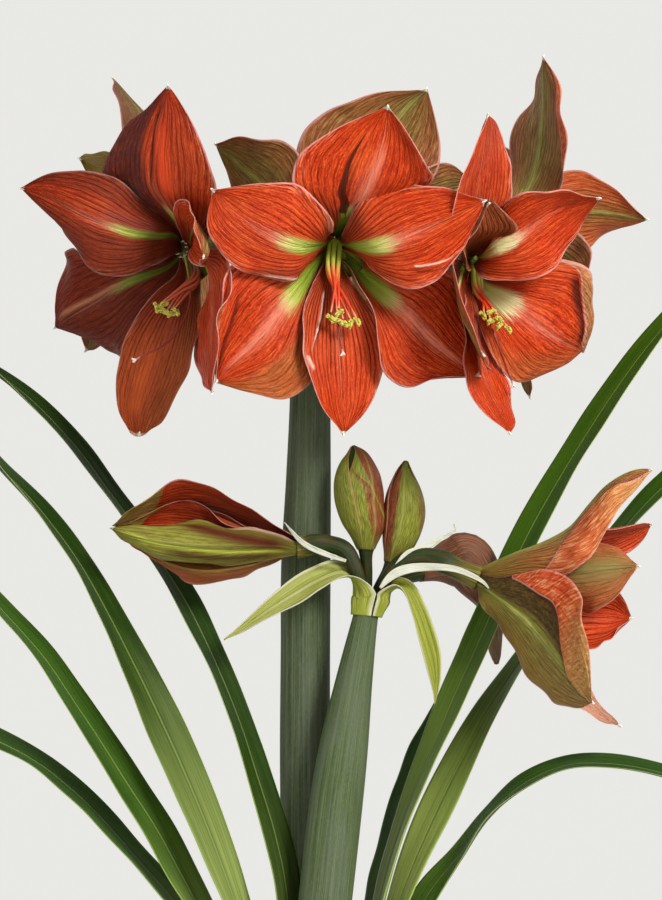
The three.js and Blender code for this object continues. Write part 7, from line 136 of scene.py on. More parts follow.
            'H4': [[[-9.2,-13.9,505.9],[-9.1,-13.6,507.2],[-9,-13.8,508.6],[-9,-14.5,509.8],[-8.9,-15.6,510.6]],[[-22.3,-11.8,507.1],[-22,-11.5,509.2],[-21.9,-12.2,511.2],[-22.1,-13.9,512.3],[-22.6,-15.9,512.6]],[[-35.9,-12.7,506.5],[-35.3,-10.3,509.9],[-34.7,-10.5,514],[-35.1,-13.9,516.3],[-36.7,-17.5,514.6]],[[-49.2,-15,506.7],[-48.5,-10,510.6],[-47.7,-8.9,516.6],[-47.6,-12.8,521.4],[-49.8,-18.5,520.6]],[[-62.1,-17.9,507.5],[-61.7,-10.9,511.3],[-60.9,-8.3,518.7],[-60.3,-11.4,526],[-60.3,-18,530.2]],[[-74.8,-19.1,508.8],[-74.6,-11.5,512.5],[-74,-8.4,520.2],[-73.6,-10.7,528.2],[-73.3,-16.3,534.4]],[[-87.6,-17.8,511],[-87.4,-11.2,514.1],[-87.2,-8.1,520.6],[-87.1,-10,527.5],[-87,-15,532.7]],[[-100.3,-13.5,513.5],[-100.3,-8.8,515.1],[-100.5,-7.3,519.8],[-100.5,-9.3,524.3],[-99.7,-13.6,526.6]],[[-113.9,-7.8,518.1],[-113.8,-6.9,517.8],[-113.6,-7.9,517.8],[-113.3,-8.8,518],[-113.1,-9.8,517.9]]],
            'H5': [[[-6.4,-14.7,502.7],[-6.3,-13.4,503.7],[-6.3,-12.5,505.1],[-6.2,-12,506.7],[-6.2,-12.1,508.3]],[[-20.5,-15.4,502.9],[-20.3,-13.1,504.2],[-20.1,-11.6,506.3],[-20,-11,508.9],[-19.8,-11.5,511.5]],[[-34.9,-19.8,502.5],[-34.5,-14.5,503.6],[-34,-10.8,507.6],[-33.6,-10.2,513.1],[-33.3,-12.8,517.8]],[[-49.2,-23.8,501.2],[-48.7,-15.7,502.9],[-47.9,-10.1,508.9],[-47.2,-9.1,517.1],[-46.7,-13.1,524.3]],[[-63.3,-26.7,500.7],[-62.8,-16.6,502.7],[-61.8,-9.5,510.2],[-60.8,-8.2,520.4],[-60.2,-13.1,529.5]],[[-77.2,-27.2,501.8],[-76.7,-16.5,503.8],[-75.7,-9,511.6],[-74.6,-7.5,522.3],[-73.9,-12.5,531.9]],[[-90.7,-24.2,505],[-90.4,-15.1,506.5],[-89.6,-8.6,513],[-88.6,-7,522.1],[-88,-11.1,530.3]],[[-104.2,-18.5,508.5],[-104,-12.6,510.3],[-103.4,-8.1,514.6],[-102.8,-6.4,520.5],[-102.3,-7.8,526.4]],[[-117.2,-9.6,516.6],[-117.2,-8.6,516.5],[-117.2,-7.7,516.5],[-117.3,-6.7,516.5],[-117.2,-5.7,516.6]]],
            'H6': [[[-9.1,-18.3,503.9],[-9.1,-17,503.7],[-9.1,-15.7,504.1],[-9.2,-14.6,504.9],[-9.2,-13.9,506]],[[-22.4,-18.1,505.1],[-22.3,-16.1,504.7],[-22.2,-14.2,505.2],[-22.1,-12.6,506.4],[-22,-11.6,508.2]],[[-35.8,-20.3,507.8],[-35.7,-16.8,505.9],[-35.3,-12.8,506.4],[-34.9,-9.9,509.2],[-34.5,-9.1,513.1]],[[-49.2,-22.8,509.7],[-49,-17.4,506.9],[-48.4,-11.5,507.6],[-47.7,-7.1,511.7],[-47,-5.9,517.7]],[[-62.5,-24.5,511.6],[-62.2,-17.8,507.9],[-61.5,-10.2,508.9],[-60.5,-4.6,514],[-59.7,-3.1,521.5]],[[-75.6,-24,513.1],[-75.3,-16.9,509.2],[-74.5,-8.9,510.1],[-73.5,-3,515.5],[-72.6,-1.4,523.4]],[[-88.5,-20.6,514.1],[-88.3,-14.6,510.7],[-87.6,-7.7,511.5],[-86.7,-2.5,516],[-85.9,-0.9,522.7]],[[-101.3,-15.9,513.3],[-101.1,-11.2,512.1],[-100.7,-6.4,512.9],[-100.1,-2.3,515.6],[-99.4,0.2,519.7]],[[-113.9,-6.7,514.1],[-113.8,-5.7,514.1],[-113.8,-4.7,514.1],[-113.8,-3.8,514],[-113.8,-2.8,514]]],
        },
    },
}

# Stems that carry a flower: centre and radius
BASES = {
    'front': [[0,-3.5,661.8,3.6],[2.2,-7.2,675.6,4.1],[14.9,-20.1,687.6,4.3],[14.9,-28.1,687.1,4.8],[14.9,-34.5,686.7,6.6],[14.9,-41,686.3,5.4],[14.9,-51.5,685.7,6.4],[14.9,-62.2,685,7.6]],
    'left': [[-8.3,1,661.8,3.6],[-14.1,-1.7,675.8,4.1],[-41.1,-11.6,689.2,4.3],[-47.1,-16.9,688.3,4.8],[-51.9,-21.1,687.5,6.6],[-56.7,-25.4,686.7,5.4],[-64.4,-32.4,685.5,6.4],[-72.4,-39.5,684.2,7.6]],
    'right': [[7.5,1,661.8,3.6],[17,-1.1,674.2,4.1],[65.1,-7.4,677.9,4.3],[71,-12.7,677.6,4.8],[75.9,-17,677.4,6.6],[80.7,-21.4,677.1,5.4],[88.5,-28.3,676.7,6.4],[96.5,-35.5,676.2,7.6]],
    'bcen': [[-0.5,13.5,661.8,3.6],[1.9,14.3,676.3,4.1],[15.7,11,691.5,4.3],[15.7,19,691.9,4.8],[15.7,24.5,692.2,6.6],[15.7,30,692.4,5.4],[15.7,38.8,692.9,6.4],[15.7,48.2,693.3,7.6]],
    'bleft': [[-8.5,9.5,661.8,3.6],[-13.2,9.9,677.7,4.1],[-34.3,6.5,701.2,4.3],[-40.1,12,701.2,4.8],[-44.8,16.5,701.2,6.6],[-49.6,21,701.2,5.4],[-57.2,28.1,701.2,6.4],[-65,35.5,701.2,7.6]],
    'bright': [[7.7,9.5,661.8,3.6],[18.7,9.3,677.8,4.1],[75.2,2.6,701.4,4.3],[81,8.1,701.8,4.8],[85.7,12.5,702.1,6.6],[90.4,17,702.4,5.4],[98,24.1,702.9,6.4],[105.8,31.5,703.5,7.6]],
    'side': [[43,-20.5,476.3,3],[45.3,-22,487.7,3.8],[54.9,-20,498.3,4.8],[68,-19,501.3,5.4],[78.7,-20,498.3,6.8],[88.8,-21,493.6,6.4],[100.9,-22.4,488.6,7.6]],
    'hbud': [[32.2,-20.5,476.3,3],[28.7,-20,490.6,4],[21.5,-18,504.8,5.2],[10.8,-17,509,5.4],[2.5,-17,508.4,6.8],[-2.3,-17,507.5,6.4],[-7.7,-17,507.2,7]],
}

BUDS = {
    'bud_upright_left': [[34.1,-12,476,2.9],[34.1,-12.5,490.4,3.3],[33.5,-13,501.7,3.9],[33.5,-13,508.3,6],[33.2,-13,519.6,11],[30.5,-13,531.6,13.1],[29.3,-13,540.5,13.6],[28.4,-13,550.7,12.2],[27.5,-13,560.8,7.4],[25.7,-13,567.4,0.9]],
    'bud_upright_right': [[37.6,-16.5,476.2,2.9],[41.8,-14,484.4,3.1],[46.6,-12,492.7,3.6],[49,-11,499.3,4.6],[52.3,-11,508.2,8.6],[55,-11,517.8,10.8],[56.5,-11,528,11.7],[56.5,-11,539.3,9.9],[56.5,-11,550.7,5.1],[57.4,-11,558.4,0.9]],
    'bud_nodding': [[43.1,-12,476,2.8],[47.4,-2,483.5,3.4],[55.5,16,487.7,4.4],[67.8,30,491.6,6.2],[77.7,38,495,10],[86.4,42,496.7,14.5],[95,44,497.3,16],[102.9,44,486.3,13.5],[110.2,42,471.7,7.5],[113.1,40,456.6,3.6],[112.5,39,445.6,3.5],[113,38,439.6,2.5],[113.4,38,434.7,0.8]],
}

SCAPES = {
    'scape_tall': [[-3.1,17,187.5,14],[-3.1,17,232.8,14.6],[-3.1,17,293.2,15],[-3.1,16,347.1,15],[-3.1,15,387,15.2],[-2.8,13,444.4,15],[-2.5,12,495.7,15],[-1,10,546.9,13.6],[0,8,595.1,12.3],[0,6,637.2,12],[0,5,661.2,12.5]],
    'scape_short': [[-0.5,-17,192.5,14.2],[1.3,-17,219.3,15],[4.3,-17,252.1,15.3],[9.3,-17,298.6,15.9],[15,-17,349.8,15.9],[20.3,-17,389.2,14.4],[26.6,-17,429.1,10.8],[33.2,-17,465.5,7.5],[35.5,-17,473.2,8]],
}

STAMENS = {
    'front': {
        'anth': [[[17.8,-64.6,686.5],[16.7,-77.7,671.4],[14.8,-85.6,658.1],[12.6,-91.7,644.9],[12,-94.7,634.4]],[[15,-64.7,688.2],[13.8,-77.8,673.1],[15,-85.5,658.5],[16.1,-90.7,643.8],[14.3,-93.7,632.7]],[[12.1,-64.6,686.6],[10.9,-77.7,671.5],[15.1,-85.3,656.2],[19.6,-90.2,640.9],[21.3,-93.2,632.7]],[[12,-64.4,683.4],[10.9,-77.5,668.2],[17.1,-84.9,654.7],[23.6,-89.3,641.5],[24.8,-92.3,632.1]],[[14.8,-64.3,681.6],[13.7,-77.4,666.5],[20.4,-84.4,654.1],[27.1,-88.9,642.1],[29.4,-91.9,634.5]],[[17.7,-64.4,683.2],[16.6,-77.5,668.1],[17,-84.7,657.5],[17.2,-89.9,647.3],[17.8,-92.9,639.1]]],
        'style': [[14.9,-64.5,684.9],[14.3,-84.1,657.9],[16.7,-89.5,637.4],[19.5,-92.2,621.1]],
    },
    'left': {
        'anth': [[[-72.3,-43.3,685.4],[-65.1,-51.3,669],[-76.4,-52.2,660],[-87.9,-53.1,650.8],[-93.7,-56.1,646.6]],[[-74.4,-41.3,687.1],[-67.1,-49.4,670.7],[-76.6,-51.4,659.7],[-86.1,-53.2,648.5],[-89.5,-56.2,642.5]],[[-76.2,-39,685.6],[-68.9,-47.1,669.1],[-76.1,-50.6,658.6],[-83.2,-53.9,647.8],[-85.4,-56.9,641.9]],[[-75.9,-38.7,682.3],[-68.7,-46.7,665.9],[-75.1,-50.7,656.5],[-81.4,-54.4,647.2],[-80.7,-57.4,640.1]],[[-73.9,-40.7,680.6],[-66.6,-48.7,664.2],[-72.8,-52.1,656.1],[-79,-55,648.4],[-77.2,-58,642.4]],[[-72.1,-42.9,682.2],[-64.8,-51,665.7],[-74.5,-52.3,658.8],[-84.4,-53.4,652],[-87.8,-56.4,647.2]]],
        'style': [[-74.1,-41,683.9],[-70.2,-53.8,653.1],[-80.7,-56.6,630.7],[-102.8,-49.5,618]],
    },
    'right': {
        'anth': [[[100.2,-34.9,677.7],[101.3,-42.8,662.1],[102,-48.5,654.1],[102.4,-55.2,646],[100.6,-58.2,640.1]],[[98.4,-37,679.4],[99.4,-44.9,663.8],[102.7,-50.6,653.3],[105.9,-56,642.5],[107,-59,636]],[[96.4,-39.1,677.8],[97.5,-47,662.2],[104,-51.6,653.3],[110.6,-55.9,644.3],[111.7,-58.9,637.1]],[[96.3,-39.1,674.5],[97.3,-47,658.9],[104.5,-52.3,649.4],[111.8,-56.3,640.1],[109.9,-59.3,633.6]],[[98.1,-37,672.8],[99.1,-44.8,657.2],[107.5,-51.7,647.3],[115.9,-56.3,637.8],[118.1,-59.3,631.8]],[[100.1,-34.8,674.4],[101.1,-42.7,658.8],[104.5,-48.2,653.2],[107.7,-55.1,647.8],[105.3,-58.1,642.4]]],
        'style': [[98.3,-37,676.1],[103.8,-50.9,647.4],[111.9,-54.8,623.7],[119.7,-50.9,603.2]],
    },
    'side': {
        'anth': [[[104.4,-19.8,488.2],[124.1,-26.1,488.5],[142.1,-30.4,487.8],[160.1,-35,487],[166.1,-36.3,486.8]],[[104.4,-21.4,491],[124.1,-25.4,490],[142.1,-28.6,491.4],[160.1,-32,493],[166.1,-33,493.4]],[[104.4,-24.7,491],[124.1,-24.4,490.8],[142.1,-26.2,493.2],[160.1,-28,496],[166.1,-28.6,496.7]],[[104.4,-26.4,488.2],[124.1,-23.4,490],[142.1,-23.8,491.4],[160.1,-24,493],[166.1,-24.2,493.4]],[[104.4,-24.7,485.3],[124.1,-22.6,488.5],[142.1,-22,487.8],[160.1,-21,487],[166.1,-20.9,486.8]],[[104.4,-21.4,485.3],[124.1,-24.4,487.5],[142.1,-26.2,485.4],[160.1,-28,483],[166.1,-28.6,482.4]]],
        'style': [[104.4,-23.1,488.2],[134.1,-25.4,487.5],[160.1,-28,488],[180.1,-30,488.4]],
    },
}

# Ribbons: left and right edge at each station, and how far the middle sags
STRIPS = {
    'spathe_left': {
        'sag': [-9.6,-10.2,-10.8,-9.8,-6,-3.5,-3,-2.5,-2.5,-2,-1,0],
        'st': [[36.4,-25.4,466.4,31.7,-8.4,465.7],[37.3,-25.8,471.7,32,-8,471.1],[38.7,-27,477.1,33.5,-7,477],[39,-28,480.4,31.1,-8,483.7],[34.5,-29.5,485.5,27.5,-9,490.9],[27.4,-30,489.4,21.6,-11,497.5],[18.5,-29,489.1,13.2,-13,499.3],[6.1,-28,481.9,0.1,-16,494.6],[-5.2,-27,474.2,-11.2,-18,488.1],[-22.4,-26,465.8,-26.1,-21,475.7],[-39.7,-25,456.9,-41.5,-23,460.9],[-51,-24,452.1,-51,-24,452.1]],
    },
    'spathe_right': {
        'sag': [7.8,9,9.6,8.4,6,4,3,2.5,2.5,2,1,0],
        'st': [[37.4,-25.5,466.4,33.1,-8.3,465.7],[38.4,-26,471.7,33.5,-7.9,471.1],[39.9,-27.2,477.1,36.5,-7,477],[40.5,-28.3,480.4,40.7,-7.4,483],[44.6,-29.5,483.4,46.7,-8,488.4],[51.2,-30,485.5,55,-11,489.1],[56.5,-29,480.8,62.7,-15,484.5],[60.7,-28,468.8,69.2,-20,472.1],[65.4,-27,450.4,74.5,-22,457.9],[69.6,-26,435.5,78,-23,443.1],[73.2,-25,421.2,77.4,-24,428.3],[74.4,-24,414,74.4,-24.5,414]],
    },
    'bracteole_1': {
        'sag': [0.4,0.4,0.4,0.4],
        'st': [[21.8,-25,499.8,21.3,-25,498.3],[10.2,-26,504.6,9,-26,501.8],[-3.1,-26,511,-4.9,-26,508.6],[-14.9,-25,522.6,-15.8,-25,521.8]],
    },
    'bracteole_3': {
        'sag': [0.4,0.4,0.4,0.4,0.4,0.4,0.4],
        'st': [[48.3,-25,490.1,47,-25,491.3],[58.7,-24,500.1,55.7,-24,503.8],[67.1,-20,504,65.2,-20,508.1],[76.5,-16,509.4,75.2,-16,512.1],[83.5,-14,513.5,82.5,-14,515],[87.3,-13,517.5,86,-13,518.1],[86.5,-13,520.9,85.6,-13,520.7]],
    },
    'bracteole_4': {
        'sag': [0.4,0.4,0.4,0.4,0.4,0.4,0.4,0.4,0.4],
        'st': [[42.2,-31.5,482.7,41.1,-31.5,483.7],[47.8,-31.8,487,45,-31.8,490.1],[53.4,-31.4,490.2,51.2,-31.4,495.2],[61.6,-31,492.4,60.8,-31,497.7],[74.2,-32,493.6,74.3,-32,497.8],[85.7,-33,492.7,86.4,-33,496.3],[94.9,-34,489.6,96.1,-34,492.3],[102,-34,486.1,103.2,-34,487.5],[107,-33,481.2,107.7,-33,481.8]],
    },
}

LEAVES = {
    'A': {
        'sag': -2.5,
        'st': [[-18.9,-20.5,193,-18.7,4.5,189.4],[-18.5,-21.2,229.2,-13.5,3.3,226.5],[-18.3,-20.9,265.2,-6.8,1.1,263.6],[-20.2,-18.2,301,-5.3,1.6,300.8],[-27.7,-16,336.1,-12.4,3.3,337.3],[-38.4,-12.2,373.1,-24.7,8.2,375.1],[-49.1,-7.7,407.5,-37.2,13.7,410.1],[-63.3,-2.7,440.7,-51.9,18.7,444.5],[-80.2,2.4,472.8,-68.2,23.1,478.3],[-98.9,5.1,504.1,-89.8,27.4,509.1],[-121.1,5.5,536.2,-114.5,28.6,541.2],[-143.2,6.4,565.2,-137,29.2,571.5],[-167.8,6.4,592.1,-163.3,25,598.3],[-194.6,5.3,616.8,-194.2,20.5,619],[-228.9,10,636.1,-228.9,10,636.1]],
    },
    'B': {
        'sag': -2.5,
        'st': [[-23.2,-17.5,192.5,-22.9,9.5,188.6],[-26.6,-18.7,228.4,-22.4,7.9,225.8],[-36.8,-19.3,262.7,-27.3,5.6,262.6],[-51.6,-19.2,295.4,-37.1,2.6,298.5],[-66.3,-18.5,328.1,-47.8,-0.9,334.1],[-82,-18.2,363.1,-61.5,-4.1,371.3],[-96.6,-19.5,396,-76.3,-5.6,405],[-109.6,-23.6,429.5,-93.6,-4.4,437.3],[-123.5,-27.5,462.6,-111.7,-5.1,469.4],[-138.9,-30.8,494.8,-130.9,-6.4,500.7],[-160.3,-33.5,526.4,-154.8,-8.2,531.9],[-182.5,-36.3,554.2,-181.1,-10,557.3],[-206.2,-36.1,580.8,-205,-14.7,584.7],[-232.9,-35.7,604.4,-231.9,-19.8,608.8],[-266.7,-30,623.1,-266.7,-30,623.1]],
    },
    'C': {
        'sag': -2.5,
        'st': [[-28,-13.5,191.9,-27.8,13.5,188.1],[-33.1,-13.3,222.4,-29.6,13.3,220.2],[-46.4,-12.8,250.5,-39.1,12.8,251],[-63.5,-12,276.6,-52.9,11.7,280.3],[-80.7,-11.4,302.7,-66.5,9.1,309.8],[-97,-11.9,331.9,-82.4,7.7,340.6],[-113.4,-13.1,358.6,-99.9,7,367.7],[-129,-14.9,385.7,-117.8,6.9,394.5],[-145.2,-17,412.4,-136.1,5.8,421],[-162,-19,438.7,-154.9,4.7,447.2],[-182.6,-21.3,464.9,-178.8,3.9,471.9],[-204,-22.9,487.4,-201.6,2.3,494.5],[-227.8,-21.8,507.6,-225.7,-1.9,515.4],[-254.1,-20.9,524.3,-253.3,-6,530.9],[-286.3,-15,535.2,-286.3,-15,535.2]],
    },
    'D': {
        'sag': -2.5,
        'st': [[-32.2,-11,191.6,-32.1,15,187.8],[-37.7,-9.7,219.3,-34.3,16,217.6],[-49.7,-8.2,245.3,-44.3,16.8,246],[-65.4,-6.7,269.2,-58.8,17.5,272.5],[-84,-4.8,291,-75.8,17.9,297.5],[-104,-3.9,314.5,-97.8,19.4,321.4],[-123.5,-2.4,335.6,-117.4,20.1,344.4],[-143.9,-1.2,355.9,-138.9,21.2,365.8],[-165.9,0,374.5,-163.5,23.4,383.5],[-191.6,1.9,387.7,-190.4,25,397.7],[-221,3.8,397.6,-221,26.4,409],[-249.6,5.7,402.2,-251.1,28,413.7],[-278.9,9.4,403.2,-281.4,27.8,412.6],[-308.2,12.8,400.9,-311,27.8,405.6],[-338.9,22,390.7,-338.9,22,390.7]],
    },
    'E': {
        'sag': -2.5,
        'st': [[18,17,187.5,18.6,-9,191.3],[19.3,20.5,207.2,21.5,-5.4,210.4],[22.1,23.9,226.8,27,-1.6,229.1],[25.2,27,246.5,32.5,2.1,247.8],[28.6,29.5,266.3,37.9,5.4,266.7],[32.4,32,287.4,43.2,8.6,287.1],[35.9,34.5,307.2,48,11.8,306.3],[41.4,37.2,326.6,53.9,14.8,325.2],[46.3,37.3,346.4,59.3,15.3,344.5],[53,37.5,365.6,66.2,15.6,363.3],[60.6,37.7,386,74,16,383.3],[71.2,38.5,403.4,82.4,15.7,401.6],[80.4,36.7,421.6,90,18.2,420.1],[88.4,35,440.4,94.6,20.4,439.5],[96.9,28,460.7,96.9,28,460.7]],
    },
    'F': {
        'sag': -2.5,
        'st': [[22.9,13,188.1,23.3,-13,191.9],[26.2,10.8,227.3,29.1,-15,229.9],[32.8,8.4,266,37.7,-17,267.3],[39.7,7.1,304.6,45.9,-18,304.7],[50.2,9.7,341.9,57.6,-14.9,340.7],[63.7,11.8,381.3,74.2,-11.2,377.9],[77.3,13.5,417.8,90.8,-7.3,412.2],[93,16.1,453.5,106.9,-4.1,446.8],[109.1,19,489.1,122.6,-1.3,481.7],[126.1,21.6,524.3,139.8,1.8,516.1],[148.2,24.7,560.2,159,2.9,552.6],[169.1,23.7,593.2,179.3,2,585.2],[192,20.5,624.8,200.6,3.3,617.2],[217.8,17.8,654,223.3,4.1,648.3],[248.1,10,681.8,248.1,10,681.8]],
    },
    'G': {
        'sag': -2.5,
        'st': [[30.1,9.5,188.6,30.5,-17.5,192.5],[32.3,9.3,221.9,36,-17.3,224.3],[37.3,8.7,254.9,45.5,-16.7,255.2],[44.1,8.6,287.6,55.3,-15.5,285.9],[53.4,10.2,319.4,68,-11.3,315.1],[66.2,11.2,352.7,84.1,-6.7,345.5],[81.6,18.6,381.9,97.8,-0.7,374.7],[99.5,32.6,409.5,111.7,10,403.6],[120.2,43.1,435.9,127.1,17.7,432.2],[140.5,44.6,462.9,146.4,19.1,458.7],[162.5,46,491.7,168.1,20.6,486.4],[183.4,45,518.3,188.9,20.1,511.7],[205.1,39.1,543.7,211.6,20.3,535.5],[230.5,33.2,565.4,236.3,20.5,557],[261.5,24,582,261.5,24,582]],
    },
    'H': {
        'sag': -2.5,
        'st': [[37.3,12.5,188.2,37.7,-12.5,191.8],[39.6,11.2,217.8,42.6,-13.6,219.4],[45.2,8.5,247,51.3,-15.3,246.2],[53.1,3.2,276,62.6,-18.8,272.1],[64.1,-0.7,303.4,75.3,-21.1,297.1],[85.5,-0.7,326.5,90.5,-24.4,323.1],[103.8,-2.1,349.5,105.5,-26.5,346.6],[124.3,-4.4,370.4,127.4,-27.6,363.7],[151,-5.3,381.6,152.4,-29,375.9],[180.1,-6.5,383.4,179.9,-30,376.6],[210.8,-7.6,377.7,209,-31.3,371.7],[238.2,-8.9,367.8,234.7,-32.2,361.5],[264,-12.4,354.9,259.6,-31,348.7],[287.6,-15.8,338.5,283.5,-30,334.4],[309.2,-24,317.7,309.2,-24,317.7]],
    },
}

LEAF_NODES = {'A': 'leaf_left_1', 'B': 'leaf_left_2', 'C': 'leaf_left_3', 'D': 'leaf_left_4',
              'E': 'leaf_right_1', 'F': 'leaf_right_2', 'G': 'leaf_right_3', 'H': 'leaf_right_4'}


# ---------------------------------------------------------------- mesh helpers
def cr_matrix(n, ts):
    """Catmull-Rom weights over n stations, straight past both ends."""
    W = np.zeros((len(ts), n))
    for k, t in enumerate(ts):
        i = min(int(math.floor(t)), n - 2)
        f = t - i
        c = [-0.5 * f + f * f - 0.5 * f ** 3, 1 - 2.5 * f * f + 1.5 * f ** 3,
             0.5 * f + 2 * f * f - 1.5 * f ** 3, -0.5 * f * f + 0.5 * f ** 3]
        for m in range(4):
            a = i - 1 + m
            if a < 0:
                W[k, 0] += 2 * c[m]; W[k, 1] -= c[m]
            elif a > n - 1:
                W[k, n - 1] += 2 * c[m]; W[k, n - 2] -= c[m]
            else:
                W[k, a] += c[m]
    return W


def surface(net, us, vs):
    net = np.array(net, float)
    n, m = net.shape[:2]
    U = cr_matrix(n, np.asarray(us) * (n - 1))
    V = cr_matrix(m, np.asarray(vs) * (m - 1))
    return np.einsum('ai,ijc,bj->abc', U, net, V)


def normals(P):
    du = np.gradient(P, axis=0)
    dv = np.gradient(P, axis=1)
    N = np.cross(dv, du)
    L = np.linalg.norm(N, axis=2, keepdims=True)
    L[L < 1e-9] = 1
    N = N / L
    # a smoothed copy at the collapsed tip
    N[-1] = N[-2]
    return N


def hash01(k):
    x = math.sin(k * 127.1 + 311.7) * 43758.5453
    return x - math.floor(x)


def waves(a, b, seed, n=5, lo=0.6, hi=2.2):
    """Smooth seeded waviness over two coordinates, about -1..1."""
    out = np.zeros(np.broadcast(a, b).shape)
    for k in range(n):
        th = 2 * math.pi * hash01(seed * 17 + k)
        f = lo + (hi - lo) * hash01(seed * 31 + k * 3 + 1)
        ph = 2 * math.pi * hash01(seed * 13 + k * 7 + 2)
        out = out + np.sin(2 * math.pi * f * (a * math.cos(th) + b * math.sin(th)) + ph)
    return out / math.sqrt(n) * 0.9


def make_mesh(name, verts, faces, uvs=None, mats=(), mat_ids=None, smooth=True, flats=None):
    """verts in mm; faces as index tuples; uvs one pair per loop, in face order."""
    me = bpy.data.meshes.new(name)
    me.from_pydata([tuple(v) for v in (np.asarray(verts, float) * MM)], [], faces)
    if uvs is not None:
        lay = me.uv_layers.new(name='st')
        lay.data.foreach_set('uv', np.asarray(uvs, np.float32).ravel())
    for m in mats:
        me.materials.append(m)
    if mat_ids is not None:
        me.polygons.foreach_set('material_index', np.asarray(mat_ids, np.int32))
    me.polygons.foreach_set('use_smooth', [bool(smooth)] * len(faces))
    me.validate()
    me.update()
    ob = bpy.data.objects.new(name, me)
    bpy.context.scene.collection.objects.link(ob)
    return ob


class Build:
    """Collects several closed parts into one mesh."""

    def __init__(self):
        self.v, self.f, self.uv, self.m = [], [], [], []
        self.mats = []

    def mat(self, m):
        if m not in self.mats:
            self.mats.append(m)
        return self.mats.index(m)

    def add(self, verts, faces, uvs, m):
        """faces: lists of local indices; uvs: per face a list of pairs; m: material or list of them."""
        o = len(self.v)
        self.v.extend([tuple(p) for p in verts])
        for k, f in enumerate(faces):
            self.f.append(tuple(o + i for i in f))
            self.uv.extend(uvs[k])
            self.m.append(self.mat(m[k] if isinstance(m, list) else m))

    def make(self, name):
        return make_mesh(name, self.v, self.f, self.uv, self.mats, self.m)


def sheet(b, P, th, m_in, m_out, m_rim=None, N=None):
    """Closed thin sheet around grid P (nu+1, nv+1, 3). th: thickness array or number. The inner side faces N."""
    nu, nv = P.shape[0] - 1, P.shape[1] - 1
    if N is None:
        N = normals(P)
    T = np.broadcast_to(np.asarray(th, float), P.shape[:2])[..., None] / 2
    A, B = P + N * T, P - N * T
    verts = np.concatenate([A.reshape(-1, 3), B.reshape(-1, 3)])
    off = (nu + 1) * (nv + 1)
    s = np.linspace(0, 1, nv + 1) if not hasattr(sheet, 'vs') or sheet.vs is None else sheet.vs
    t = np.linspace(0, 1, nu + 1)
    idx = lambda i, j: i * (nv + 1) + j
    faces, uvs, ms = [], [], []
    for i in range(nu):
        for j in range(nv):
            q = (idx(i, j), idx(i, j + 1), idx(i + 1, j + 1), idx(i + 1, j))
            u = [(s[j], t[i]), (s[j + 1], t[i]), (s[j + 1], t[i + 1]), (s[j], t[i + 1])]
            faces.append(q); uvs.append(u); ms.append(m_in)
            faces.append(tuple(off + k for k in (q[3], q[2], q[1], q[0])))
            uvs.append([u[3], u[2], u[1], u[0]]); ms.append(m_out)
    rim = [(i, 0) for i in range(nu)] + [(nu, j) for j in range(nv)] + [(i, nv) for i in range(nu, 0, -1)] + [(0, j) for j in range(nv, 0, -1)]
    for k in range(len(rim)):
        a, c = rim[k], rim[(k + 1) % len(rim)]
        ia, ic = idx(*a), idx(*c)
        faces.append((ia, ic, off + ic, off + ia))
        ua, uc = (s[a[1]], t[a[0]]), (s[c[1]], t[c[0]])
        uvs.append([ua, uc, uc, ua]); ms.append(m_rim or m_in)
    b.add(verts, faces, uvs, ms)


def path_points(path, n):
    """Smooth path through [x, y, z, r] stations."""
    p = np.array(path, float)
    W = cr_matrix(len(p), np.linspace(0, len(p) - 1, n))
    q = W @ p
    q[:, 3] = np.maximum(q[:, 3], 0.05)
    return q


def frames(q, up=(0, 1, 0)):
    """Turning-free frames along a path; returns two unit vectors at each station."""
    T = np.gradient(q[:, :3], axis=0)
    T /= np.linalg.norm(T, axis=1, keepdims=True)
    x = np.array(up, float)
    if abs(T[0] @ x) > 0.9:
        x = np.array([1.0, 0, 0])
    X, Y = [], []
    for k in range(len(q)):
        x = x - T[k] * (x @ T[k]); x /= np.linalg.norm(x)
        X.append(x); Y.append(np.cross(T[k], x))
    return T, np.array(X), np.array(Y)


def tube(b, path, sides, n, mat, shape=None, dent=0.0, cap=0.6, v0=0.0, v1=1.0):
    """Closed tube along a smooth path. shape(theta, v) scales the radius. dent: how far the end is pushed in."""
    q = path_points(path, n) if n else np.array(path, float)
    n = len(q)
    T, X, Y = frames(q)
    th = np.linspace(0, 2 * math.pi, sides, endpoint=False)
    tv = np.linspace(0, 1, n)
    R = q[:, 3][:, None] * np.ones(sides)
    if shape is not None:
        R = R * shape(th[None, :], tv[:, None])
    P = q[:, None, :3] + (X[:, None] * np.cos(th)[None, :, None] + Y[:, None] * np.sin(th)[None, :, None]) * R[..., None]
    verts = list(P.reshape(-1, 3))
    c0 = len(verts); verts.append(q[0, :3] - T[0] * q[0, 3] * cap)
    c1 = len(verts); verts.append(q[-1, :3] + T[-1] * (q[-1, 3] * cap - dent))
    faces, uvs = [], []
    vv = v0 + (v1 - v0) * tv
    for i in range(n - 1):
        for k in range(sides):
            k2 = (k + 1) % sides
            faces.append((i * sides + k, i * sides + k2, (i + 1) * sides + k2, (i + 1) * sides + k))
            ua, ub = k / sides, (k + 1) / sides
            uvs.append([(ua, vv[i]), (ub, vv[i]), (ub, vv[i + 1]), (ua, vv[i + 1])])
    for k in range(sides):
        k2 = (k + 1) % sides
        faces.append((c0, k2, k)); uvs.append([(0.5, vv[0]), ((k + 1) / sides, vv[0]), (k / sides, vv[0])])
        o = (n - 1) * sides
        faces.append((c1, o + k, o + k2)); uvs.append([(0.5, vv[-1]), (k / sides, vv[-1]), ((k + 1) / sides, vv[-1])])
    b.add(verts, faces, uvs, mat)
    return q, T, X, Y


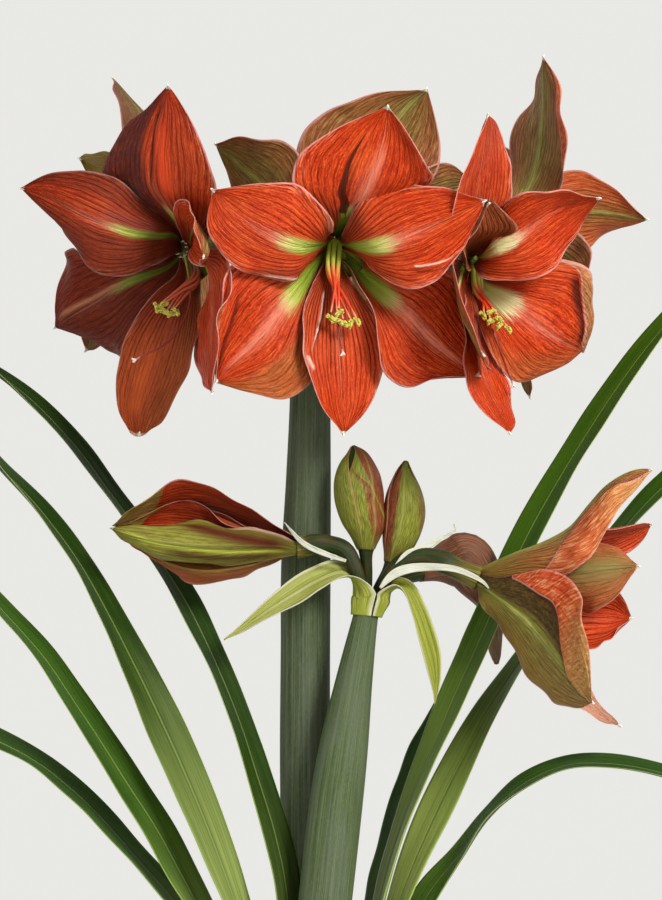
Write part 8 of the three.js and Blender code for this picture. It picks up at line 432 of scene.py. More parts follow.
def blob(b, c, r, mat, seed=0, scale=(1, 1, 1), rough=0.12, n=8, axes=None):
    """Small irregular lump."""
    verts, faces, uvs = [], [], []
    m = n * 2
    A = np.eye(3) if axes is None else np.array(axes)
    for i in range(1, n):
        ph = math.pi * i / n
        for k in range(m):
            a = 2 * math.pi * k / m
            d = np.array([math.sin(ph) * math.cos(a), math.sin(ph) * math.sin(a), math.cos(ph)])
            rr = r * (1 + rough * math.sin(3.1 * d[0] * 2 + seed) * math.cos(2.7 * d[1] * 2 + seed * 1.7) + rough * 0.6 * math.sin(7 * d[2] + 5 * d[0] + seed * 2.3))
            verts.append(np.array(c) + (d * rr * np.array(scale)) @ A)
    top = len(verts); verts.append(np.array(c) + (np.array([0, 0, r * scale[2]])) @ A)
    bot = len(verts); verts.append(np.array(c) - (np.array([0, 0, r * scale[2]])) @ A)
    for i in range(n - 2):
        for k in range(m):
            k2 = (k + 1) % m
            faces.append((i * m + k, (i + 1) * m + k, (i + 1) * m + k2, i * m + k2))
            uvs.append([(k / m, i / n)] * 4)
    for k in range(m):
        k2 = (k + 1) % m
        faces.append((top, k, k2)); uvs.append([(0, 0)] * 3)
        faces.append((bot, (n - 2) * m + k2, (n - 2) * m + k)); uvs.append([(0, 1)] * 3)
    b.add(verts, faces, uvs, mat)


# ---------------------------------------------------------------- material helpers
def lin(r, g, b):
    f = lambda c: c / 12.92 if c <= 0.04045 else ((c + 0.055) / 1.055) ** 2.4
    return (f(r / 255), f(g / 255), f(b / 255), 1.0)


class Tree:
    def __init__(self, tree):
        self.t = tree

    def n(self, kind, **kw):
        node = self.t.nodes.new(kind)
        for k, v in kw.items():
            setattr(node, k, v)
        return node

    def put(self, sock, v):
        if isinstance(v, bpy.types.NodeSocket):
            self.t.links.new(v, sock)
        else:
            sock.default_value = v

    def m(self, op, a, b=0.0, c=None, clamp=False):
        node = self.n('ShaderNodeMath', operation=op, use_clamp=clamp)
        self.put(node.inputs[0], a)
        self.put(node.inputs[1], b)
        if c is not None:
            self.put(node.inputs[2], c)
        return node.outputs[0]

    def add(self, a, b): return self.m('ADD', a, b)
    def sub(self, a, b): return self.m('SUBTRACT', a, b)
    def mul(self, a, b): return self.m('MULTIPLY', a, b)
    def div(self, a, b): return self.m('DIVIDE', a, b)
    def pow(self, a, b): return self.m('POWER', a, b)
    def inv(self, a): return self.m('SUBTRACT', 1.0, a)

    def smooth(self, x, a, b, lo=0.0, hi=1.0):
        node = self.n('ShaderNodeMapRange', interpolation_type='SMOOTHSTEP', clamp=True)
        for k, v in zip((0, 1, 2, 3, 4), (x, a, b, lo, hi)):
            self.put(node.inputs[k], v)
        return node.outputs[0]

    def gauss(self, x, w):
        q = self.div(x, w)
        return self.m('EXPONENT', self.mul(self.mul(q, q), -1.0))

    def mix(self, f, a, b, blend='MIX'):
        node = self.n('ShaderNodeMix', data_type='RGBA', blend_type=blend)
        self.put(node.inputs[0], f)
        self.put(node.inputs[6], a)
        self.put(node.inputs[7], b)
        return node.outputs[2]

    def vec(self, x=0.0, y=0.0, z=0.0):
        node = self.n('ShaderNodeCombineXYZ')
        for k, v in enumerate((x, y, z)):
            self.put(node.inputs[k], v)
        return node.outputs[0]

    def sep(self, v):
        node = self.n('ShaderNodeSeparateXYZ')
        self.put(node.inputs[0], v)
        return node.outputs[0], node.outputs[1], node.outputs[2]

    def noise(self, v, scale=1.0, detail=2.0, rough=0.5, dist=0.0):
        node = self.n('ShaderNodeTexNoise')
        self.put(node.inputs['Vector'], v)
        node.inputs['Scale'].default_value = scale
        node.inputs['Detail'].default_value = detail
        node.inputs['Roughness'].default_value = rough
        node.inputs['Distortion'].default_value = dist
        return node.outputs['Fac']

    def cells(self, v, scale=1.0, feature='DISTANCE_TO_EDGE'):
        node = self.n('ShaderNodeTexVoronoi', feature=feature)
        self.put(node.inputs['Vector'], v)
        node.inputs['Scale'].default_value = scale
        return node.outputs['Distance']

    def ramp(self, f, stops, interp='LINEAR'):
        node = self.n('ShaderNodeValToRGB')
        node.color_ramp.interpolation = interp
        e = node.color_ramp.elements
        while len(e) > 1:
            e.remove(e[0])
        e[0].position, e[0].color = stops[0]
        for p, c in stops[1:]:
            k = e.new(p)
            k.color = c
        self.put(node.inputs[0], f)
        return node.outputs[0]

    def st(self):
        node = self.n('ShaderNodeUVMap', uv_map='st')
        x, y, _ = self.sep(node.outputs[0])
        return x, y

    def obj(self):
        return self.n('ShaderNodeTexCoord').outputs['Object']


def new_material(name, build, rough=0.5, spec=0.4, **sockets):
    """build(tree) returns colour, roughness (socket or None), height (socket or None), bump distance in metres."""
    mat = bpy.data.materials.new(name)
    mat.use_nodes = True
    t = Tree(mat.node_tree)
    mat.node_tree.nodes.clear()
    out = t.n('ShaderNodeOutputMaterial')
    bs = t.n('ShaderNodeBsdfPrincipled')
    mat.node_tree.links.new(bs.outputs[0], out.inputs[0])
    col, rgh, hgt, dist = build(t)
    t.put(bs.inputs['Base Color'], col)
    bs.inputs['Roughness'].default_value = rough
    if rgh is not None:
        t.put(bs.inputs['Roughness'], rgh)
    bs.inputs['Specular IOR Level'].default_value = spec
    for k, v in sockets.items():
        bs.inputs[k.replace('_', ' ')].default_value = v
    if hgt is not None:
        bump = t.n('ShaderNodeBump')
        bump.inputs['Strength'].default_value = 1.0
        bump.inputs['Distance'].default_value = dist
        t.put(bump.inputs['Height'], hgt)
        mat.node_tree.links.new(bump.outputs[0], bs.inputs['Normal'])
    return mat


def group(name, ins, outs, build):
    g = bpy.data.node_groups.new(name, 'ShaderNodeTree')
    for k, v in ins.items():
        kind = 'NodeSocketColor' if isinstance(v, tuple) else 'NodeSocketFloat'
        s = g.interface.new_socket(name=k, in_out='INPUT', socket_type=kind)
        s.default_value = v
    for k, kind in outs.items():
        g.interface.new_socket(name=k, in_out='OUTPUT', socket_type=kind)
    t = Tree(g)
    gi, go = t.n('NodeGroupInput'), t.n('NodeGroupOutput')
    res = build(t, {k: gi.outputs[k] for k in ins})
    for k, v in res.items():
        t.put(go.inputs[k], v)
    return g


def use_group(t, g, **values):
    node = t.n('ShaderNodeGroup')
    node.node_tree = g
    for k, v in values.items():
        t.put(node.inputs[k], v)
    return node


# ---------------------------------------------------------------- tepal patterns
def tepal_veins(t, s, a, v, seed):
    """Vein fields shared by both sides of a tepal."""
    side = t.m('SIGN', s)
    wob = t.sub(t.noise(t.vec(t.mul(s, 1.7), t.mul(v, 2.4), seed), 1.0, 1.0), 0.5)
    wig = t.sub(t.noise(t.vec(t.mul(s, 7.0), t.mul(v, 14.0), t.add(seed, 5.0)), 1.0, 1.0), 0.5)
    q = t.div(a, t.add(0.58, t.mul(v, 0.66)))
    q = t.add(q, t.add(t.mul(wob, 0.08), t.mul(wig, 0.022)))
    qs = t.mul(q, side)
    w1 = t.m('SINE', t.add(t.mul(q, 6.2832 * 9.0), t.add(t.mul(side, 0.8), t.mul(wob, 3.0))))
    w1 = t.add(t.mul(w1, 0.5), 0.5)
    main = t.mul(t.pow(w1, 2.6), t.smooth(t.noise(t.vec(t.mul(qs, 9.0), t.mul(v, 3.0), seed), 1.0, 1.0), 0.32, 0.55, 0.35, 1.0))
    w2 = t.m('SINE', t.add(t.mul(q, 6.2832 * 22.0), t.add(t.mul(wob, 9.0), t.add(seed, t.mul(wig, 5.0)))))
    fine = t.pow(t.add(t.mul(w2, 0.5), 0.5), 2.0)
    fine = t.mul(fine, t.smooth(t.noise(t.vec(t.mul(qs, 14.0), t.mul(v, 9.0), seed), 1.0, 1.0), 0.36, 0.56, 0.15, 1.0))
    # flecks stretched along the veins
    fl = t.noise(t.vec(t.mul(qs, 42.0), t.mul(v, 15.0), seed), 1.0, 3.0, 0.66)
    grain = t.noise(t.vec(t.mul(qs, 86.0), t.mul(v, 62.0), seed), 1.0, 2.0, 0.6)
    net = t.cells(t.vec(t.mul(qs, 42.0), t.mul(v, 26.0), seed), 1.0)
    patch = t.noise(t.vec(t.mul(s, 2.2), t.mul(v, 3.4), t.add(seed, 9.0)), 1.0, 2.0, 0.55)
    return q, main, fine, fl, grain, net, patch


def build_inner(t, i):
    x, v = t.st()
    s = t.mul(t.sub(x, 0.5), 2.0)
    a = t.m('ABSOLUTE', s)
    seed = i['Seed']
    q, main, fine, fl, grain, net, patch = tepal_veins(t, s, a, v, seed)
    base = t.ramp(fl, [(0.26, lin(140, 26, 6)), (0.40, lin(198, 46, 8)), (0.52, lin(228, 68, 14)), (0.64, lin(244, 92, 26)), (0.80, lin(252, 140, 80))])
    base = t.mix(t.mul(t.smooth(grain, 0.53, 0.70), 0.58), base, lin(250, 132, 70))
    base = t.mix(t.mul(t.inv(t.smooth(grain, 0.28, 0.46)), 0.62), base, lin(136, 26, 6))
    base = t.mix(t.mul(t.inv(t.smooth(net, 0.02, 0.14)), 0.36), base, lin(140, 28, 8))
    # paler and darker patches
    base = t.mix(t.mul(t.smooth(patch, 0.52, 0.72), 0.26), base, lin(250, 118, 56))
    base = t.mix(t.mul(t.inv(t.smooth(patch, 0.30, 0.46)), 0.26), base, lin(196, 48, 14))
    # fine veins everywhere, long dark ones towards the throat
    base = t.mix(t.mul(fine, 0.50), base, lin(122, 22, 6))
    reach = t.inv(t.smooth(v, t.mul(i['Dark reach'], 0.55), t.mul(i['Dark reach'], 1.75)))
    base = t.mix(t.mul(main, t.add(0.36, t.mul(reach, 0.56))), base, lin(92, 16, 6))
    # brown throat outside the star, partly real colour and partly painted shade of the deep throat
    th = t.mul(t.inv(t.smooth(v, 0.10, i['Dark reach'])), i['Dark'])
    th = t.mul(th, t.add(0.40, t.mul(main, 0.60)))
    base = t.mix(t.mul(t.mul(t.smooth(v, 0.10, 0.20), t.inv(t.smooth(v, t.mul(i['Dark reach'], 0.7), t.mul(i['Dark reach'], 1.5)))), t.mul(t.inv(main), 0.22)), base, lin(238, 112, 66))
    base = t.mix(th, base, lin(70, 20, 12))
    base = t.mix(t.mul(t.mul(t.smooth(a, 0.78, 0.98), t.smooth(fl, 0.50, 0.62)), 0.42), base, lin(252, 176, 138))
    # painted shade: a shaded flower made darker and browner, together with the real browning of some tepals
    base = t.mix(i['Brown'], base, t.mix(1.0, base, lin(150, 112, 84), 'MULTIPLY'))
    base = t.mix(t.mul(i['Brown'], 0.30), base, t.ramp(fl, [(0.3, lin(70, 28, 14)), (0.55, lin(128, 58, 26)), (0.75, lin(182, 104, 60))]))
    # pink stripe along the middle
    pk = t.gauss(a, t.add(0.07, t.mul(t.inv(v), 0.13)))
    pk = t.mul(pk, t.smooth(v, t.mul(i['Star'], 0.6), t.mul(i['Star'], 1.05)))
    pk = t.mul(pk, t.inv(t.smooth(v, t.mul(i['Pink'], 0.55), i['Pink'])))
    pk = t.mul(pk, t.smooth(fl, 0.30, 0.62, 0.42, 1.0))
    pk = t.mul(pk, t.smooth(grain, 0.3, 0.6, 0.6, 1.0))
    base = t.mix(t.mul(pk, i['Pink strength']), base, t.mix(i['Brown'], lin(240, 138, 112), lin(168, 92, 74)))
    # thin paler line right on the midrib
    base = t.mix(t.mul(t.gauss(a, 0.014), t.mul(t.smooth(v, 0.3, 0.6), 0.30)), base, lin(250, 176, 146))
    # green and cream star with a feathered end
    yv = t.div(v, i['Star'])
    yv = t.add(yv, t.mul(t.sub(fl, 0.5), 0.34))
    k = t.m('MULTIPLY', t.inv(yv), 1.0, clamp=True)
    w = t.mul(t.pow(k, 0.42), i['Star width'])
    aa = t.add(a, t.mul(t.sub(fl, 0.5), 0.14))
    mask = t.mul(t.inv(t.smooth(aa, t.mul(w, 0.50), t.add(t.mul(w, 1.18), 0.02))), t.smooth(k, 0.0, 0.24))
    g = t.ramp(yv, [(0.0, lin(92, 118, 16)), (0.30, lin(112, 140, 20)), (0.52, lin(140, 168, 32)), (0.72, lin(188, 200, 80)), (0.88, lin(234, 216, 144)), (1.0, lin(246, 200, 168))])
    c = t.ramp(yv, [(0.0, lin(206, 220, 100)), (0.35, lin(238, 246, 138)), (0.7, lin(255, 252, 182)), (1.0, lin(252, 220, 184))])
    star = t.mix(i['Cream'], g, c)
    star = t.mix(t.mul(fine, t.sub(0.30, t.mul(i['Cream'], 0.27))), star, t.mix(0.6, star, lin(96, 112, 30), 'MULTIPLY'))
    star = t.mix(t.mul(t.smooth(a, t.mul(w, 0.35), w), t.sub(0.4, t.mul(i['Cream'], 0.36))), star, t.mix(0.7, star, lin(150, 150, 60), 'MULTIPLY'))
    star = t.mix(t.mul(i['Brown'], 0.8), star, t.mix(1.0, star, lin(158, 150, 128), 'MULTIPLY'))
    base = t.mix(mask, base, star)
    # pale, thin, uneven margin and white tip
    mg = t.smooth(t.add(a, t.mul(t.sub(grain, 0.5), 0.03)), 0.955, 0.985)
    base = t.mix(t.mul(mg, 0.62), base, t.mix(i['Brown'], lin(240, 178, 170), lin(176, 124, 124)))
    base = t.mix(t.smooth(v, 0.978, 0.99), base, lin(246, 228, 208))
    h = t.add(t.mul(main, -0.55), t.add(t.mul(fl, 0.8), t.add(t.mul(fine, -0.4), t.mul(grain, 0.35))))
    r = t.add(0.34, t.mul(grain, 0.24))
    return {'Color': base, 'Rough': r, 'Height': h}


def build_outer(t, i):
    x, v = t.st()
    s = t.mul(t.sub(x, 0.5), 2.0)
    a = t.m('ABSOLUTE', s)
    seed = i['Seed']
    q, main, fine, fl, grain, net, patch = tepal_veins(t, s, a, v, seed)
    olive = t.ramp(fl, [(0.26, lin(84, 70, 28)), (0.42, lin(124, 108, 48)), (0.56, lin(156, 140, 72)), (0.72, lin(186, 172, 104)), (0.86, lin(208, 190, 132))])
    red = t.ramp(fl, [(0.26, lin(82, 32, 18)), (0.42, lin(128, 58, 34)), (0.58, lin(168, 88, 54)), (0.78, lin(206, 138, 98))])
    f = t.add(t.mul(t.smooth(a, 0.12, 0.8), 0.60), t.mul(main, 0.35))
    f = t.add(f, t.mul(t.sub(patch, 0.5), 1.1))
    f = t.mul(f, t.smooth(grain, 0.25, 0.6, 0.65, 1.0))
    f = t.m('ADD', f, t.mul(i['Warm'], 0.45), clamp=True)
    base = t.mix(f, olive, red)
    hot = t.ramp(fl, [(0.26, lin(176, 48, 18)), (0.42, lin(214, 78, 34)), (0.58, lin(238, 112, 62)), (0.78, lin(248, 172, 132))])
    base = t.mix(t.mul(i['Warm'], t.smooth(a, 0.1, 0.7, 0.35, 1.0)), base, hot)
    base = t.mix(t.mul(t.smooth(grain, 0.54, 0.72), 0.30), base, lin(214, 176, 128))
    base = t.mix(t.mul(t.inv(t.smooth(grain, 0.28, 0.44)), 0.40), base, lin(78, 38, 18))
    base = t.mix(t.mul(fine, 0.38), base, lin(92, 42, 22))
    base = t.mix(t.mul(main, 0.34), base, lin(82, 34, 18))
    gr = t.ramp(fl, [(0.26, lin(112, 114, 30)), (0.5, lin(152, 158, 54)), (0.75, lin(192, 194, 96))])
    base = t.mix(t.mul(i['Green'], t.mul(t.inv(t.mul(main, 0.7)), t.smooth(patch, 0.34, 0.54, 0.35, 1.0))), base, gr)
    # green keel with a paler line on each side
    kd = t.gauss(a, t.add(0.05, t.mul(t.inv(v), 0.10)))
    base = t.mix(t.mul(kd, 0.74), base, t.ramp(fl, [(0.3, lin(110, 116, 46)), (0.5, lin(146, 150, 68)), (0.7, lin(176, 176, 96))]))
    base = t.mix(t.mul(t.gauss(t.sub(a, 0.024), 0.012), 0.35), base, lin(196, 192, 120))
    # greener towards the tube
    base = t.mix(t.mul(t.inv(t.smooth(v, 0.02, 0.42)), 0.55), base, t.mix(t.m('ADD', t.mul(main, 0.7), t.mul(fine, 0.4), clamp=True), lin(128, 136, 44), lin(72, 40, 20)))
    mg = t.smooth(t.add(a, t.mul(t.sub(grain, 0.5), 0.03)), 0.945, 0.985)
    base = t.mix(t.mul(mg, 0.75), base, lin(222, 160, 156))
    base = t.mix(t.smooth(v, 0.978, 0.99), base, lin(240, 222, 204))
    # painted shade and real browning: the Brown input darkens the outer side too
    base = t.mix(i['Brown'], base, t.mix(1.0, base, lin(176, 150, 140), 'MULTIPLY'))
    h = t.add(t.mul(main, 0.55), t.add(t.mul(fl, 0.8), t.add(t.mul(kd, 1.6), t.mul(grain, 0.35))))
    r = t.add(0.38, t.mul(grain, 0.24))
    return {'Color': base, 'Rough': r, 'Height': h}


OUTS = {'Color': 'NodeSocketColor', 'Rough': 'NodeSocketFloat', 'Height': 'NodeSocketFloat'}
# the Brown input is real browning together with painted shade for tepals in shadow; it darkens every layer it reaches
INNER = group('tepal_inside', {'Seed': 0.0, 'Star': 0.5, 'Star width': 0.3, 'Cream': 0.0, 'Pink': 0.95, 'Pink strength': 0.8,
                               'Dark': 0.7, 'Dark reach': 0.45, 'Brown': 0.0}, OUTS, build_inner)
OUTER = group('tepal_outside', {'Seed': 0.0, 'Warm': 0.0, 'Green': 0.0, 'Brown': 0.0}, OUTS, build_outer)

# DARK and the umber tone are painted shade and shadow, laid in folds, creases and shaded parts of the tepals
DARK, SHADE_UMBER, PALE, SALMON, RED = lin(46, 12, 8), lin(92, 40, 20), lin(246, 214, 196), lin(242, 142, 112), lin(226, 56, 22)
MAUVE, OLIVE, CREAM, LIGHT = lin(134, 78, 74), lin(150, 146, 66), lin(240, 232, 184), lin(252, 150, 98)

# What single tepals show besides their veins. Each entry: kind, which side (in, out, both), line through
# (across, along) points, softness in mm, relief in mm, strength, colour.
#   cut:  a fold, with painted shade dark along the line and fading to its left     line: a narrow stripe
#   area: everything to the left of the line                     band: the same, showing the other side of the tepal
#   wedge: a crisp painted shadow in a groove to the left of the line, as wide as the softness and narrowing to nothing
#       at its end
FEATURES = {
    'T1': [('wedge', 'in', [(0.44, 0.34), (0.43, 0.42), (0.38, 0.49), (0.36, 0.59), (0.32, 0.72), (0.30, 0.86)], 5.6, 2.2, 0.9, lin(78, 28, 14)),
           ('line', 'in', [(0.50, 0.40), (0.505, 0.60), (0.528, 0.82)], 2.2, 0.9, 0.55, SALMON),
           ('area', 'in', [(0.80, 0.5), (0.86, 0.8), (0.95, 1.0)], 6.0, 0.0, 0.0, RED)],
    'T2': [('line', 'in', [(0.03, 0.33), (0.055, 0.40), (0.05, 0.47), (0.01, 0.53)], 0.7, 1.6, 0.9, PALE),
           ('area', 'in', [(0.14, 0.24), (0.18, 0.42), (0.10, 0.54), (0.0, 0.60)], 3.0, 0.0, 0.55, SHADE_UMBER),
           ('area', 'in', [(1.0, 0.42), (0.90, 0.34), (0.93, 0.27), (1.0, 0.22)], 0.8, -2.2, 0.75, SALMON)],
    'T3': [('line', 'in', [(0.78, 0.545), (0.80, 0.565), (0.854, 0.649), (0.96, 0.76)], 0.5, 1.0, 0.8, PALE),
           ('cut', 'in', [(0.985, 0.72), (0.87, 0.60), (0.82, 0.53)], 2.4, 0.8, 0.55, DARK),
           ('area', 'in', [(0.18, 0.2), (0.24, 0.34), (0.05, 0.42)], 3.5, 0.0, 0.55, DARK)],
    'T4': [('cut', 'in', [(0.85, 0.60), (0.805, 0.69), (0.789, 0.795), (0.755, 0.90), (0.76, 0.985)], 3.4, 1.8, 0.7, DARK),
           ('line', 'in', [(0.50, 0.48), (0.515, 0.66), (0.505, 0.94)], 1.6, 1.0, 0.5, SALMON),
           # T4: the brown area is partly painted shadow cast by T6 and partly the tepal's own brown-olive colour
           ('area', 'in', [(0.14, 0.36), (0.26, 0.55), (0.30, 0.75), (0.20, 0.97)], 5.0, 0.0, 0.62, lin(120, 74, 30))],
    'T5': [('line', 'in', [(0.49, 0.45), (0.472, 0.664), (0.462, 0.93)], 1.7, 1.0, 0.5, SALMON),
           ('area', 'in', [(1.0, 0.90), (0.90, 0.74), (0.90, 0.60), (1.0, 0.48)], 4.0, 0.0, 0.35, SHADE_UMBER)],
    'T6': [('line', 'in', [(0.70, 0.24), (0.724, 0.293), (0.734, 0.371), (0.779, 0.471), (0.869, 0.583)], 0.55, 1.4, 0.85, PALE),
           ('cut', 'in', [(0.69, 0.2), (0.715, 0.293), (0.725, 0.371), (0.77, 0.471), (0.86, 0.575)], 2.0, 0.8, 0.8, DARK),
           ('line', 'in', [(0.96, 0.60), (0.90, 0.68)], 1.6, 0.8, 0.75, PALE)],
    # L1: the dark left part is painted shade, and the cut is a painted shaded fold
    'L1': [('area', 'in', [(0.34, 0.02), (0.46, 0.30), (0.44, 0.55), (0.36, 0.74), (0.40, 0.97)], 3.5, 0.0, 1.0, lin(70, 28, 24)),
           ('cut', 'in', [(0.44, 0.93), (0.45, 0.80), (0.492, 0.63), (0.47, 0.475)], 2.6, 1.2, 0.8, DARK),
           ('line', 'in', [(0.62, 0.40), (0.60, 0.60), (0.55, 0.85)], 4.0, 0.6, 0.6, lin(232, 74, 34))],
    'L2': [('area', 'in', [(0.42, 0.10), (0.42, 0.50), (0.40, 0.90)], 3.5, 0.0, 0.72, SHADE_UMBER),
           ('area', 'in', [(0.78, 0.80), (0.74, 0.5), (0.72, 0.2)], 3.5, 0.0, 0.62, SHADE_UMBER),
           ('line', 'in', [(0.62, 0.20), (0.62, 0.40), (0.60, 0.58)], 4.0, 0.0, 0.4, MAUVE)],
    'L3': [('line', 'in', [(0.52, 0.40), (0.543, 0.649), (0.598, 0.93)], 1.4, 0.8, 0.85, lin(206, 134, 96)),
           ('area', 'in', [(0.02, 0.2), (0.50, 0.44), (0.56, 0.9)], 2.0, 0.0, 0.35, SHADE_UMBER)],
    'L4': [('area', 'in', [(0.34, 0.20), (0.38, 0.55), (0.30, 0.98)], 7.0, 0.0, 0.42, lin(104, 62, 22)),
           ('area', 'in', [(0.0, 0.52), (0.5, 0.42), (1.0, 0.46)], 12.0, 0.0, 0.5, lin(206, 98, 42)),
           ('line', 'in', [(0.60, 0.50), (0.62, 0.71), (0.62, 0.93)], 5.0, 0.0, 0.5, lin(232, 104, 46))],
    'R3': [('area', 'in', [(1.0, 0.30), (0.78, 0.22), (0.74, 0.06)], 2.6, 0.0, 0.5, lin(150, 92, 80)),
           ('area', 'in', [(0.03, 0.24), (0.22, 0.30), (0.30, 0.16)], 2.5, 0.0, 0.0, CREAM)],
    'R4': [('band', 'in', [(0.0, 0.40), (0.03, 0.467), (0.095, 0.571), (0.146, 0.722), (0.231, 0.842), (0.427, 0.95)], 0.3, -1.2, 1.0, OLIVE),
           ('cut', 'in', [(0.44, 0.94), (0.25, 0.842), (0.165, 0.722), (0.115, 0.571), (0.05, 0.467)], 8.5, 0.6, 0.85, DARK),
           ('area', 'in', [(0.98, 0.30), (0.72, 0.62), (0.55, 0.98)][::-1], 9.0, 0.0, 0.5, lin(196, 112, 56))],
    'S1': [('band', 'out', [(0.0, 0.30), (0.06, 0.305), (0.226, 0.398), (0.40, 0.53), (0.332, 0.672), (0.181, 0.846), (0.12, 0.97)], 0.3, 1.2, 1.0, RED),
           ('cut', 'out', [(0.14, 0.97), (0.20, 0.846), (0.352, 0.672), (0.42, 0.53), (0.246, 0.398)], 2.6, 0.0, 0.5, SHADE_UMBER)],
    'H2': [('line', 'out', [(0.985, 0.10), (0.985, 0.30), (0.985, 0.50), (0.985, 0.68)], 1.8, 0.4, 0.8, lin(226, 168, 140)),
           ('line', 'both', [(0.02, 0.10), (0.02, 0.35), (0.02, 0.60)], 1.4, 0.4, 0.7, lin(222, 160, 136)),
           ('area', 'both', [(1.0, 0.0), (1.0, 0.5), (1.0, 1.0)], 0.4, 0.0, 0.5, lin(168, 92, 44))],
    'K1': [('band', 'out', [(0.0, 0.46), (0.09, 0.56), (0.14, 0.68), (0.15, 0.80), (0.06, 0.92), (0.0, 0.95)], 0.25, 0.8, 1.0, RED),
           ('area', 'out', [(0.60, 0.30), (0.58, 0.60), (0.56, 0.95)], 4.0, 0.0, 0.0, SHADE_UMBER)],
    'B1': [('area', 'both', [(1.0, 0.0), (1.0, 0.5), (1.0, 1.0)], 0.4, 0.0, 0.75, lin(96, 48, 28))],
    'B2': [('area', 'both', [(1.0, 0.0), (1.0, 0.5), (1.0, 1.0)], 0.4, 0.0, 0.85, lin(104, 98, 36))],
    'R2': [('area', 'in', [(1.0, 0.0), (1.0, 0.5), (1.0, 1.0)], 0.4, 0.0, 0.6, lin(126, 74, 34))],
    'S6': [('area', 'both', [(0.0, 0.60), (0.5, 0.62), (1.0, 0.60)], 4.0, 0.0, 0.8, lin(228, 172, 142)),
           ('area', 'both', [(1.0, 0.60), (0.5, 0.58), (0.0, 0.60)], 4.0, 0.0, 0.75, lin(150, 104, 84))],
    'S3': [('area', 'out', [(1.0, 0.0), (1.0, 0.5), (1.0, 1.0)], 0.4, 0.0, 0.35, lin(220, 150, 92)),
           ('line', 'out', [(0.5, -0.2), (0.5, 0.5), (0.5, 1.0)], 10.0, 0.0, 0.66, lin(164, 156, 92))],
    'H1': [('area', 'out', [(1.0, 0.0), (1.0, 0.5), (1.0, 1.0)], 0.4, 0.0, 0.45, lin(112, 108, 38)),
           ('line', 'out', [(0.16, 0.72), (0.30, 0.46), (0.38, 0.26), (0.48, 0.02)], 4.6, 0.0, 1.0, lin(92, 38, 20)),
           ('line', 'out', [(0.64, 0.76), (0.67, 0.52), (0.75, 0.32), (0.88, 0.04)], 2.8, 0.0, 0.9, lin(74, 46, 20)),
           ('line', 'out', [(0.40, 0.96), (0.53, 0.79), (0.57, 0.53), (0.64, 0.28), (0.74, 0.06)], 1.1, 0.9, 0.95, lin(188, 196, 74)),
           ('line', 'out', [(0.05, 0.40), (0.04, 0.20), (0.04, 0.02)], 1.0, 0.5, 0.8, lin(222, 176, 156))],
    'H3': [('area', 'in', [(0.05, 0.90), (0.38, 0.82), (0.53, 0.77), (1.0, 0.73)], 1.4, 0.0, 0.9, lin(122, 108, 50))],
    'H4': [('area', 'in', [(0.30, 0.95), (0.60, 0.87), (0.78, 0.83), (1.0, 0.74)], 0.9, 0.0, 0.95, lin(132, 122, 58))],
    'S2': [('area', 'out', [(0.47, 0.97), (0.53, 0.82), (0.57, 0.66), (0.58, 0.45), (0.56, 0.25), (0.55, 0.06)], 3.2, 0.0, 1.0, lin(58, 30, 16)),
           ('line', 'out', [(0.47, 0.84), (0.53, 0.66), (0.54, 0.45), (0.52, 0.24), (0.50, 0.06)], 0.8, 0.8, 0.55, lin(150, 154, 66)),
           ('band', 'out', [(0.40, 1.0), (0.42, 0.90), (0.47, 0.80), (0.56, 0.74), (0.653, 0.672), (0.745, 0.595), (0.79, 0.498), (0.779, 0.398), (0.814, 0.313), (0.92, 0.212), (0.99, 0.20)], 0.3, 1.6, 1.0, RED),
           ('cut', 'out', [(0.80, 0.313), (0.77, 0.398), (0.78, 0.498), (0.735, 0.59), (0.64, 0.66), (0.54, 0.73), (0.45, 0.80), (0.40, 0.90), (0.38, 0.99)], 3.4, 0.0, 0.62, SHADE_UMBER)],
}
BROWN_TIPS = {}


def strokes(key):
    return FEATURES.get(key, [])


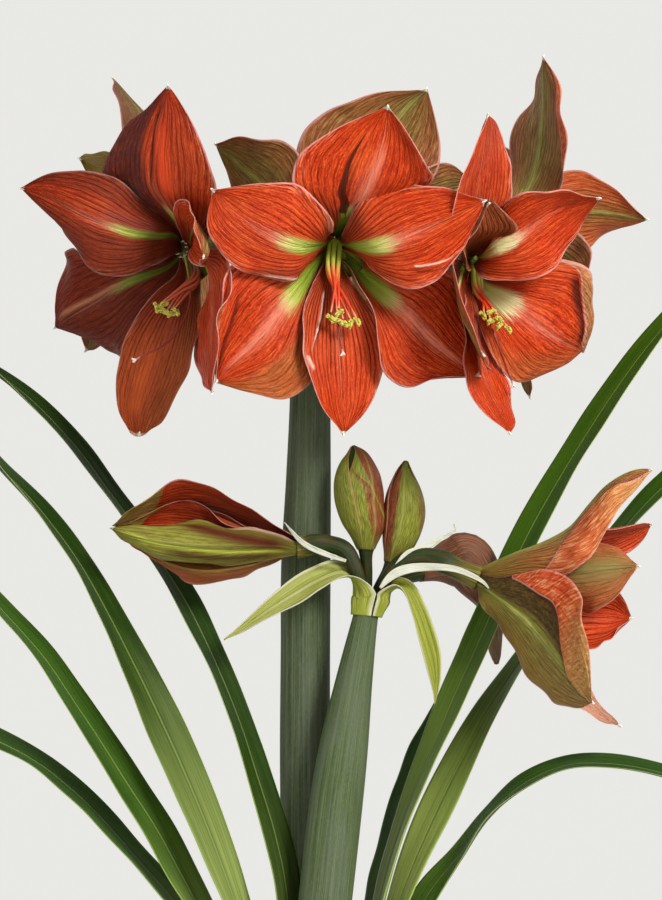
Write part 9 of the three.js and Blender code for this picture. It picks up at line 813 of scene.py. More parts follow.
def overlay(t, key, which, col, values, other):
    """Lays the marks of one tepal over its veined colour."""
    for k, (kind, side, pts, soft, relief, amount, tone) in enumerate(strokes(key)):
        if amount <= 0 or (side != which and side != 'both'):
            continue
        d = t.n('ShaderNodeAttribute', attribute_name=f'd{k}').outputs['Fac']
        e = t.n('ShaderNodeAttribute', attribute_name=f'e{k}').outputs['Fac']
        rag = t.mul(t.sub(t.noise(t.obj(), 900.0, 2.0, 0.6), 0.5), 0.5)
        d = t.add(d, rag)
        # cut: painted shade along a fold
        if kind == 'cut':
            m = t.mul(t.smooth(d, -0.35, 0.25), t.inv(t.smooth(d, soft * 0.25, soft)))
            m = t.mul(m, e)
        # wedge: painted shadow in a crisp groove
        elif kind == 'wedge':
            w = t.mul(e, soft)
            m = t.mul(t.smooth(d, -0.3, 0.3), t.inv(t.smooth(d, t.sub(w, 0.5), t.add(w, 0.3))))
            m = t.mul(m, t.smooth(e, 0.02, 0.12))
        elif kind == 'line':
            m = t.mul(t.gauss(d, soft), e)
        else:
            m = t.smooth(d, -soft, soft)
            if kind == 'area':
                m = t.mul(m, t.smooth(t.noise(t.obj(), 420.0, 3.0, 0.7), 0.34, 0.56, 0.72, 1.0))
        m = t.mul(m, amount)
        if kind == 'band':
            node = use_group(t, other[0], **other[1])
            tone = node.outputs['Color']
            vv = t.st()[1]
            if key in ('S1', 'S2'):
                xx = t.st()[0]
                cs, sn = (0.94, -0.35) if key == 'S1' else (0.35, 0.94)
                run = t.add(t.mul(xx, 80.0 * sn), t.mul(vv, 110.0 * cs))
                off = t.sub(t.mul(xx, 80.0 * cs), t.mul(vv, 110.0 * sn))
                streak = t.noise(t.vec(t.mul(off, 0.85), t.mul(run, 0.13), 3.0), 1.0, 3.0, 0.62)
                tone = t.mix(0.5, tone, lin(206, 112, 62) if key == 'S1' else lin(214, 84, 38))
                tone = t.mix(t.mul(t.smooth(vv, 0.50, 0.92), 0.78 if key == 'S2' else 0.6), tone, lin(198, 160, 88))
                tone = t.mix(t.mul(t.smooth(streak, 0.50, 0.66), 0.62), tone, lin(236, 186, 134))
                tone = t.mix(t.mul(t.inv(t.smooth(streak, 0.33, 0.47)), 0.66), tone, lin(128, 44, 20))
            else:
                mott = t.noise(t.obj(), 380.0, 3.0, 0.65)
                tone = t.mix(t.mul(t.smooth(mott, 0.36, 0.66), 0.42), tone, lin(224, 164, 116))
            col = t.mix(m, col, tone)
            col = t.mix(t.mul(t.gauss(d, 0.45), 0.7 * amount), col, lin(236, 170, 158))
        elif kind == 'area':
            sx, sv = t.st()
            fleck = t.noise(t.vec(t.mul(sx, 60.0), t.mul(sv, 15.0), 7.0), 1.0, 3.0, 0.64)
            dim, lit = tuple(c * 0.55 for c in tone[:3]) + (1.0,), tuple(min(c * 1.45 + 0.01, 1.0) for c in tone[:3]) + (1.0,)
            tone = t.mix(t.smooth(fleck, 0.34, 0.66), dim, lit)
            # very dark tones darken the colour beneath rather than cover it; the painted shade of the DARK and umber
            # areas and of L1's left part is laid this way
            if 0.3 * lit[0] + 0.6 * lit[1] + 0.1 * lit[2] < 0.09:
                col = t.mix(m, col, t.mix(0.5, t.mix(1.0, col, lin(160, 152, 150), 'MULTIPLY'), tone))
            else:
                col = t.mix(m, col, t.mix(0.5, t.mix(1.0, col, tone, 'COLOR'), tone))
        else:
            col = t.mix(m, col, tone)
    return col


def tepal_material(name, key, which, g, other, **values):
    def build(t):
        node = use_group(t, g, **values)
        col = overlay(t, key, which, node.outputs['Color'], values, other)
        return col, node.outputs['Rough'], node.outputs['Height'], 0.0006
    return new_material(name, build, spec=0.14)


def curve_fields(key, P, us, vs):
    """Signed distance in mm from each grid point to each marked line (positive to its left), and how far from its ends."""
    out = []
    S, T = np.meshgrid(vs, us)
    for kind, side, pts, soft, relief, amount, tone in strokes(key):
        pts = np.array(pts, float)
        W = cr_matrix(len(pts), np.linspace(0, len(pts) - 1, 12 * (len(pts) - 1) + 1)) if len(pts) > 2 else np.stack([np.linspace(1, 0, 20), np.linspace(0, 1, 20)], 1)
        c = np.clip(W @ pts, 0, 1)
        fi, fj = c[:, 1] * (len(us) - 1), c[:, 0] * (len(vs) - 1)
        i0, j0 = np.minimum(fi.astype(int), len(us) - 2), np.minimum(fj.astype(int), len(vs) - 2)
        a, b2 = (fi - i0)[:, None], (fj - j0)[:, None]
        Q = P[i0, j0] * (1 - a) * (1 - b2) + P[i0 + 1, j0] * a * (1 - b2) + P[i0, j0 + 1] * (1 - a) * b2 + P[i0 + 1, j0 + 1] * a * b2
        flat = P.reshape(-1, 3)
        xy = np.stack([S.ravel(), T.ravel()], 1)
        best = np.full(len(flat), 1e9)
        sign = np.ones(len(flat))
        along = np.zeros(len(flat))
        for m in range(len(Q) - 1):
            A, B = Q[m], Q[m + 1]
            u = B - A
            L2 = max(u @ u, 1e-9)
            h = np.clip(((flat - A) @ u) / L2, 0, 1)
            dd = np.linalg.norm(flat - (A + h[:, None] * u), axis=1)
            near = dd < best - 1e-6
            e = c[m + 1] - c[m]
            cr = e[0] * (xy[:, 1] - c[m, 1]) - e[1] * (xy[:, 0] - c[m, 0])
            best = np.where(near, dd, best)
            sign = np.where(near, np.where(cr >= 0, 1.0, -1.0), sign)
            along = np.where(near, (m + h) / (len(Q) - 1), along)
        d = (best * sign).reshape(P.shape[:2])
        if kind == 'wedge':
            e = (np.clip((1 - along) / 0.6, 0, 1) ** 0.8).reshape(P.shape[:2])
        else:
            e = (np.clip(along / 0.18, 0, 1) * np.clip((1 - along) / 0.18, 0, 1)).reshape(P.shape[:2])
        out.append((d, e))
    return out


def relief(key, fields):
    """How far the marked folds lift the surface towards its inner side, in mm."""
    z = 0.0
    for (kind, side, pts, soft, dep, amount, tone), (d, e) in zip(strokes(key), fields):
        if dep == 0:
            continue
        if kind == 'cut':
            z = z - dep * np.where(d > 0, np.exp(-(d / (soft * 0.7)) ** 2), np.exp(-(d / 1.1) ** 2)) * e
        elif kind == 'wedge':
            w = np.maximum(soft * e, 0.4)
            z = z - dep * np.exp(-((d - w * 0.5) / (w * 0.55 + 0.3)) ** 2) * np.clip(e * 2, 0, 1)
        elif kind == 'line':
            z = z + dep * np.exp(-(d / max(soft * 1.3, 1.3)) ** 2) * e
        elif kind == 'band':
            z = z - dep * np.clip(d / 1.2 + 0.5, 0, 1) * np.exp(-np.clip(d, 0, None) / 8.0)
        else:
            z = z - dep * np.clip(d / 2.5, 0, 1)
    return z


def tag(ob, marks):
    """Stores the distances on the piece, the same on a tepal's inner and outer side."""
    for k in range(max([len(m[2]) for m in marks], default=0)):
        for which, pre in enumerate('de'):
            vals = np.full(len(ob.data.vertices), -50.0 if which == 0 else 0.0, np.float32)
            for start, n, fields in marks:
                if k < len(fields):
                    vals[start:start + n] = fields[k][which].ravel()
                    vals[start + n:start + 2 * n] = fields[k][which].ravel()
            at = ob.data.attributes.new(f'{pre}{k}', 'FLOAT', 'POINT')
            at.data.foreach_set('value', vals)


# ---------------------------------------------------------------- other surfaces
def stem_build(tones, collar):
    def build(t):
        x, v = t.st()
        th = t.mul(x, 6.2832)
        cx, cy = t.m('COSINE', th), t.m('SINE', th)
        streak = t.noise(t.vec(t.mul(cx, 9.0), t.mul(cy, 9.0), t.mul(v, 2.2)), 1.0, 3.0, 0.6)
        fine = t.noise(t.vec(t.mul(cx, 36.0), t.mul(cy, 36.0), t.mul(v, 9.0)), 1.0, 2.0, 0.6)
        cloud = t.noise(t.vec(t.mul(cx, 1.6), t.mul(cy, 1.6), t.mul(v, 9.0)), 1.0, 4.0, 0.62)
        pores = t.noise(t.vec(t.mul(cx, 42.0), t.mul(cy, 42.0), t.mul(v, 170.0)), 1.0, 2.0, 0.55)
        col = t.ramp(streak, [(0.28, tones[0]), (0.5, tones[1]), (0.72, tones[2])])
        col = t.mix(t.mul(t.smooth(fine, 0.48, 0.70), 0.42), col, tones[3])
        col = t.mix(t.mul(t.inv(t.smooth(fine, 0.28, 0.44)), 0.35), col, tones[0])
        # grey bloom, worn off in places
        col = t.mix(t.mul(t.smooth(cloud, 0.40, 0.62), 0.52), col, tones[4])
        col = t.mix(t.mul(t.smooth(pores, 0.56, 0.68), 0.35), col, tones[3])
        col = t.mix(t.mul(t.inv(t.smooth(pores, 0.32, 0.42)), 0.28), col, tones[0])
        # yellower at the collar and towards the bulb
        col = t.mix(t.mul(t.inv(t.smooth(v, 0.0, 0.14)), 0.6), col, lin(176, 186, 104))
        col = t.mix(t.mul(t.smooth(v, 1.0 - collar, 1.0), 0.5), col, lin(132, 148, 70))
        h = t.add(t.mul(streak, 0.6), t.add(t.mul(fine, 0.45), t.mul(pores, 0.35)))
        return col, t.add(0.50, t.mul(cloud, 0.2)), h, 0.0007
    return build


def leaf_build(seed, light, dark, low_tones, pale_to, inner=True):
    def build(t):
        x, v = t.st()
        s = t.mul(t.sub(x, 0.5), 2.0)
        a = t.m('ABSOLUTE', s)
        veins = t.noise(t.vec(t.mul(s, 30.0), t.mul(v, 2.6), seed), 1.0, 2.0, 0.55)
        lines = t.m('SINE', t.add(t.mul(s, 6.2832 * 15.0), t.mul(veins, 3.0)))
        lines = t.add(t.mul(lines, 0.5), 0.5)
        fine = t.noise(t.vec(t.mul(s, 90.0), t.mul(v, 12.0), seed + 3.0), 1.0, 2.0, 0.5)
        cross = t.noise(t.vec(t.mul(s, 34.0), t.mul(v, 300.0), seed), 1.0, 2.0, 0.55)
        cloud = t.noise(t.vec(t.mul(s, 1.1), t.mul(v, 5.0), seed), 1.0, 3.0, 0.6)
        # the veins crowd together and fade towards the narrow tip
        clear = t.smooth(v, 0.30, 0.75, 1.0, 0.28)
        col = t.mix(t.add(0.5, t.mul(t.sub(t.smooth(veins, 0.32, 0.68), 0.5), clear)), dark, light)
        col = t.mix(t.mul(t.mul(t.pow(lines, 2.0), 0.22), clear), col, t.mix(0.5, light, lin(150, 190, 60)))
        col = t.mix(t.mul(t.mul(t.smooth(fine, 0.5, 0.72), 0.22), clear), col, t.mix(0.55, light, lin(160, 196, 70)))
        col = t.mix(t.mul(t.mul(t.smooth(cross, 0.50, 0.75), 0.10), clear), col, dark)
        col = t.mix(t.mul(t.smooth(cloud, 0.42, 0.68), 0.42), col, dark)
        # pale, yellow-green lower blade
        low = t.inv(t.smooth(t.add(v, t.mul(t.sub(cloud, 0.5), 0.12)), 0.06, pale_to))
        pale = t.mix(t.smooth(veins, 0.3, 0.7), low_tones[0], low_tones[1])
        pale = t.mix(t.mul(t.pow(lines, 2.0), 0.25), pale, t.mix(0.5, pale, lin(214, 222, 150)))
        pale = t.mix(t.mul(t.smooth(fine, 0.5, 0.72), 0.25), pale, t.mix(0.5, pale, lin(110, 140, 40)))
        col = t.mix(t.mul(low, 0.92), col, pale)
        # middle rib
        rib = t.gauss(a, 0.045)
        col = t.mix(t.mul(rib, 0.62 if inner else 0.8), col, t.mix(0.5, light, lin(186, 210, 112)))
        col = t.mix(t.mul(t.gauss(t.sub(a, 0.09), 0.035), 0.4), col, dark)
        mg = t.smooth(a, 0.965, 0.99)
        col = t.mix(t.mul(mg, 0.6), col, lin(176, 198, 108))
        h = t.add(t.mul(t.add(t.mul(veins, 0.5), t.add(t.mul(lines, 0.35), t.mul(fine, 0.25))), clear), t.mul(rib, -1.2 if inner else 1.2))
        return col, t.add(0.36, t.add(t.mul(cross, 0.04), t.mul(fine, 0.06))), h, 0.0002
    return build


def plain_veined(c0, c1, c2, stretch=(30.0, 6.0), rough=0.5, bump=0.0004, collar=None, edge=None):
    """Two-tone streaks along a ribbon or stem."""
    def build(t):
        x, v = t.st()
        s = t.mul(t.sub(x, 0.5), 2.0)
        st = t.noise(t.vec(t.mul(s, stretch[0]), t.mul(v, stretch[1]), 1.0), 1.0, 3.0, 0.6)
        sp = t.noise(t.obj(), 900.0, 2.0, 0.6)
        col = t.ramp(st, [(0.28, c0), (0.5, c1), (0.72, c2)])
        col = t.mix(t.mul(t.smooth(sp, 0.5, 0.7), 0.25), col, c0)
        if collar is not None:
            col = t.mix(t.inv(t.smooth(v, collar[1], collar[2])), col, collar[0])
        if edge is not None:
            a = t.m('ABSOLUTE', s)
            col = t.mix(t.mul(t.smooth(a, 0.8, 0.97), 0.8), col, edge)
        return col, t.add(rough - 0.08, t.mul(sp, 0.16)), t.add(st, t.mul(sp, 0.3)), bump
    return build


def bud_build(brownness, seed, zone=None):
    def build(t):
        x, v = t.st()
        s = t.mul(t.sub(x, 0.5), 2.0)
        a = t.m('ABSOLUTE', s)
        fl = t.noise(t.vec(t.mul(s, 24.0), t.mul(v, 10.0), seed), 1.0, 3.0, 0.66)
        gr = t.noise(t.vec(t.mul(s, 64.0), t.mul(v, 40.0), seed + 4.0), 1.0, 2.0, 0.6)
        big = t.noise(t.vec(t.mul(s, 1.8), t.mul(v, 2.6), seed + 7.0), 1.0, 3.0, 0.55)
        green = t.ramp(fl, [(0.28, lin(84, 88, 20)), (0.5, lin(126, 130, 40)), (0.66, lin(160, 162, 68)), (0.8, lin(190, 190, 108))])
        brown = t.ramp(fl, [(0.28, lin(70, 28, 14)), (0.48, lin(122, 58, 30)), (0.64, lin(164, 98, 56)), (0.8, lin(190, 142, 94))])
        f = t.m('ADD', t.add(t.mul(t.smooth(a, 0.30, 0.95), 0.55), brownness), t.mul(t.sub(big, 0.48), 2.4), clamp=True)
        f = t.mul(f, t.smooth(gr, 0.30, 0.56, 0.40, 1.0))
        if zone is not None:
            px, _, pz = t.sep(t.obj())
            f = zone(t, t.mul(px, 1000.0), t.mul(pz, 1000.0))
            f = t.add(f, t.add(t.mul(t.sub(big, 0.5), 0.7), t.mul(t.sub(gr, 0.5), 1.3)))
            f = t.smooth(f, 0.28, 0.72)
        col = t.mix(f, green, brown)
        col = t.mix(t.mul(t.inv(t.smooth(gr, 0.28, 0.42)), 0.35), col, lin(72, 42, 18))
        col = t.mix(t.mul(t.gauss(s, 0.05), 0.35), col, lin(178, 182, 96))
        col = t.mix(t.mul(t.smooth(a, 0.94, 0.98), 0.55), col, lin(190, 124, 98))
        col = t.mix(t.mul(t.inv(t.smooth(v, 0.02, 0.22)), 0.5), col, lin(120, 132, 48))
        return col, t.add(0.36, t.mul(gr, 0.24)), t.add(t.mul(fl, 0.8), t.mul(gr, 0.4)), 0.0006
    return build


def zone_left(t, x, z):
    # edge of the wrapping tepal: it runs from the point down to the right; brown along it and behind it
    edge = t.add(t.add(25.0, t.mul(t.inv(t.smooth(z, 540.5, 555.0)), 12.2)), t.mul(t.m('MAXIMUM', t.sub(541.0, z), 0.0), 0.4))
    width = t.m('MAXIMUM', t.mul(t.sub(562.0, z), 0.25), 1.0)
    behind = t.smooth(t.sub(x, t.sub(282.6, t.mul(z, 0.452))), -0.8, 0.8)
    along = t.mul(t.smooth(t.sub(x, t.sub(edge, width)), -3.0, 4.0), t.inv(t.smooth(t.sub(x, edge), 0.0, 0.8)))
    foot = t.mul(t.inv(t.smooth(z, 502.0, 524.0)), 0.5)
    return t.m('MAXIMUM', t.mul(behind, t.smooth(t.sub(x, edge), -0.2, 0.6)), t.m('MAXIMUM', t.mul(along, 0.74), foot))


def zone_right(t, x, z):
    # brown along the left side and the foot, green in front
    side = t.inv(t.smooth(t.sub(x, t.add(-16.0, t.mul(z, 0.128))), -1.5, 1.5))
    foot = t.mul(t.inv(t.smooth(z, 496.0, 520.0)), 0.6)
    edge = t.mul(t.smooth(x, 61.0, 66.0), 0.45)
    return t.m('MAXIMUM', side, t.m('MAXIMUM', foot, edge))


def nodding_build(t):
    x, v = t.st()
    s = t.mul(t.sub(x, 0.5), 2.0)
    fl = t.noise(t.vec(t.mul(s, 24.0), t.mul(v, 8.0), 3.0), 1.0, 3.0, 0.66)
    gr = t.noise(t.vec(t.mul(s, 64.0), t.mul(v, 40.0), 6.0), 1.0, 2.0, 0.6)
    brown = t.ramp(fl, [(0.28, lin(62, 32, 20)), (0.48, lin(112, 66, 42)), (0.64, lin(148, 98, 68)), (0.8, lin(180, 136, 100))])
    brown = t.mix(t.mul(t.inv(t.smooth(gr, 0.28, 0.44)), 0.4), brown, lin(54, 28, 18))
    # the withered point hangs down, pale and papery
    pale = t.ramp(fl, [(0.28, lin(120, 82, 60)), (0.46, lin(186, 150, 122)), (0.64, lin(218, 190, 164)), (0.8, lin(232, 208, 190))])
    px, _, pz = t.sep(t.obj())
    col = t.mix(t.inv(t.smooth(pz, 0.462, 0.476)), brown, pale)
    col = t.mix(t.mul(t.smooth(t.m('ABSOLUTE', s), 0.94, 0.98), 0.5), col, lin(196, 150, 130))
    return col, t.add(0.4, t.mul(gr, 0.2)), t.add(t.mul(fl, 0.8), t.mul(gr, 0.4)), 0.0006


def base_build(t):
    x, v = t.st()
    th = t.mul(x, 6.2832)
    cx, cy = t.m('COSINE', th), t.m('SINE', th)
    st = t.noise(t.vec(t.mul(cx, 7.0), t.mul(cy, 7.0), t.mul(v, 3.0)), 1.0, 3.0, 0.6)
    sp = t.noise(t.vec(t.mul(cx, 30.0), t.mul(cy, 30.0), t.mul(v, 26.0)), 1.0, 2.0, 0.6)
    green = t.ramp(st, [(0.3, lin(14, 28, 5)), (0.5, lin(28, 48, 8)), (0.7, lin(54, 76, 18))])
    green = t.mix(t.mul(t.smooth(t.noise(t.vec(t.mul(cx, 2.0), t.mul(cy, 2.0), t.mul(v, 5.0)), 1.0, 2.0, 0.5), 0.46, 0.62), 0.5), green, lin(78, 50, 24))
    tube = t.ramp(st, [(0.3, lin(84, 50, 22)), (0.5, lin(112, 104, 38)), (0.7, lin(148, 146, 64))])
    col = t.mix(t.smooth(v, 0.66, 0.97), green, tube)
    col = t.mix(t.mul(t.smooth(sp, 0.55, 0.75), 0.2), col, lin(104, 118, 54))
    return col, t.add(0.34, t.mul(sp, 0.2)), t.add(st, t.mul(sp, 0.4)), 0.0004


def throat_build(dark):
    def build(t):
        x, v = t.st()
        n = t.noise(t.vec(t.mul(x, 60.0), t.mul(v, 3.0), 2.0), 1.0, 3.0, 0.6)
        if dark:
            col = t.ramp(n, [(0.3, lin(78, 92, 18)), (0.5, lin(124, 140, 32)), (0.7, lin(168, 184, 62))])
            col = t.mix(t.smooth(v, 0.45, 1.0), col, t.ramp(n, [(0.35, lin(58, 44, 12)), (0.65, lin(104, 96, 30))]))
        else:
            col = t.ramp(n, [(0.3, lin(84, 56, 26)), (0.5, lin(124, 118, 48)), (0.7, lin(156, 156, 76))])
        return col, None, n, 0.0004
    return build


def filament_build(t):
    x, v = t.st()
    n = t.noise(t.vec(t.mul(x, 4.0), t.mul(v, 20.0), 0.0), 1.0, 2.0, 0.6)
    col = t.ramp(t.add(v, t.mul(t.sub(n, 0.5), 0.1)), [(0.0, lin(158, 184, 44)), (0.28, lin(204, 212, 84)), (0.38, lin(232, 150, 78)), (0.52, lin(214, 64, 24)), (0.85, lin(214, 66, 28)), (1.0, lin(240, 168, 120))])
    return col, None, n, 0.0002


# darker copy of the filament colours: painted shade for the flower whose throat lies in shadow
def filament_shaded_build(t):
    x, v = t.st()
    n = t.noise(t.vec(t.mul(x, 4.0), t.mul(v, 20.0), 0.0), 1.0, 2.0, 0.6)
    col = t.ramp(t.add(v, t.mul(t.sub(n, 0.5), 0.1)), [(0.0, lin(70, 62, 20)), (0.28, lin(104, 66, 26)), (0.45, lin(172, 66, 34)), (0.85, lin(206, 96, 62)), (1.0, lin(226, 150, 110))])
    return col, None, n, 0.0002


def style_build(t):
    x, v = t.st()
    n = t.noise(t.vec(t.mul(x, 4.0), t.mul(v, 20.0), 5.0), 1.0, 2.0, 0.6)
    col = t.ramp(t.add(v, t.mul(t.sub(n, 0.5), 0.1)), [(0.0, lin(150, 166, 60)), (0.3, lin(140, 52, 26)), (0.75, lin(120, 24, 16)), (0.95, lin(160, 62, 48)), (1.0, lin(232, 208, 196))])
    return col, None, n, 0.0002


def pollen_build(tones):
    def build(t):
        p = t.obj()
        n = t.noise(p, 1600.0, 3.0, 0.7)
        c = t.cells(p, 2200.0, 'F1')
        return t.ramp(n, [(0.25, tones[0]), (0.5, tones[1]), (0.75, tones[2])]), None, t.add(n, c), 0.0006
    return build


def white_build(t):
    n = t.noise(t.obj(), 700.0, 3.0, 0.6)
    return t.ramp(n, [(0.3, lin(226, 218, 200)), (0.7, lin(250, 246, 236))]), None, n, 0.0002


def bract_build(t):
    x, v = t.st()
    n = t.noise(t.vec(t.mul(x, 12.0), t.mul(v, 7.0), 3.0), 1.0, 3.0, 0.6)
    sp = t.noise(t.obj(), 800.0, 2.0, 0.6)
    col = t.ramp(n, [(0.3, lin(170, 176, 148)), (0.5, lin(214, 214, 196)), (0.75, lin(240, 240, 230))])
    return col, None, t.add(n, t.mul(sp, 0.4)), 0.0003


def tunic_build(t):
    p = t.obj()
    px, py, pz = t.sep(p)
    ang = t.m('ARCTAN2', py, px)
    cx, cy = t.m('COSINE', ang), t.m('SINE', ang)
    st = t.noise(t.vec(t.mul(cx, 16.0), t.mul(cy, 16.0), t.mul(pz, 26.0)), 1.0, 4.0, 0.62)
    fb = t.noise(t.vec(t.mul(cx, 60.0), t.mul(cy, 60.0), t.mul(pz, 70.0)), 1.0, 3.0, 0.6)
    patch = t.noise(p, 26.0, 3.0, 0.6)
    col = t.ramp(st, [(0.25, lin(74, 42, 22)), (0.45, lin(128, 82, 44)), (0.6, lin(164, 116, 66)), (0.8, lin(196, 154, 98))])
    col = t.mix(t.mul(t.smooth(patch, 0.52, 0.66), 0.55), col, t.ramp(fb, [(0.3, lin(150, 150, 84)), (0.7, lin(196, 192, 130))]))
    col = t.mix(t.mul(t.smooth(fb, 0.55, 0.75), 0.4), col, lin(60, 34, 20))
    # greener fleshy neck
    col = t.mix(t.smooth(pz, 0.172, 0.200), col, t.ramp(st, [(0.3, lin(120, 134, 60)), (0.7, lin(190, 196, 124))]))
    return col, t.add(0.55, t.mul(fb, 0.2)), t.add(t.mul(st, 1.0), t.mul(fb, 0.5)), 0.0012


def flesh_build(t):
    p = t.obj()
    px, py, pz = t.sep(p)
    r = t.m('SQRT', t.add(t.mul(px, px), t.mul(py, py)))
    rings = t.m('SINE', t.mul(r, 1500.0))
    n = t.noise(p, 120.0, 3.0, 0.6)
    col = t.ramp(t.add(t.mul(rings, 0.2), n), [(0.3, lin(130, 140, 66)), (0.55, lin(182, 188, 108)), (0.8, lin(216, 216, 160))])
    return col, None, t.add(n, t.mul(rings, 0.3)), 0.0006


def soil_build(t):
    p = t.obj()
    n = t.noise(p, 120.0, 6.0, 0.7)
    c = t.cells(p, 260.0, 'F1')
    big = t.noise(p, 18.0, 2.0, 0.5)
    col = t.ramp(n, [(0.25, lin(26, 18, 13)), (0.5, lin(52, 37, 27)), (0.7, lin(84, 62, 45)), (0.9, lin(120, 96, 72))])
    col = t.mix(t.mul(t.smooth(big, 0.4, 0.65), 0.4), col, lin(38, 27, 20))
    return col, t.add(0.8, t.mul(n, 0.15)), t.add(n, t.mul(c, 0.8)), 0.0016


def chip_build(t):
    p = t.obj()
    n = t.noise(t.vec(t.mul(t.sep(p)[0], 1.0), t.mul(t.sep(p)[1], 1.0), t.mul(t.sep(p)[2], 3.0)), 300.0, 4.0, 0.6)
    col = t.ramp(n, [(0.25, lin(58, 36, 22)), (0.5, lin(98, 66, 42)), (0.8, lin(146, 112, 78))])
    return col, None, n, 0.0008


def perlite_build(t):
    n = t.noise(t.obj(), 500.0, 4.0, 0.6)
    return t.ramp(n, [(0.25, lin(190, 184, 170)), (0.7, lin(238, 235, 226))]), None, n, 0.0006


def clay_build(t):
    p = t.obj()
    px, py, pz = t.sep(p)
    n = t.noise(p, 34.0, 6.0, 0.65)
    fine = t.noise(p, 420.0, 4.0, 0.7)
    grit = t.noise(p, 1500.0, 2.0, 0.6)
    throw = t.noise(t.vec(0.0, 0.0, t.mul(pz, 520.0)), 1.0, 2.0, 0.5)
    col = t.ramp(fine, [(0.25, lin(150, 78, 48)), (0.5, lin(184, 104, 68)), (0.75, lin(204, 128, 92))])
    col = t.mix(t.mul(t.smooth(n, 0.45, 0.62), 0.35), col, lin(206, 142, 108))
    # lime bloom, most of it below the band and near the foot
    bloom = t.noise(p, 17.0, 5.0, 0.68)
    lo = t.inv(t.smooth(pz, 0.01, 0.09))
    mid = t.gauss(t.sub(pz, 0.118), 0.02)
    b = t.mul(t.smooth(bloom, 0.47, 0.66), t.add(0.12, t.add(t.mul(lo, 0.55), t.mul(mid, 0.4))))
    col = t.mix(b, col, lin(224, 204, 184))
    # darker clay low down
    low_dark = t.mul(t.inv(t.smooth(t.add(pz, t.mul(t.sub(n, 0.5), 0.05)), 0.0, 0.05)), 0.35)
    col = t.mix(low_dark, col, lin(122, 62, 40))
    col = t.mix(t.mul(t.smooth(grit, 0.66, 0.74), 0.5), col, lin(108, 58, 38))
    h = t.add(t.mul(fine, 0.5), t.add(t.mul(grit, 0.35), t.mul(throw, 1.0)))
    return col, t.add(0.74, t.mul(fine, 0.15)), h, 0.0005


def floor_light(t):
    """Light that reaches the floor from the surroundings and the two lamps above it."""
    x, y, _ = t.sep(t.obj())
    dx, dy = t.sub(x, 1.25), t.add(y, 1.7)
    d2 = t.add(t.add(t.mul(dx, dx), t.mul(dy, dy)), 2.89)
    along = t.add(t.add(t.mul(dx, -0.52), t.mul(dy, 0.708)), 0.814)
    key = t.div(t.mul(t.m('MAXIMUM', along, 0.0), 29.2), t.mul(d2, d2))
    ex, ey = t.add(x, 0.2), t.sub(y, 0.5)
    e2 = t.add(t.add(t.mul(ex, ex), t.mul(ey, ey)), 5.29)
    top = t.div(23.6, t.mul(e2, e2))
    return t.add(t.add(key, top), 0.9)


def floor_build(t):
    """Pale floor, a little darker under the lamps so that it looks evenly lit."""
    n = t.noise(t.obj(), 3.0, 3.0, 0.5)
    tone = t.m('MINIMUM', t.div(2.04, floor_light(t)), 0.82)
    tone = t.mul(tone, t.add(0.985, t.mul(n, 0.03)))
    return t.ramp(tone, [(0.0, (0.0, 0.0, 0.0, 1.0)), (1.0, (1.0, 0.99, 0.965, 1.0))]), None, None, 0.0


M = {
    'stem_tall': new_material('stem_tall', stem_build((lin(52, 64, 42), lin(76, 88, 60), lin(104, 116, 84), lin(128, 138, 104), lin(104, 112, 94)), 0.02), spec=0.16),
    'stem_short': new_material('stem_short', stem_build((lin(62, 76, 46), lin(86, 102, 64), lin(110, 124, 86), lin(134, 146, 108), lin(104, 114, 94)), 0.03), spec=0.16),
    'base': new_material('pedicel', base_build, spec=0.28),
    'bud_left': new_material('bud_left', bud_build(0.2, 2.0, zone_left), spec=0.28),
    'bud_right': new_material('bud_right', bud_build(0.2, 5.0, zone_right), spec=0.28),
    'bud_nod': new_material('bud_nodding', nodding_build, spec=0.28),
    'throat_in': new_material('throat_inside', throat_build(True), spec=0.15),
    'throat_out': new_material('throat_outside', throat_build(False), spec=0.35),
    'filament': new_material('filament', filament_build, rough=0.4),
    'filament_shaded': new_material('filament_shaded', filament_shaded_build, rough=0.45),
    'style': new_material('style', style_build, rough=0.4),
    'pollen': new_material('pollen', pollen_build((lin(214, 198, 60), lin(246, 238, 110), lin(254, 252, 176))), rough=0.85, spec=0.2),
    'pollen_dark': new_material('anther', pollen_build((lin(130, 124, 26), lin(190, 182, 48), lin(230, 222, 92))), rough=0.85, spec=0.2),
    'white': new_material('stigma', white_build, rough=0.5),
    'bract': new_material('bracteole', bract_build, rough=0.6, spec=0.3),
    'spathe_out': new_material('spathe_outside', plain_veined(lin(104, 112, 26), lin(150, 158, 52), lin(190, 190, 96), (16.0, 2.5), 0.5, 0.0005,
                                                            (lin(150, 158, 52), 0.02, 0.16), lin(214, 212, 176)), spec=0.25),
    'spathe_in': new_material('spathe_inside', plain_veined(lin(126, 132, 52), lin(166, 172, 80), lin(196, 192, 150), (13.0, 2.2), 0.55, 0.0005,
                                                          (lin(150, 158, 56), 0.02, 0.2), lin(220, 216, 186)), spec=0.25),
    'tunic': new_material('tunic', tunic_build, spec=0.35),
    'flesh': new_material('bulb_flesh', flesh_build, rough=0.5),
    'soil': new_material('soil', soil_build, spec=0.2),
    'chip': new_material('bark_chip', chip_build, rough=0.8, spec=0.2),
    'perlite': new_material('perlite', perlite_build, rough=0.9, spec=0.2),
    'clay': new_material('clay', clay_build, spec=0.25),
}


# ---------------------------------------------------------------- finishing a piece
def done(ob, slot, *nodes):
    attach(ob, 'root')
    if nodes:
        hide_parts(*nodes)
    return ob


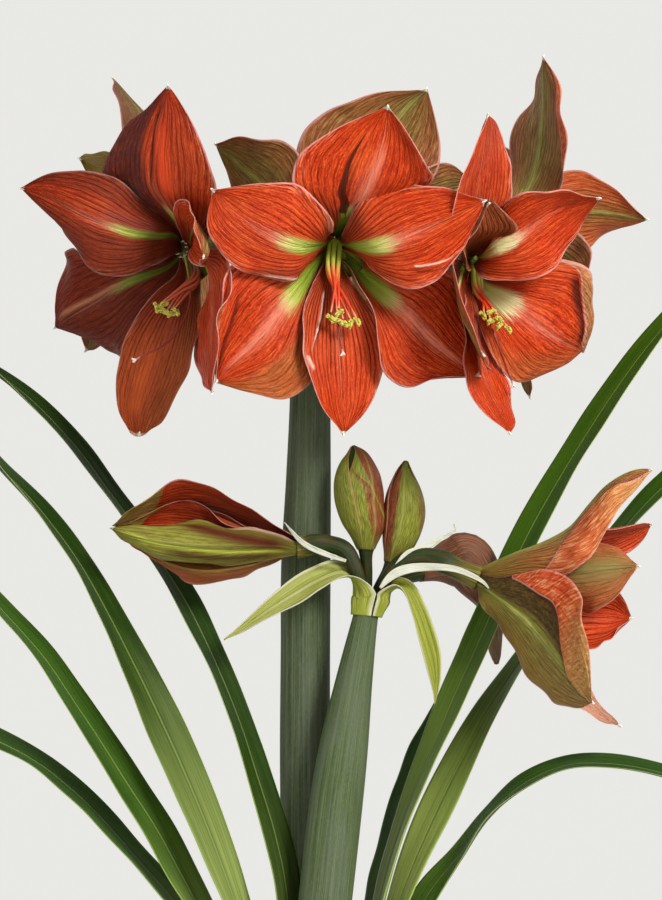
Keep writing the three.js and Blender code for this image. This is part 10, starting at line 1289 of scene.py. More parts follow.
# ---------------------------------------------------------------- tepals
def tepal_grid(net, nu, nv, seed, crinkle=0.55, ruffle=0.9, vein=0.16, C=None, ease=True):
    """Fine grid on the smooth surface through the net, with the relief a real tepal has."""
    us = np.linspace(0, 1, nu + 1)
    vs = np.linspace(0, 1, nv + 1)
    P = surface(net, us, vs)
    N = normals(P)
    t = us[:, None]
    s = vs[None, :] * 2 - 1
    a = np.abs(s)
    fade = np.clip(t / 0.25, 0, 1) ** 1.5 * np.clip((1 - t) / 0.06, 0, 1)
    d = crinkle * waves(s * 1.3, t * 1.8, seed) * fade * (0.4 + 0.6 * a)
    d = d + ruffle * np.clip((a - 0.55) / 0.45, 0, 1) ** 1.6 * np.sin(2 * math.pi * (t * (3.2 + 1.5 * hash01(seed)) + 0.35 * np.sign(s) + hash01(seed + 5)) + 1.2 * waves(t * 1.3, 0 * s, seed + 3)) * fade
    # furrow along the middle on the inside, small ribs along the main veins
    d = d - 0.55 * np.exp(-(s / 0.05) ** 2) * np.clip(t / 0.1, 0, 1) * np.clip((1 - t) / 0.15, 0, 1)
    q = a / (0.58 + 0.66 * t)
    d = d - vein * np.sin(2 * math.pi * q * 9 + 0.8 * np.sign(s)) * fade * np.clip((1 - a) / 0.1, 0, 1) * np.clip(a / 0.1, 0, 1)
    return P + N * d[..., None], us, vs


def tepal_thickness(us, vs, mid=1.0, edge=0.3):
    t = us[:, None]
    a = np.abs(vs[None, :] * 2 - 1)
    th = edge + (mid - edge) * np.clip((1 - a) / 0.5, 0, 1) ** 0.8
    th = th + 0.35 * np.exp(-(a / 0.08) ** 2) * (1 - t)
    return th * (0.45 + 0.55 * np.clip((1 - t) / 0.05, 0, 1))


# star length, star width, cream, pink end, pink strength, dark throat (real colour and painted shade), dark reach,
# brown and painted shade; then warm, green of the outer side
LOOK = {
    'T1': (0.44, 0.46, 0.0, 0.95, 0.55, 0.45, 0.42, 0.0, 0.2, 0.0),
    'T2': (0.62, 0.36, 0.15, 0.82, 0.85, 0.65, 0.42, 0.0, 0.2, 0.0),
    'T3': (0.56, 0.38, 0.15, 0.82, 0.75, 0.85, 0.46, 0.0, 0.3, 0.0),
    'T4': (0.53, 0.44, 0.05, 1.0, 0.85, 0.60, 0.44, 0.10, 0.2, 0.0),
    'T5': (0.49, 0.44, 0.05, 1.0, 0.85, 0.60, 0.44, 0.0, 0.2, 0.0),
    'T6': (0.30, 0.22, 0.0, 0.75, 0.25, 0.95, 0.62, 0.0, 0.2, 0.0),
    'L1': (0.40, 0.14, 0.0, 0.6, 0.3, 0.95, 0.60, 0.30, 0.1, 0.0),
    'L2': (0.58, 0.20, 0.1, 0.85, 0.6, 0.90, 0.60, 0.36, 0.1, 0.0),
    'L3': (0.58, 0.18, 0.1, 1.0, 0.5, 0.80, 0.55, 0.90, 0.1, 0.0),
    'L4': (0.25, 0.12, 0.0, 0.6, 0.2, 0.90, 0.64, 0.50, 0.1, 0.0),
    'L5': (0.30, 0.14, 0.0, 0.6, 0.3, 0.6, 0.4, 0.05, 0.5, 0.0),
    'L6': (0.30, 0.16, 0.0, 0.9, 0.4, 0.5, 0.4, 0.0, 0.3, 0.0),
    'R1': (0.30, 0.16, 0.5, 0.6, 0.4, 0.5, 0.4, 0.0, 0.2, 0.0),
    'R2': (0.30, 0.16, 0.5, 0.6, 0.3, 0.5, 0.5, 0.60, 0.2, 0.0),
    'R3': (0.60, 0.34, 0.95, 0.85, 0.6, 0.80, 0.38, 0.0, 0.3, 0.0),
    'R5': (0.30, 0.16, 0.3, 0.6, 0.3, 0.9, 0.8, 0.25, 0.4, 0.0),
    'R4': (0.42, 0.56, 1.0, 0.9, 0.5, 0.2, 0.2, 0.0, 0.55, 0.25),
    'R6': (0.30, 0.16, 0.5, 0.9, 0.3, 0.5, 0.4, 0.0, 0.3, 0.0),
    'S1': (0.30, 0.20, 0.3, 0.9, 0.5, 0.6, 0.5, 0.10, 0.30, 0.10),
    'S2': (0.30, 0.20, 0.3, 0.9, 0.3, 0.5, 0.4, 0.12, 0.12, 0.45),
    'S3': (0.30, 0.20, 0.3, 0.9, 0.5, 0.5, 0.4, 0.0, 0.80, 0.10),
    'S4': (0.30, 0.20, 0.3, 0.9, 0.3, 0.85, 0.9, 0.0, 0.3, 0.1),
    'S5': (0.30, 0.20, 0.3, 0.9, 0.3, 0.85, 0.9, 0.0, 0.3, 0.1),
    'S6': (0.30, 0.20, 0.3, 0.9, 0.7, 0.4, 0.4, 0.0, 0.6, 0.1),
    'H1': (0.20, 0.15, 0.2, 0.9, 0.4, 0.6, 0.5, 0.2, 0.0, 0.95),
    'H2': (0.20, 0.15, 0.2, 0.9, 0.3, 0.8, 0.9, 0.40, 0.62, 0.0),
    'B2': (0.42, 0.30, 0.2, 0.92, 0.7, 0.6, 0.42, 0.5, 0.0, 0.5),
    'B3': (0.42, 0.30, 0.2, 0.92, 0.7, 0.6, 0.42, 0.3, 0.3, 0.0),
    'H3': (0.10, 0.10, 0.2, 0.3, 0.2, 0.6, 0.6, 0.35, 0.75, 0.0),
    'H4': (0.10, 0.10, 0.2, 0.3, 0.2, 0.6, 0.6, 0.25, 0.75, 0.0),
    'H5': (0.20, 0.15, 0.2, 0.9, 0.4, 0.6, 0.5, 0.3, 0.1, 0.4),
    'H6': (0.20, 0.15, 0.2, 0.9, 0.4, 0.6, 0.5, 0.3, 0.1, 0.4),
    'K2': (0.42, 0.24, 0.2, 0.92, 0.7, 0.6, 0.42, 0.0, 0.80, 0.1),
}
BACK_LOOK = (0.42, 0.30, 0.2, 0.92, 0.7, 0.6, 0.42, 0.05, 0.06, 0.0)
SEED = {}


def tepal_mats(key):
    seed = 3.0 + 1.37 * len(SEED)
    SEED[key] = seed
    k = LOOK.get(key, BACK_LOOK)
    inside = {'Seed': seed, 'Star': k[0], 'Star width': k[1], 'Cream': k[2], 'Pink': k[3], 'Pink strength': k[4],
              'Dark': k[5], 'Dark reach': k[6], 'Brown': k[7]}
    outside = {'Seed': seed, 'Warm': k[8], 'Green': k[9], 'Brown': k[7] * 0.6}
    a = tepal_material('tepal_in_' + key, key, 'in', INNER, (OUTER, outside), **inside)
    b = tepal_material('tepal_out_' + key, key, 'out', OUTER, (INNER, dict(inside, Brown=k[7] * 0.5)), **outside)
    return a, b


FLOWER_NAMES = {'front': 'flower_front', 'left': 'flower_left', 'right': 'flower_right', 'side': 'flower_side',
                'bcen': 'flower_back_centre', 'bleft': 'flower_back_left', 'bright': 'flower_back_right', 'hbud': 'flower_half_open'}


def add_base(b, key, cup=True):
    """Pedicel, three-sided ovary and tube, ending in a small cup at the throat."""
    path = BASES[key]
    n = len(path)

    def shape(th, v):
        k = np.exp(-((v * (n - 1) - 4.0) / 0.9) ** 2)
        return 1 + 0.07 * k * np.cos(3 * th + 0.6) + 0.02 * np.cos(5 * th) * (1 - v)
    tube(b, path, 30, n * 5, M['base'], shape, dent=7.0 if cup else 0.0, cap=0.1)


def add_throat(b, f, reach=0.13, out=True):
    """Short funnel in which the tepals are joined."""
    A = np.array(f['A'], float)
    A /= np.linalg.norm(A)
    C = np.array(f['C'], float)
    e1 = np.cross(A, [0.13, 0.27, 1.0])
    e1 /= np.linalg.norm(e1)
    e2 = np.cross(A, e1)
    nu, nv = 14, 72
    ts = np.linspace(0.0, reach, nu + 1)
    polar = []
    for key, net in f['T'].items():
        G = surface(net, ts, np.linspace(0.08, 0.92, 13)) - C
        polar.append(np.stack([np.arctan2(G @ e2, G @ e1), np.hypot(G @ e1, G @ e2), G @ A], -1))
    P = np.zeros((nu + 1, nv + 1, 3))
    for i in range(nu + 1):
        pts = np.concatenate([p[i] for p in polar])
        for j in range(nv + 1):
            th = 2 * math.pi * j / nv
            d = np.angle(np.exp(1j * (pts[:, 0] - th)))
            w = np.exp(-(d / 0.30) ** 2) + 1e-4
            r = (w * pts[:, 1]).sum() / w.sum() + (1.2 + 2.6 * ts[i] / reach if out else -0.5)
            h = (w * pts[:, 2]).sum() / w.sum() - 0.5
            P[i, j] = C + A * h + (e1 * math.cos(th) + e2 * math.sin(th)) * r
    N = normals(P)
    if ((C + A * 10 - P[nu // 2, 0]) @ N[nu // 2, 0]) < 0:
        N = -N
    sheet(b, P, 0.5, M['throat_in'], M['throat_out'], N=N)


def add_tip(b, P, N):
    """Small pale hook on the point of a tepal."""
    tip = P[-1].mean(0)
    d = tip - P[-5].mean(0)
    d /= max(np.linalg.norm(d), 1e-6)
    n = N[-3, N.shape[1] // 2]
    tube(b, [list(tip - d * 2.0) + [0.6], list(tip - d * 0.6 + n * 0.1) + [0.8], list(tip + d * 0.5 + n * 0.4) + [0.6], list(tip + d * 1.0 + n * 1.0) + [0.25]], 8, 8, M['white'])


for fl, name in FLOWER_NAMES.items():
    f = FLOWERS[fl]
    single = fl in ('front', 'left', 'right', 'side')
    marks = []
    if not single:
        b = Build()
        add_base(b, fl)
    for ti, (key, net) in enumerate(f['T'].items()):
        m_in, m_out = tepal_mats(key)
        seed = ti * 7 + len(name)
        if single:
            P, us, vs = tepal_grid(net, 72, 48, seed)
            if key == 'S6':
                wx, wy = np.clip((vs - 0.45) / 0.45, 0, 1)[None, :], np.clip((us - 0.10) / 0.18, 0, 1)[:, None] * np.clip((0.74 - us) / 0.22, 0, 1)[:, None]
                P[..., 1] += 15.0 * wx * wx * (3 - 2 * wx) * wy * wy * (3 - 2 * wy)
            b = Build()
            marks = []
        else:
            P, us, vs = tepal_grid(net, 48, 32, seed, vein=0.1)
        N = normals(P)
        if strokes(key):
            fields = curve_fields(key, P, us, vs)
            marks.append((len(b.v), P.shape[0] * P.shape[1], fields))
            P = P + N * np.asarray(relief(key, fields))[..., None]
            N = normals(P)
        th = tepal_thickness(us, vs)
        sheet(b, P, th, m_in, m_out)
        if fl != 'hbud':
            add_tip(b, P, N)
        if single:
            ob = b.make(f'petal_{fl}_{key}')
            tag(ob, marks)
            done(ob, 'tepal', f'{name}_tepal_{key[1:]}')
    if fl != 'hbud' and not single:
        add_throat(b, f, out=False)
    if single:
        b = Build()
        add_base(b, fl)
        add_throat(b, f, out=fl != 'side')
        done(b.make(f'stalk_{fl}'), 'pedicel', f'{name}_base')
    else:
        ob = b.make(f'bloom_{fl}')
        tag(ob, marks)
        done(ob, 'tepal_back', name)

# ---------------------------------------------------------------- stamens and style
for fl, sdat in STAMENS.items():
    b = Build()
    A = np.array(FLOWERS[fl]['A'], float)
    A /= np.linalg.norm(A)
    q = np.array(sdat['style'], float)
    path = [list(p) + [r] for p, r in zip(q, np.linspace(0.8, 0.5, len(q)))]
    pts, T, X, Y = tube(b, path, 10, 26, M['style'])
    end, d = pts[-1, :3], T[-1]
    for k in range(3):
        ang = 2 * math.pi * k / 3 + 0.5
        w = X[-1] * math.cos(ang) + Y[-1] * math.sin(ang)
        lobe = [list(end - d * 0.6) + [0.65], list(end + d * 0.6 + w * 0.6) + [0.7], list(end + d * 1.1 + w * 1.2) + [0.6], list(end + d * 1.1 + w * 1.8) + [0.35]]
        tube(b, lobe, 8, 8, M['white'])
    for k, p in enumerate(sdat['anth']):
        p = np.array(p, float)
        path = [list(c) + [r] for c, r in zip(p[:4], (1.5, 1.25, 0.95, 0.5))]
        # the left flower takes the darker filament colours, painted shade
        pts, T, X, Y = tube(b, path, 8, 24, M['filament_shaded' if fl == 'left' else 'filament'])
        # anther: a curved bean hung at its middle, dusty with pollen
        c = p[3] + (p[4] - p[3]) * 0.35
        along = p[4] - p[3]
        along /= np.linalg.norm(along)
        h = hash01(k * 3 + len(fl))
        side = np.cross(along, np.array([0.2, -1.0, 0.3 + h]))
        side /= np.linalg.norm(side)
        ax = along * math.cos(1.1 * h + 0.25) + side * math.sin(1.1 * h + 0.25) * (1 if k % 2 else -1)
        bend = np.cross(ax, np.cross(along, ax) + 1e-6)
        bend /= max(np.linalg.norm(bend), 1e-6)
        L = 2.7
        st = []
        for w in np.linspace(-1, 1, 9):
            st.append(list(c + ax * L * w + bend * 0.9 * (w * w - 0.4)) + [1.2 * math.sqrt(max(1 - 0.86 * w * w, 0.03))])
        tube(b, st, 10, 22, M['pollen_dark'], shape=lambda th, v, k=k: 1 + 0.16 * np.cos(2 * th) + 0.13 * np.sin(th * 5 + v * 31 + k) * np.sin(v * 23 + k * 2))
        # burst edges and clinging pollen
        for m in range(26):
            w = -0.95 + 1.9 * hash01(m * 3 + k * 11 + len(fl))
            an = 6.2832 * hash01(m * 5 + k * 7 + 2)
            u = np.cross(ax, bend) * math.cos(an) + bend * math.sin(an)
            o = 1.2 * math.sqrt(max(1 - 0.8 * w * w, 0.05))
            blob(b, c + ax * L * w + bend * 0.9 * (w * w - 0.4) + u * o, 0.42 + 0.42 * hash01(m * 13 + k), M['pollen'], m + k, (1.5, 0.8, 0.8), rough=0.3, n=4, axes=[ax, bend, np.cross(ax, bend)])
    # small cup of the throat that joins the filaments, with its pale fringe
    C = np.array(FLOWERS[fl]['C'], float)
    base = np.array([p[0] for p in sdat['anth']], float).mean(0)
    # in the left flower the cup takes the same painted-shade filament colours
    tube(b, [list(base - A * 3.5) + [3.4], list(base - A * 1.2) + [4.2], list(base + A * 0.8) + [4.0], list(base + A * 1.6) + [2.6]], 18, 10, M['filament_shaded' if fl == 'left' else 'filament'], v0=0.0, v1=0.05, cap=0.2)
    for k in range(12):
        ang = 2 * math.pi * (k + 0.3 * hash01(k)) / 12
        e1 = np.cross(A, [0.1, 0.2, 1.0]); e1 /= np.linalg.norm(e1)
        e2 = np.cross(A, e1)
        w = e1 * math.cos(ang) + e2 * math.sin(ang)
        L = 2.2 + 1.6 * hash01(k + 9)
        tube(b, [list(base + w * 4.0) + [0.5], list(base + w * 4.8 + A * L * 0.5) + [0.42], list(base + w * 5.0 + A * L) + [0.18]], 6, 6, M['white'])
    done(b.make(f'stamens_{fl}'), 'stamen', f'flower_{fl}_stamens')

# ---------------------------------------------------------------- closed buds
for name, path in BUDS.items():
    b = Build()
    n_path = len(path)
    q = path_points(path, 70)
    T, X, Y = frames(q)
    rmax = max(p[3] for p in path)
    first = next(k for k in range(len(q)) if q[k, 3] > rmax * 0.42)
    core = q.copy()
    core[:, 3] = np.where(np.arange(len(q)) < first, q[:, 3], np.maximum(q[:, 3] * 0.9, 0.2))
    tube(b, core[:first + 6] if name == 'bud_nodding' else core, 24, 0, M['base'], v0=0.0, v1=0.7)
    if name == 'bud_nodding':
        tube(b, core[first + 2:], 24, 0, M['bud_nod'])
    # three outer tepals wrapped one over the next
    k0 = max(first - 3, 0)
    sub = q[k0:]
    tt = np.linspace(0, 1, len(sub))
    for w in range(3):
        centre = {'bud_upright_left': 3.6, 'bud_upright_right': 2.9, 'bud_nodding': 0.6}[name] + w * 2.094
        half = 1.32 * np.clip(1.05 - tt ** 3.2 * 0.75, 0.2, 1) * np.clip(tt / 0.06 + 0.55, 0, 1)
        cols = np.linspace(-1, 1, 25)
        ang = centre + half[:, None] * cols[None, :] + 0.25 * tt[:, None] * (1 if w != 1 else 0.6)
        R = sub[:, 3][:, None] * (1.0 + 0.018 * np.cos(3 * cols)[None, :]) + 0.15 + 0.75 * (cols[None, :] * 0.5 + 0.5) * np.clip(np.sin(np.clip(tt, 0, 1) * math.pi), 0, 1)[:, None]
        R = R + 0.45 * np.exp(-(cols[None, :] / 0.1) ** 2) * np.sin(np.clip(tt * 1.05, 0, 1) * math.pi)[:, None]
        P = sub[:, None, :3] + (X[k0:][:, None] * np.cos(ang)[..., None] + Y[k0:][:, None] * np.sin(ang)[..., None]) * R[..., None]
        N = normals(P)
        tone = M[{'bud_upright_left': 'bud_left', 'bud_upright_right': 'bud_right', 'bud_nodding': 'bud_nod'}[name]]
        sheet(b, P, 0.7, tone, tone, N=N)
    done(b.make('closed_' + name), 'bud', name)

# ---------------------------------------------------------------- flower stalks
for name, path in SCAPES.items():
    b = Build()
    sd = 1.0 if name == 'scape_tall' else 2.4

    def shape(th, v, sd=sd):
        return 1 + 0.006 * np.cos(2 * th + sd) + 0.004 * np.cos(7 * th + 3 * v + sd) + 0.003 * np.cos(16 * th + sd * 2)
    tube(b, path, 96, len(path) * 14, M['stem_tall' if name == 'scape_tall' else 'stem_short'], shape, cap=0.25)
    done(b.make('stalk_' + name), 'scape', name)


# ---------------------------------------------------------------- ribbons
def strip_net(st, sags):
    st = np.array(st, float)
    n = len(st)
    L, R = st[:, :3], st[:, 3:]
    mid = (L + R) / 2
    rows = []
    for i in range(n):
        t = mid[min(i + 1, n - 1)] - mid[max(i - 1, 0)]
        nn = np.cross(R[i] - L[i], t)
        ln = np.linalg.norm(nn)
        nn = nn / ln if ln > 1e-6 else np.array([0, 1.0, 0])
        rows.append([L[i] * (1 - s) / 2 + R[i] * (1 + s) / 2 + nn * sags[i] * (1 - s * s) for s in np.linspace(-1, 1, 5)])
    net = np.array(rows)
    net[-1] = net[-1][2] + (net[-2] - net[-2][2]) * 0.12
    return net


for name, d in STRIPS.items():
    net = strip_net(d['st'], d['sag'])
    b = Build()
    big = name.startswith('spathe')
    nu, nv = (90, 24) if big else (50, 10)
    us, vs = np.linspace(0, 1, nu + 1), np.linspace(0, 1, nv + 1)
    P = surface(net, us, vs)
    N = normals(P)
    t, s = us[:, None], vs[None, :] * 2 - 1
    amp = 0.35 if big else 0.12
    P = P + N * (amp * np.sin(s * 13 + 1.0) * np.clip(t / 0.1, 0, 1) * np.clip((1 - t) / 0.1, 0, 1) + 0.5 * amp * waves(s, t * 3, 4))[..., None]
    th = (0.9 if big else 0.75) * (0.4 + 0.6 * np.clip((1 - np.abs(s)) / 0.4, 0, 1)) * (0.5 + 0.5 * np.clip((1 - t) / 0.1, 0, 1))
    if big:
        first, second = ('spathe_in', 'spathe_out') if name == 'spathe_left' else ('spathe_out', 'spathe_out')
        sheet(b, P, th, M[first], M[second])
    else:
        sheet(b, P, th, M['bract'], M['bract'])
    done(b.make('ribbon_' + name), 'spathe' if big else 'bracteole', name)

# tone of each leaf: light, dark, two tones of the pale lower blade, how far those reach
MID, DEEP = lin(66, 122, 14), lin(26, 66, 6)
LEAF_LOOK = {
    'A': (lin(36, 66, 12), lin(14, 34, 5), (lin(46, 60, 20), lin(80, 96, 44)), 0.40),
    'B': (lin(44, 74, 12), lin(16, 38, 4), (lin(126, 150, 60), lin(186, 198, 118)), 0.58),
    'C': (lin(66, 104, 20), lin(28, 56, 8), (lin(112, 134, 50), lin(160, 176, 92)), 0.42),
    'D': (lin(62, 96, 30), lin(24, 48, 14), (lin(100, 124, 56), lin(146, 166, 96)), 0.40),
    'E': (lin(44, 74, 22), lin(18, 38, 10), (lin(62, 84, 34), lin(92, 112, 56)), 0.30),
    'F': (lin(78, 116, 22), lin(34, 62, 6), (lin(112, 136, 48), lin(158, 174, 90)), 0.62),
    'G': (lin(62, 100, 16), lin(28, 54, 5), (lin(150, 172, 60), lin(206, 216, 128)), 0.72),
    'H': (lin(54, 92, 20), lin(22, 50, 9), (lin(80, 112, 36), lin(116, 144, 62)), 0.46),
}
for k, d in LEAVES.items():
    name = LEAF_NODES[k]
    net = strip_net(d['st'], [d['sag']] * len(d['st']))
    b = Build()
    nu, nv = 160, 16
    us, vs = np.linspace(0, 1, nu + 1), np.linspace(0, 1, nv + 1)
    P = surface(net, us, vs)
    N = normals(P)
    t, s = us[:, None], vs[None, :] * 2 - 1
    P = P + N * (0.10 * np.sin(s * 19) + 0.35 * waves(s * 0.5, t * 6, ord(k)) * (0.3 + 0.7 * np.abs(s)) - 0.5 * np.exp(-(s / 0.09) ** 2))[..., None]
    base_th = 3.0 + (1.6 - 3.0) * np.minimum(1, t * 1.6)
    th = base_th * (0.22 + 0.78 * np.clip((1 - np.abs(s)) / 0.75, 0, 1) ** 0.6) * (0.4 + 0.6 * np.clip((1 - t) / 0.04, 0, 1))
    light, dark, low_tones, reach = LEAF_LOOK[k]
    seed = float(ord(k))
    sheet(b, P, th, new_material('leaf_in_' + k, leaf_build(seed, light, dark, low_tones, reach, True), spec=0.13),
          new_material('leaf_out_' + k, leaf_build(seed, light, dark, low_tones, reach, False), spec=0.13))
    done(b.make('blade_' + k), 'leaf', name)

# ---------------------------------------------------------------- bulb
POT_H, POT_BASE_R, POT_RIM_R, POT_BAND_H, POT_WALL, POT_FLOOR = 165.0, 62.0, 92.0, 38.0, 7.0, 8.0
DRAIN_R, DRAIN_AT, SOIL_TOP = 5.5, 32.0, 145.0
BULB_BOTTOM, NECK_Z, BULB_R, NECK_R = 66.0, 206.0, 59.0, 43.0


def spline_profile(pts, n):
    p = np.array(pts, float)
    return cr_matrix(len(p), np.linspace(0, len(p) - 1, n)) @ p


def turned(b, prof, sides, mat, dr=None, dz=None, mats=None):
    """prof [[r, z] ...] from axis to axis. dr(theta, z, k) adds to the radius."""
    prof = np.array(prof, float)
    th = np.linspace(0, 2 * math.pi, sides, endpoint=False)
    verts, faces, uvs, ms = [], [], [], []
    n = len(prof)
    ring = []
    for i, (r, z) in enumerate(prof):
        if i in (0, n - 1):
            ring.append([len(verts)]); verts.append((0, 0, z + (dz(0.0, 0.0) if dz else 0.0))); continue
        ids = []
        for k in range(sides):
            rr = r + (dr(th[k], z, i) if dr else 0.0)
            x, y = rr * math.cos(th[k]), rr * math.sin(th[k])
            ids.append(len(verts)); verts.append((x, y, z + (dz(x, y) if dz else 0.0)))
        ring.append(ids)
    for i in range(n - 1):
        A, B = ring[i], ring[i + 1]
        mm = mats[i] if mats else mat
        for k in range(sides):
            k2 = (k + 1) % sides
            u0, u1, v0, v1 = k / sides, (k + 1) / sides, i / (n - 1), (i + 1) / (n - 1)
            if len(A) == 1:
                faces.append((A[0], B[k2], B[k])); uvs.append([(u0, v0), (u1, v1), (u0, v1)])
            elif len(B) == 1:
                faces.append((A[k], A[k2], B[0])); uvs.append([(u0, v0), (u1, v0), (u0, v1)])
            else:
                faces.append((A[k], A[k2], B[k2], B[k])); uvs.append([(u0, v0), (u1, v0), (u1, v1), (u0, v1)])
            ms.append(mm)
    b.add(verts, faces, uvs, ms)


b = Build()
outer = spline_profile([[22, BULB_BOTTOM], [34, BULB_BOTTOM + 6], [50, BULB_BOTTOM + 24], [BULB_R, BULB_BOTTOM + 50], [BULB_R - 1, BULB_BOTTOM + 64],
                        [BULB_R - 6, SOIL_TOP + 2], [NECK_R + 4, SOIL_TOP + 22], [NECK_R + 0.5, NECK_Z - 16], [NECK_R, NECK_Z - 3]], 52)
top = [[NECK_R - 0.6, NECK_Z - 1.2], [NECK_R - 1.4, NECK_Z]]
r = NECK_R - 2.2
z = NECK_Z
while r > 6:
    top += [[r, z - 2.2], [r - 2.2, z - 2.6], [r - 2.8, z - 0.8], [r - 3.4, z - 0.6]]
    r -= 4.4
    z -= 0.25
prof = [[0, BULB_BOTTOM]] + outer.tolist() + top + [[0, z - 1.5]]
n_out = len(outer)


def bulb_dr(th, z, i):
    k = min(max((z - 120) / 30, 0), 1)
    return k * (0.5 * math.sin(5 * th + 0.04 * z) + 0.35 * math.sin(23 * th + 0.8 * math.sin(z * 0.05)) + 0.22 * math.sin(61 * th + 1.3 * math.sin(z * 0.07)) + 0.3 * math.sin(3 * th + z * 0.06))


turned(b, prof, 128, M['tunic'], bulb_dr, mats=[M['tunic']] * (n_out + 1) + [M['flesh']] * (len(prof) - n_out - 2))
# dry outer scales: thin, overlapping, with torn upper edges
for w in range(7):
    th0 = w * 0.93 + 0.3 * hash01(w)
    half = 0.55 + 0.35 * hash01(w + 4)
    ztop = 176 + 24 * hash01(w + 8)
    lift = 0.9 + 0.5 * (w % 3)
    nu, nv = 32, 30
    P = np.zeros((nu + 1, nv + 1, 3))
    for j in range(nv + 1):
        s = j / nv * 2 - 1
        th = th0 + half * s
        edge = ztop - 10 * abs(s) ** 1.5 + 3.2 * math.sin(th * 19 + w) + 1.6 * math.sin(th * 47 + 2 * w)
        for i in range(nu + 1):
            t = i / nu
            zz = 138 + (edge - 138) * t
            rr = np.interp(zz, outer[:, 1], outer[:, 0]) + bulb_dr(th, zz, 0) + lift + 2.6 * max(0, t - 0.8) * (1 + 0.6 * math.sin(th * 9 + w)) + 0.25 * math.sin(th * 37 + w)
            P[i, j] = (rr * math.cos(th), rr * math.sin(th), zz)
    sheet(b, P, 0.35, M['tunic'], M['tunic'])
done(b.make('bulb_scales'), 'bulb_tunic', 'bulb')

# ---------------------------------------------------------------- pot with its drain holes
body_r = lambda z: POT_BASE_R + (POT_RIM_R - 9 - POT_BASE_R) * z / (POT_H - POT_BAND_H)
zb = POT_H - POT_BAND_H


def rounded(pts, rad, n=6):
    """Polyline with each corner turned into a small arc."""
    pts = [np.array(p, float) for p in pts]
    out = [pts[0]]
    for i in range(1, len(pts) - 1):
        a, c, d = pts[i - 1], pts[i], pts[i + 1]
        rr = rad[i] if isinstance(rad, (list, tuple)) else rad
        u, v = (a - c), (d - c)
        lu, lv = np.linalg.norm(u), np.linalg.norm(v)
        k = min(rr, lu * 0.45, lv * 0.45)
        p0, p1 = c + u / lu * k, c + v / lv * k
        for m in range(n + 1):
            f = m / n
            out.append((1 - f) ** 2 * p0 + 2 * f * (1 - f) * c + f * f * p1)
    out.append(pts[-1])
    return out


inner_low, inner_band = POT_BASE_R - POT_WALL + 2, body_r(zb) - POT_WALL + 2
pot_line = [[0, 0], [POT_BASE_R, 0], [body_r(zb), zb], [POT_RIM_R - 3.2, zb + 0.6], [POT_RIM_R, POT_H - 1.0], [POT_RIM_R - 1.2, POT_H], [POT_RIM_R - POT_WALL + 0.2, POT_H],
            [POT_RIM_R - POT_WALL - 0.6, POT_H - 1.0], [inner_band, zb], [inner_low, POT_FLOOR + 2], [inner_low - 4, POT_FLOOR], [0, POT_FLOOR]]
line = rounded(pot_line, [0, 2.4, 1.6, 2.6, 1.6, 1.0, 1.0, 1.6, 3.0, 2.5, 2.0, 0])
fine_line = [line[0]]
for p in line[1:]:
    a = fine_line[-1]
    n = max(1, int(np.linalg.norm(p - a) / 4.0))
    for k in range(1, n + 1):
        fine_line.append(a + (p - a) * k / n)
b = Build()
turned(b, fine_line, 120, M['clay'], lambda th, z, i: 0.12 * math.sin(z * 0.9 + 0.6 * math.sin(th)) + 0.08 * math.sin(2 * th + z * 0.02))
pot = b.make('clay_pot')
for k in range(4):
    a = math.pi / 4 + k * math.pi / 2
    hb = Build()
    turned(hb, [[0, -4], [DRAIN_R, -4], [DRAIN_R, POT_FLOOR + 4], [0, POT_FLOOR + 4]], 28, M['clay'])
    hb.v = [(x + DRAIN_AT * math.cos(a), y + DRAIN_AT * math.sin(a), z) for x, y, z in hb.v]
    cutter = hb.make(f'cutter_{k}')
    mod = pot.modifiers.new('hole', 'BOOLEAN')
    mod.operation = 'DIFFERENCE'
    mod.solver = 'EXACT'
    mod.object = cutter
    dg = bpy.context.evaluated_depsgraph_get()
    me = bpy.data.meshes.new_from_object(pot.evaluated_get(dg))
    pot.modifiers.clear()
    pot.data = me
    bpy.data.objects.remove(cutter)
me = pot.data
me.materials.clear()
me.materials.append(M['clay'])
done(pot, 'terracotta', 'pot')

# ---------------------------------------------------------------- soil
inner_r = lambda z: inner_low + (inner_band - inner_low) * (z - POT_FLOOR - 2) / (zb - POT_FLOOR - 2) if z <= zb else inner_band + (POT_RIM_R - POT_WALL - 0.8 - inner_band) * (z - zb) / (POT_H - 2.5 - zb)
b = Build()
side = [[0, POT_FLOOR + 0.8], [inner_r(POT_FLOOR + 5) - 3, POT_FLOOR + 0.8], [inner_r(POT_FLOOR + 5) - 1.0, POT_FLOOR + 4.5]]
for z in np.linspace(POT_FLOOR + 10, SOIL_TOP - 2, 16):
    side.append([inner_r(z) - 1.0, z])
rim = inner_r(SOIL_TOP) - 1.3
for r in np.linspace(rim, 1.5, 54):
    side.append([r, SOIL_TOP - 0.6 + 1.6 * (1 - (r / rim) ** 2)])
side.append([0, SOIL_TOP + 1.0])


def soil_dz(x, y):
    r = math.hypot(x, y)
    k = min(max((rim + 1 - r) / 6, 0), 1)
    w = waves(np.array(x / 26.0), np.array(y / 26.0), 11, n=7, lo=0.7, hi=2.6)
    w2 = waves(np.array(x / 9.0), np.array(y / 9.0), 23, n=7, lo=0.7, hi=2.6)
    return float(k * (0.8 * w + 0.55 * w2))


prof = np.array(side)
turned(b, side, 144, M['soil'])
b.v = [(x, y, z + soil_dz(x, y)) if z > SOIL_TOP - 1.5 else (x, y, z) for x, y, z in b.v]
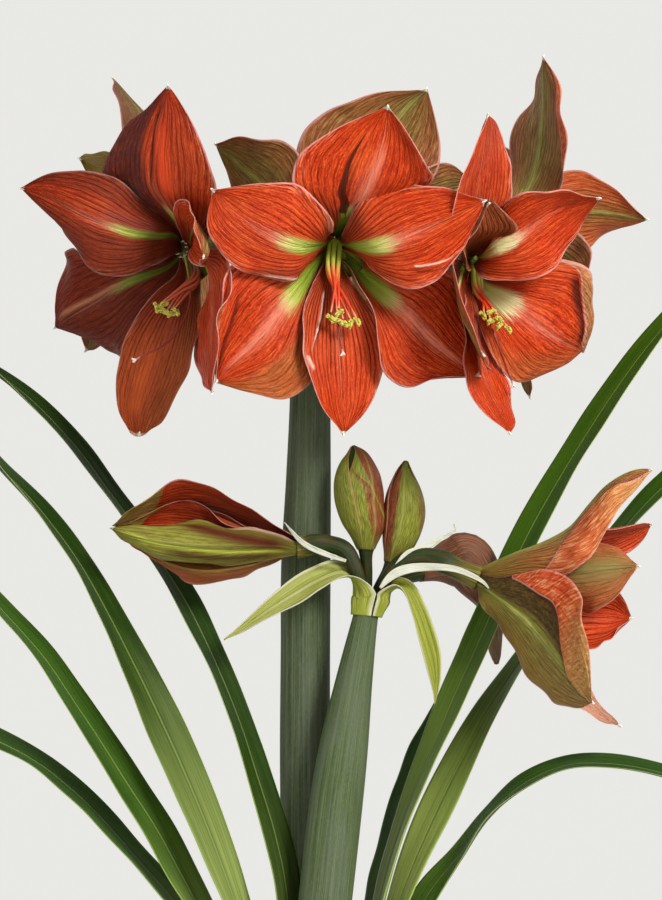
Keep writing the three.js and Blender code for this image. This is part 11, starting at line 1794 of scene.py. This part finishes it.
# crumbs, bark chips and perlite
for k in range(420):
    rr = 56 + (rim - 60) * math.sqrt(hash01(k * 5 + 1))
    a = 2 * math.pi * hash01(k * 7 + 2)
    x, y = rr * math.cos(a), rr * math.sin(a)
    kind = hash01(k * 11 + 3)
    size = 0.8 + 1.7 * hash01(k * 13 + 4) ** 2
    z = SOIL_TOP - 0.6 + 1.6 * (1 - (rr / rim) ** 2) + soil_dz(x, y) + size * 0.15
    yaw = 6.28 * hash01(k * 17 + 5)
    ax = [[math.cos(yaw), math.sin(yaw), 0.2], [-math.sin(yaw), math.cos(yaw), 0.1], [0.1, -0.2, 1.0]]
    if kind > 0.93:
        blob(b, (x, y, z), size * 0.8, M['perlite'], k, rough=0.2, n=5, axes=ax)
    elif kind > 0.72:
        blob(b, (x, y, z), size * 1.2, M['chip'], k, (1.7, 0.8, 0.35), rough=0.15, n=5, axes=ax)
    else:
        blob(b, (x, y, z), size, M['soil'], k, (1.1, 0.9, 0.75), rough=0.25, n=5, axes=ax)
done(b.make('potting_soil'), 'soil', 'soil')

# ---------------------------------------------------------------- floor, backdrop, light, camera
floor_mat = new_material('plain_floor', floor_build, rough=0.8, spec=0.1)
# far from the lamps the floor glows faintly, up to the pale tone of the surroundings
ft = Tree(floor_mat.node_tree)
glow = ft.m('MAXIMUM', ft.sub(0.56, ft.mul(floor_light(ft), 0.26)), 0.0)
for node in floor_mat.node_tree.nodes:
    if node.type == 'BSDF_PRINCIPLED':
        node.inputs['Emission Color'].default_value = (1.0, 0.992, 0.97, 1.0)
        ft.put(node.inputs['Emission Strength'], glow)
# the back of the floor slopes away behind the plant
prof = [(y, 0.0) for y in np.linspace(-12.0, 2.8, 19)] + [(3.2, -0.05), (4.0, -0.14), (6.0, -0.36), (9.0, -0.70), (14.0, -1.25)]
xs = np.linspace(-12, 12, 31)
P = np.array([[[x * 1000, y * 1000, z * 1000] for x in xs] for y, z in prof])
nu, nv = P.shape[0] - 1, P.shape[1] - 1
verts = P.reshape(-1, 3)
faces = [(i * (nv + 1) + j, i * (nv + 1) + j + 1, (i + 1) * (nv + 1) + j + 1, (i + 1) * (nv + 1) + j) for i in range(nu) for j in range(nv)]
floor = make_mesh('floor', verts, faces, np.zeros((len(faces) * 4, 2)), [floor_mat])


def area(name, loc, target, size, power, color=(1, 1, 1)):
    L = bpy.data.lights.new(name, 'AREA')
    L.shape = 'RECTANGLE'
    L.size, L.size_y = size
    L.energy = power
    L.color = color
    o = bpy.data.objects.new(name, L)
    bpy.context.scene.collection.objects.link(o)
    from mathutils import Vector
    d = Vector(target) - Vector(loc)
    o.location = loc
    o.rotation_euler = d.to_track_quat('-Z', 'Y').to_euler()
    return o


area('key', (1.25, -1.7, 1.7), (0, 0, 0.55), (0.7, 0.7), 54, (1.0, 0.985, 0.95))
area('fill', (-1.8, -1.6, 0.9), (0, 0, 0.5), (1.4, 1.4), 4, (0.98, 0.98, 1.0))
area('top', (-0.2, 0.5, 2.3), (0, 0, 0.4), (1.0, 1.0), 14)
world = bpy.data.worlds.new('studio')
bpy.context.scene.world = world
world.use_nodes = True
# pale surroundings at eye level, softer light from above
w = Tree(world.node_tree)
_, _, height = w.sep(w.n('ShaderNodeTexCoord').outputs['Generated'])
sky = w.mix(w.smooth(w.m('ABSOLUTE', height), 0.18, 0.50), (0.815, 0.81, 0.78, 1.0), (0.262, 0.264, 0.27, 1.0))
w.put(world.node_tree.nodes['Background'].inputs[0], sky)
world.node_tree.nodes['Background'].inputs[1].default_value = 1.0

cam_data = bpy.data.cameras.new('camera')
cam = bpy.data.objects.new('camera', cam_data)
bpy.context.scene.collection.objects.link(cam)
cam.location = (0.0126, -2.6, 0.565)
cam.rotation_euler = (math.pi / 2, 0, 0)
cam_data.lens = 173.33
cam_data.sensor_width = 36
cam_data.sensor_fit = 'AUTO'
cam_data.clip_end = 50
bpy.context.scene.camera = cam
bpy.context.scene.view_settings.view_transform = 'Standard'

bpy.context.view_layer.update()
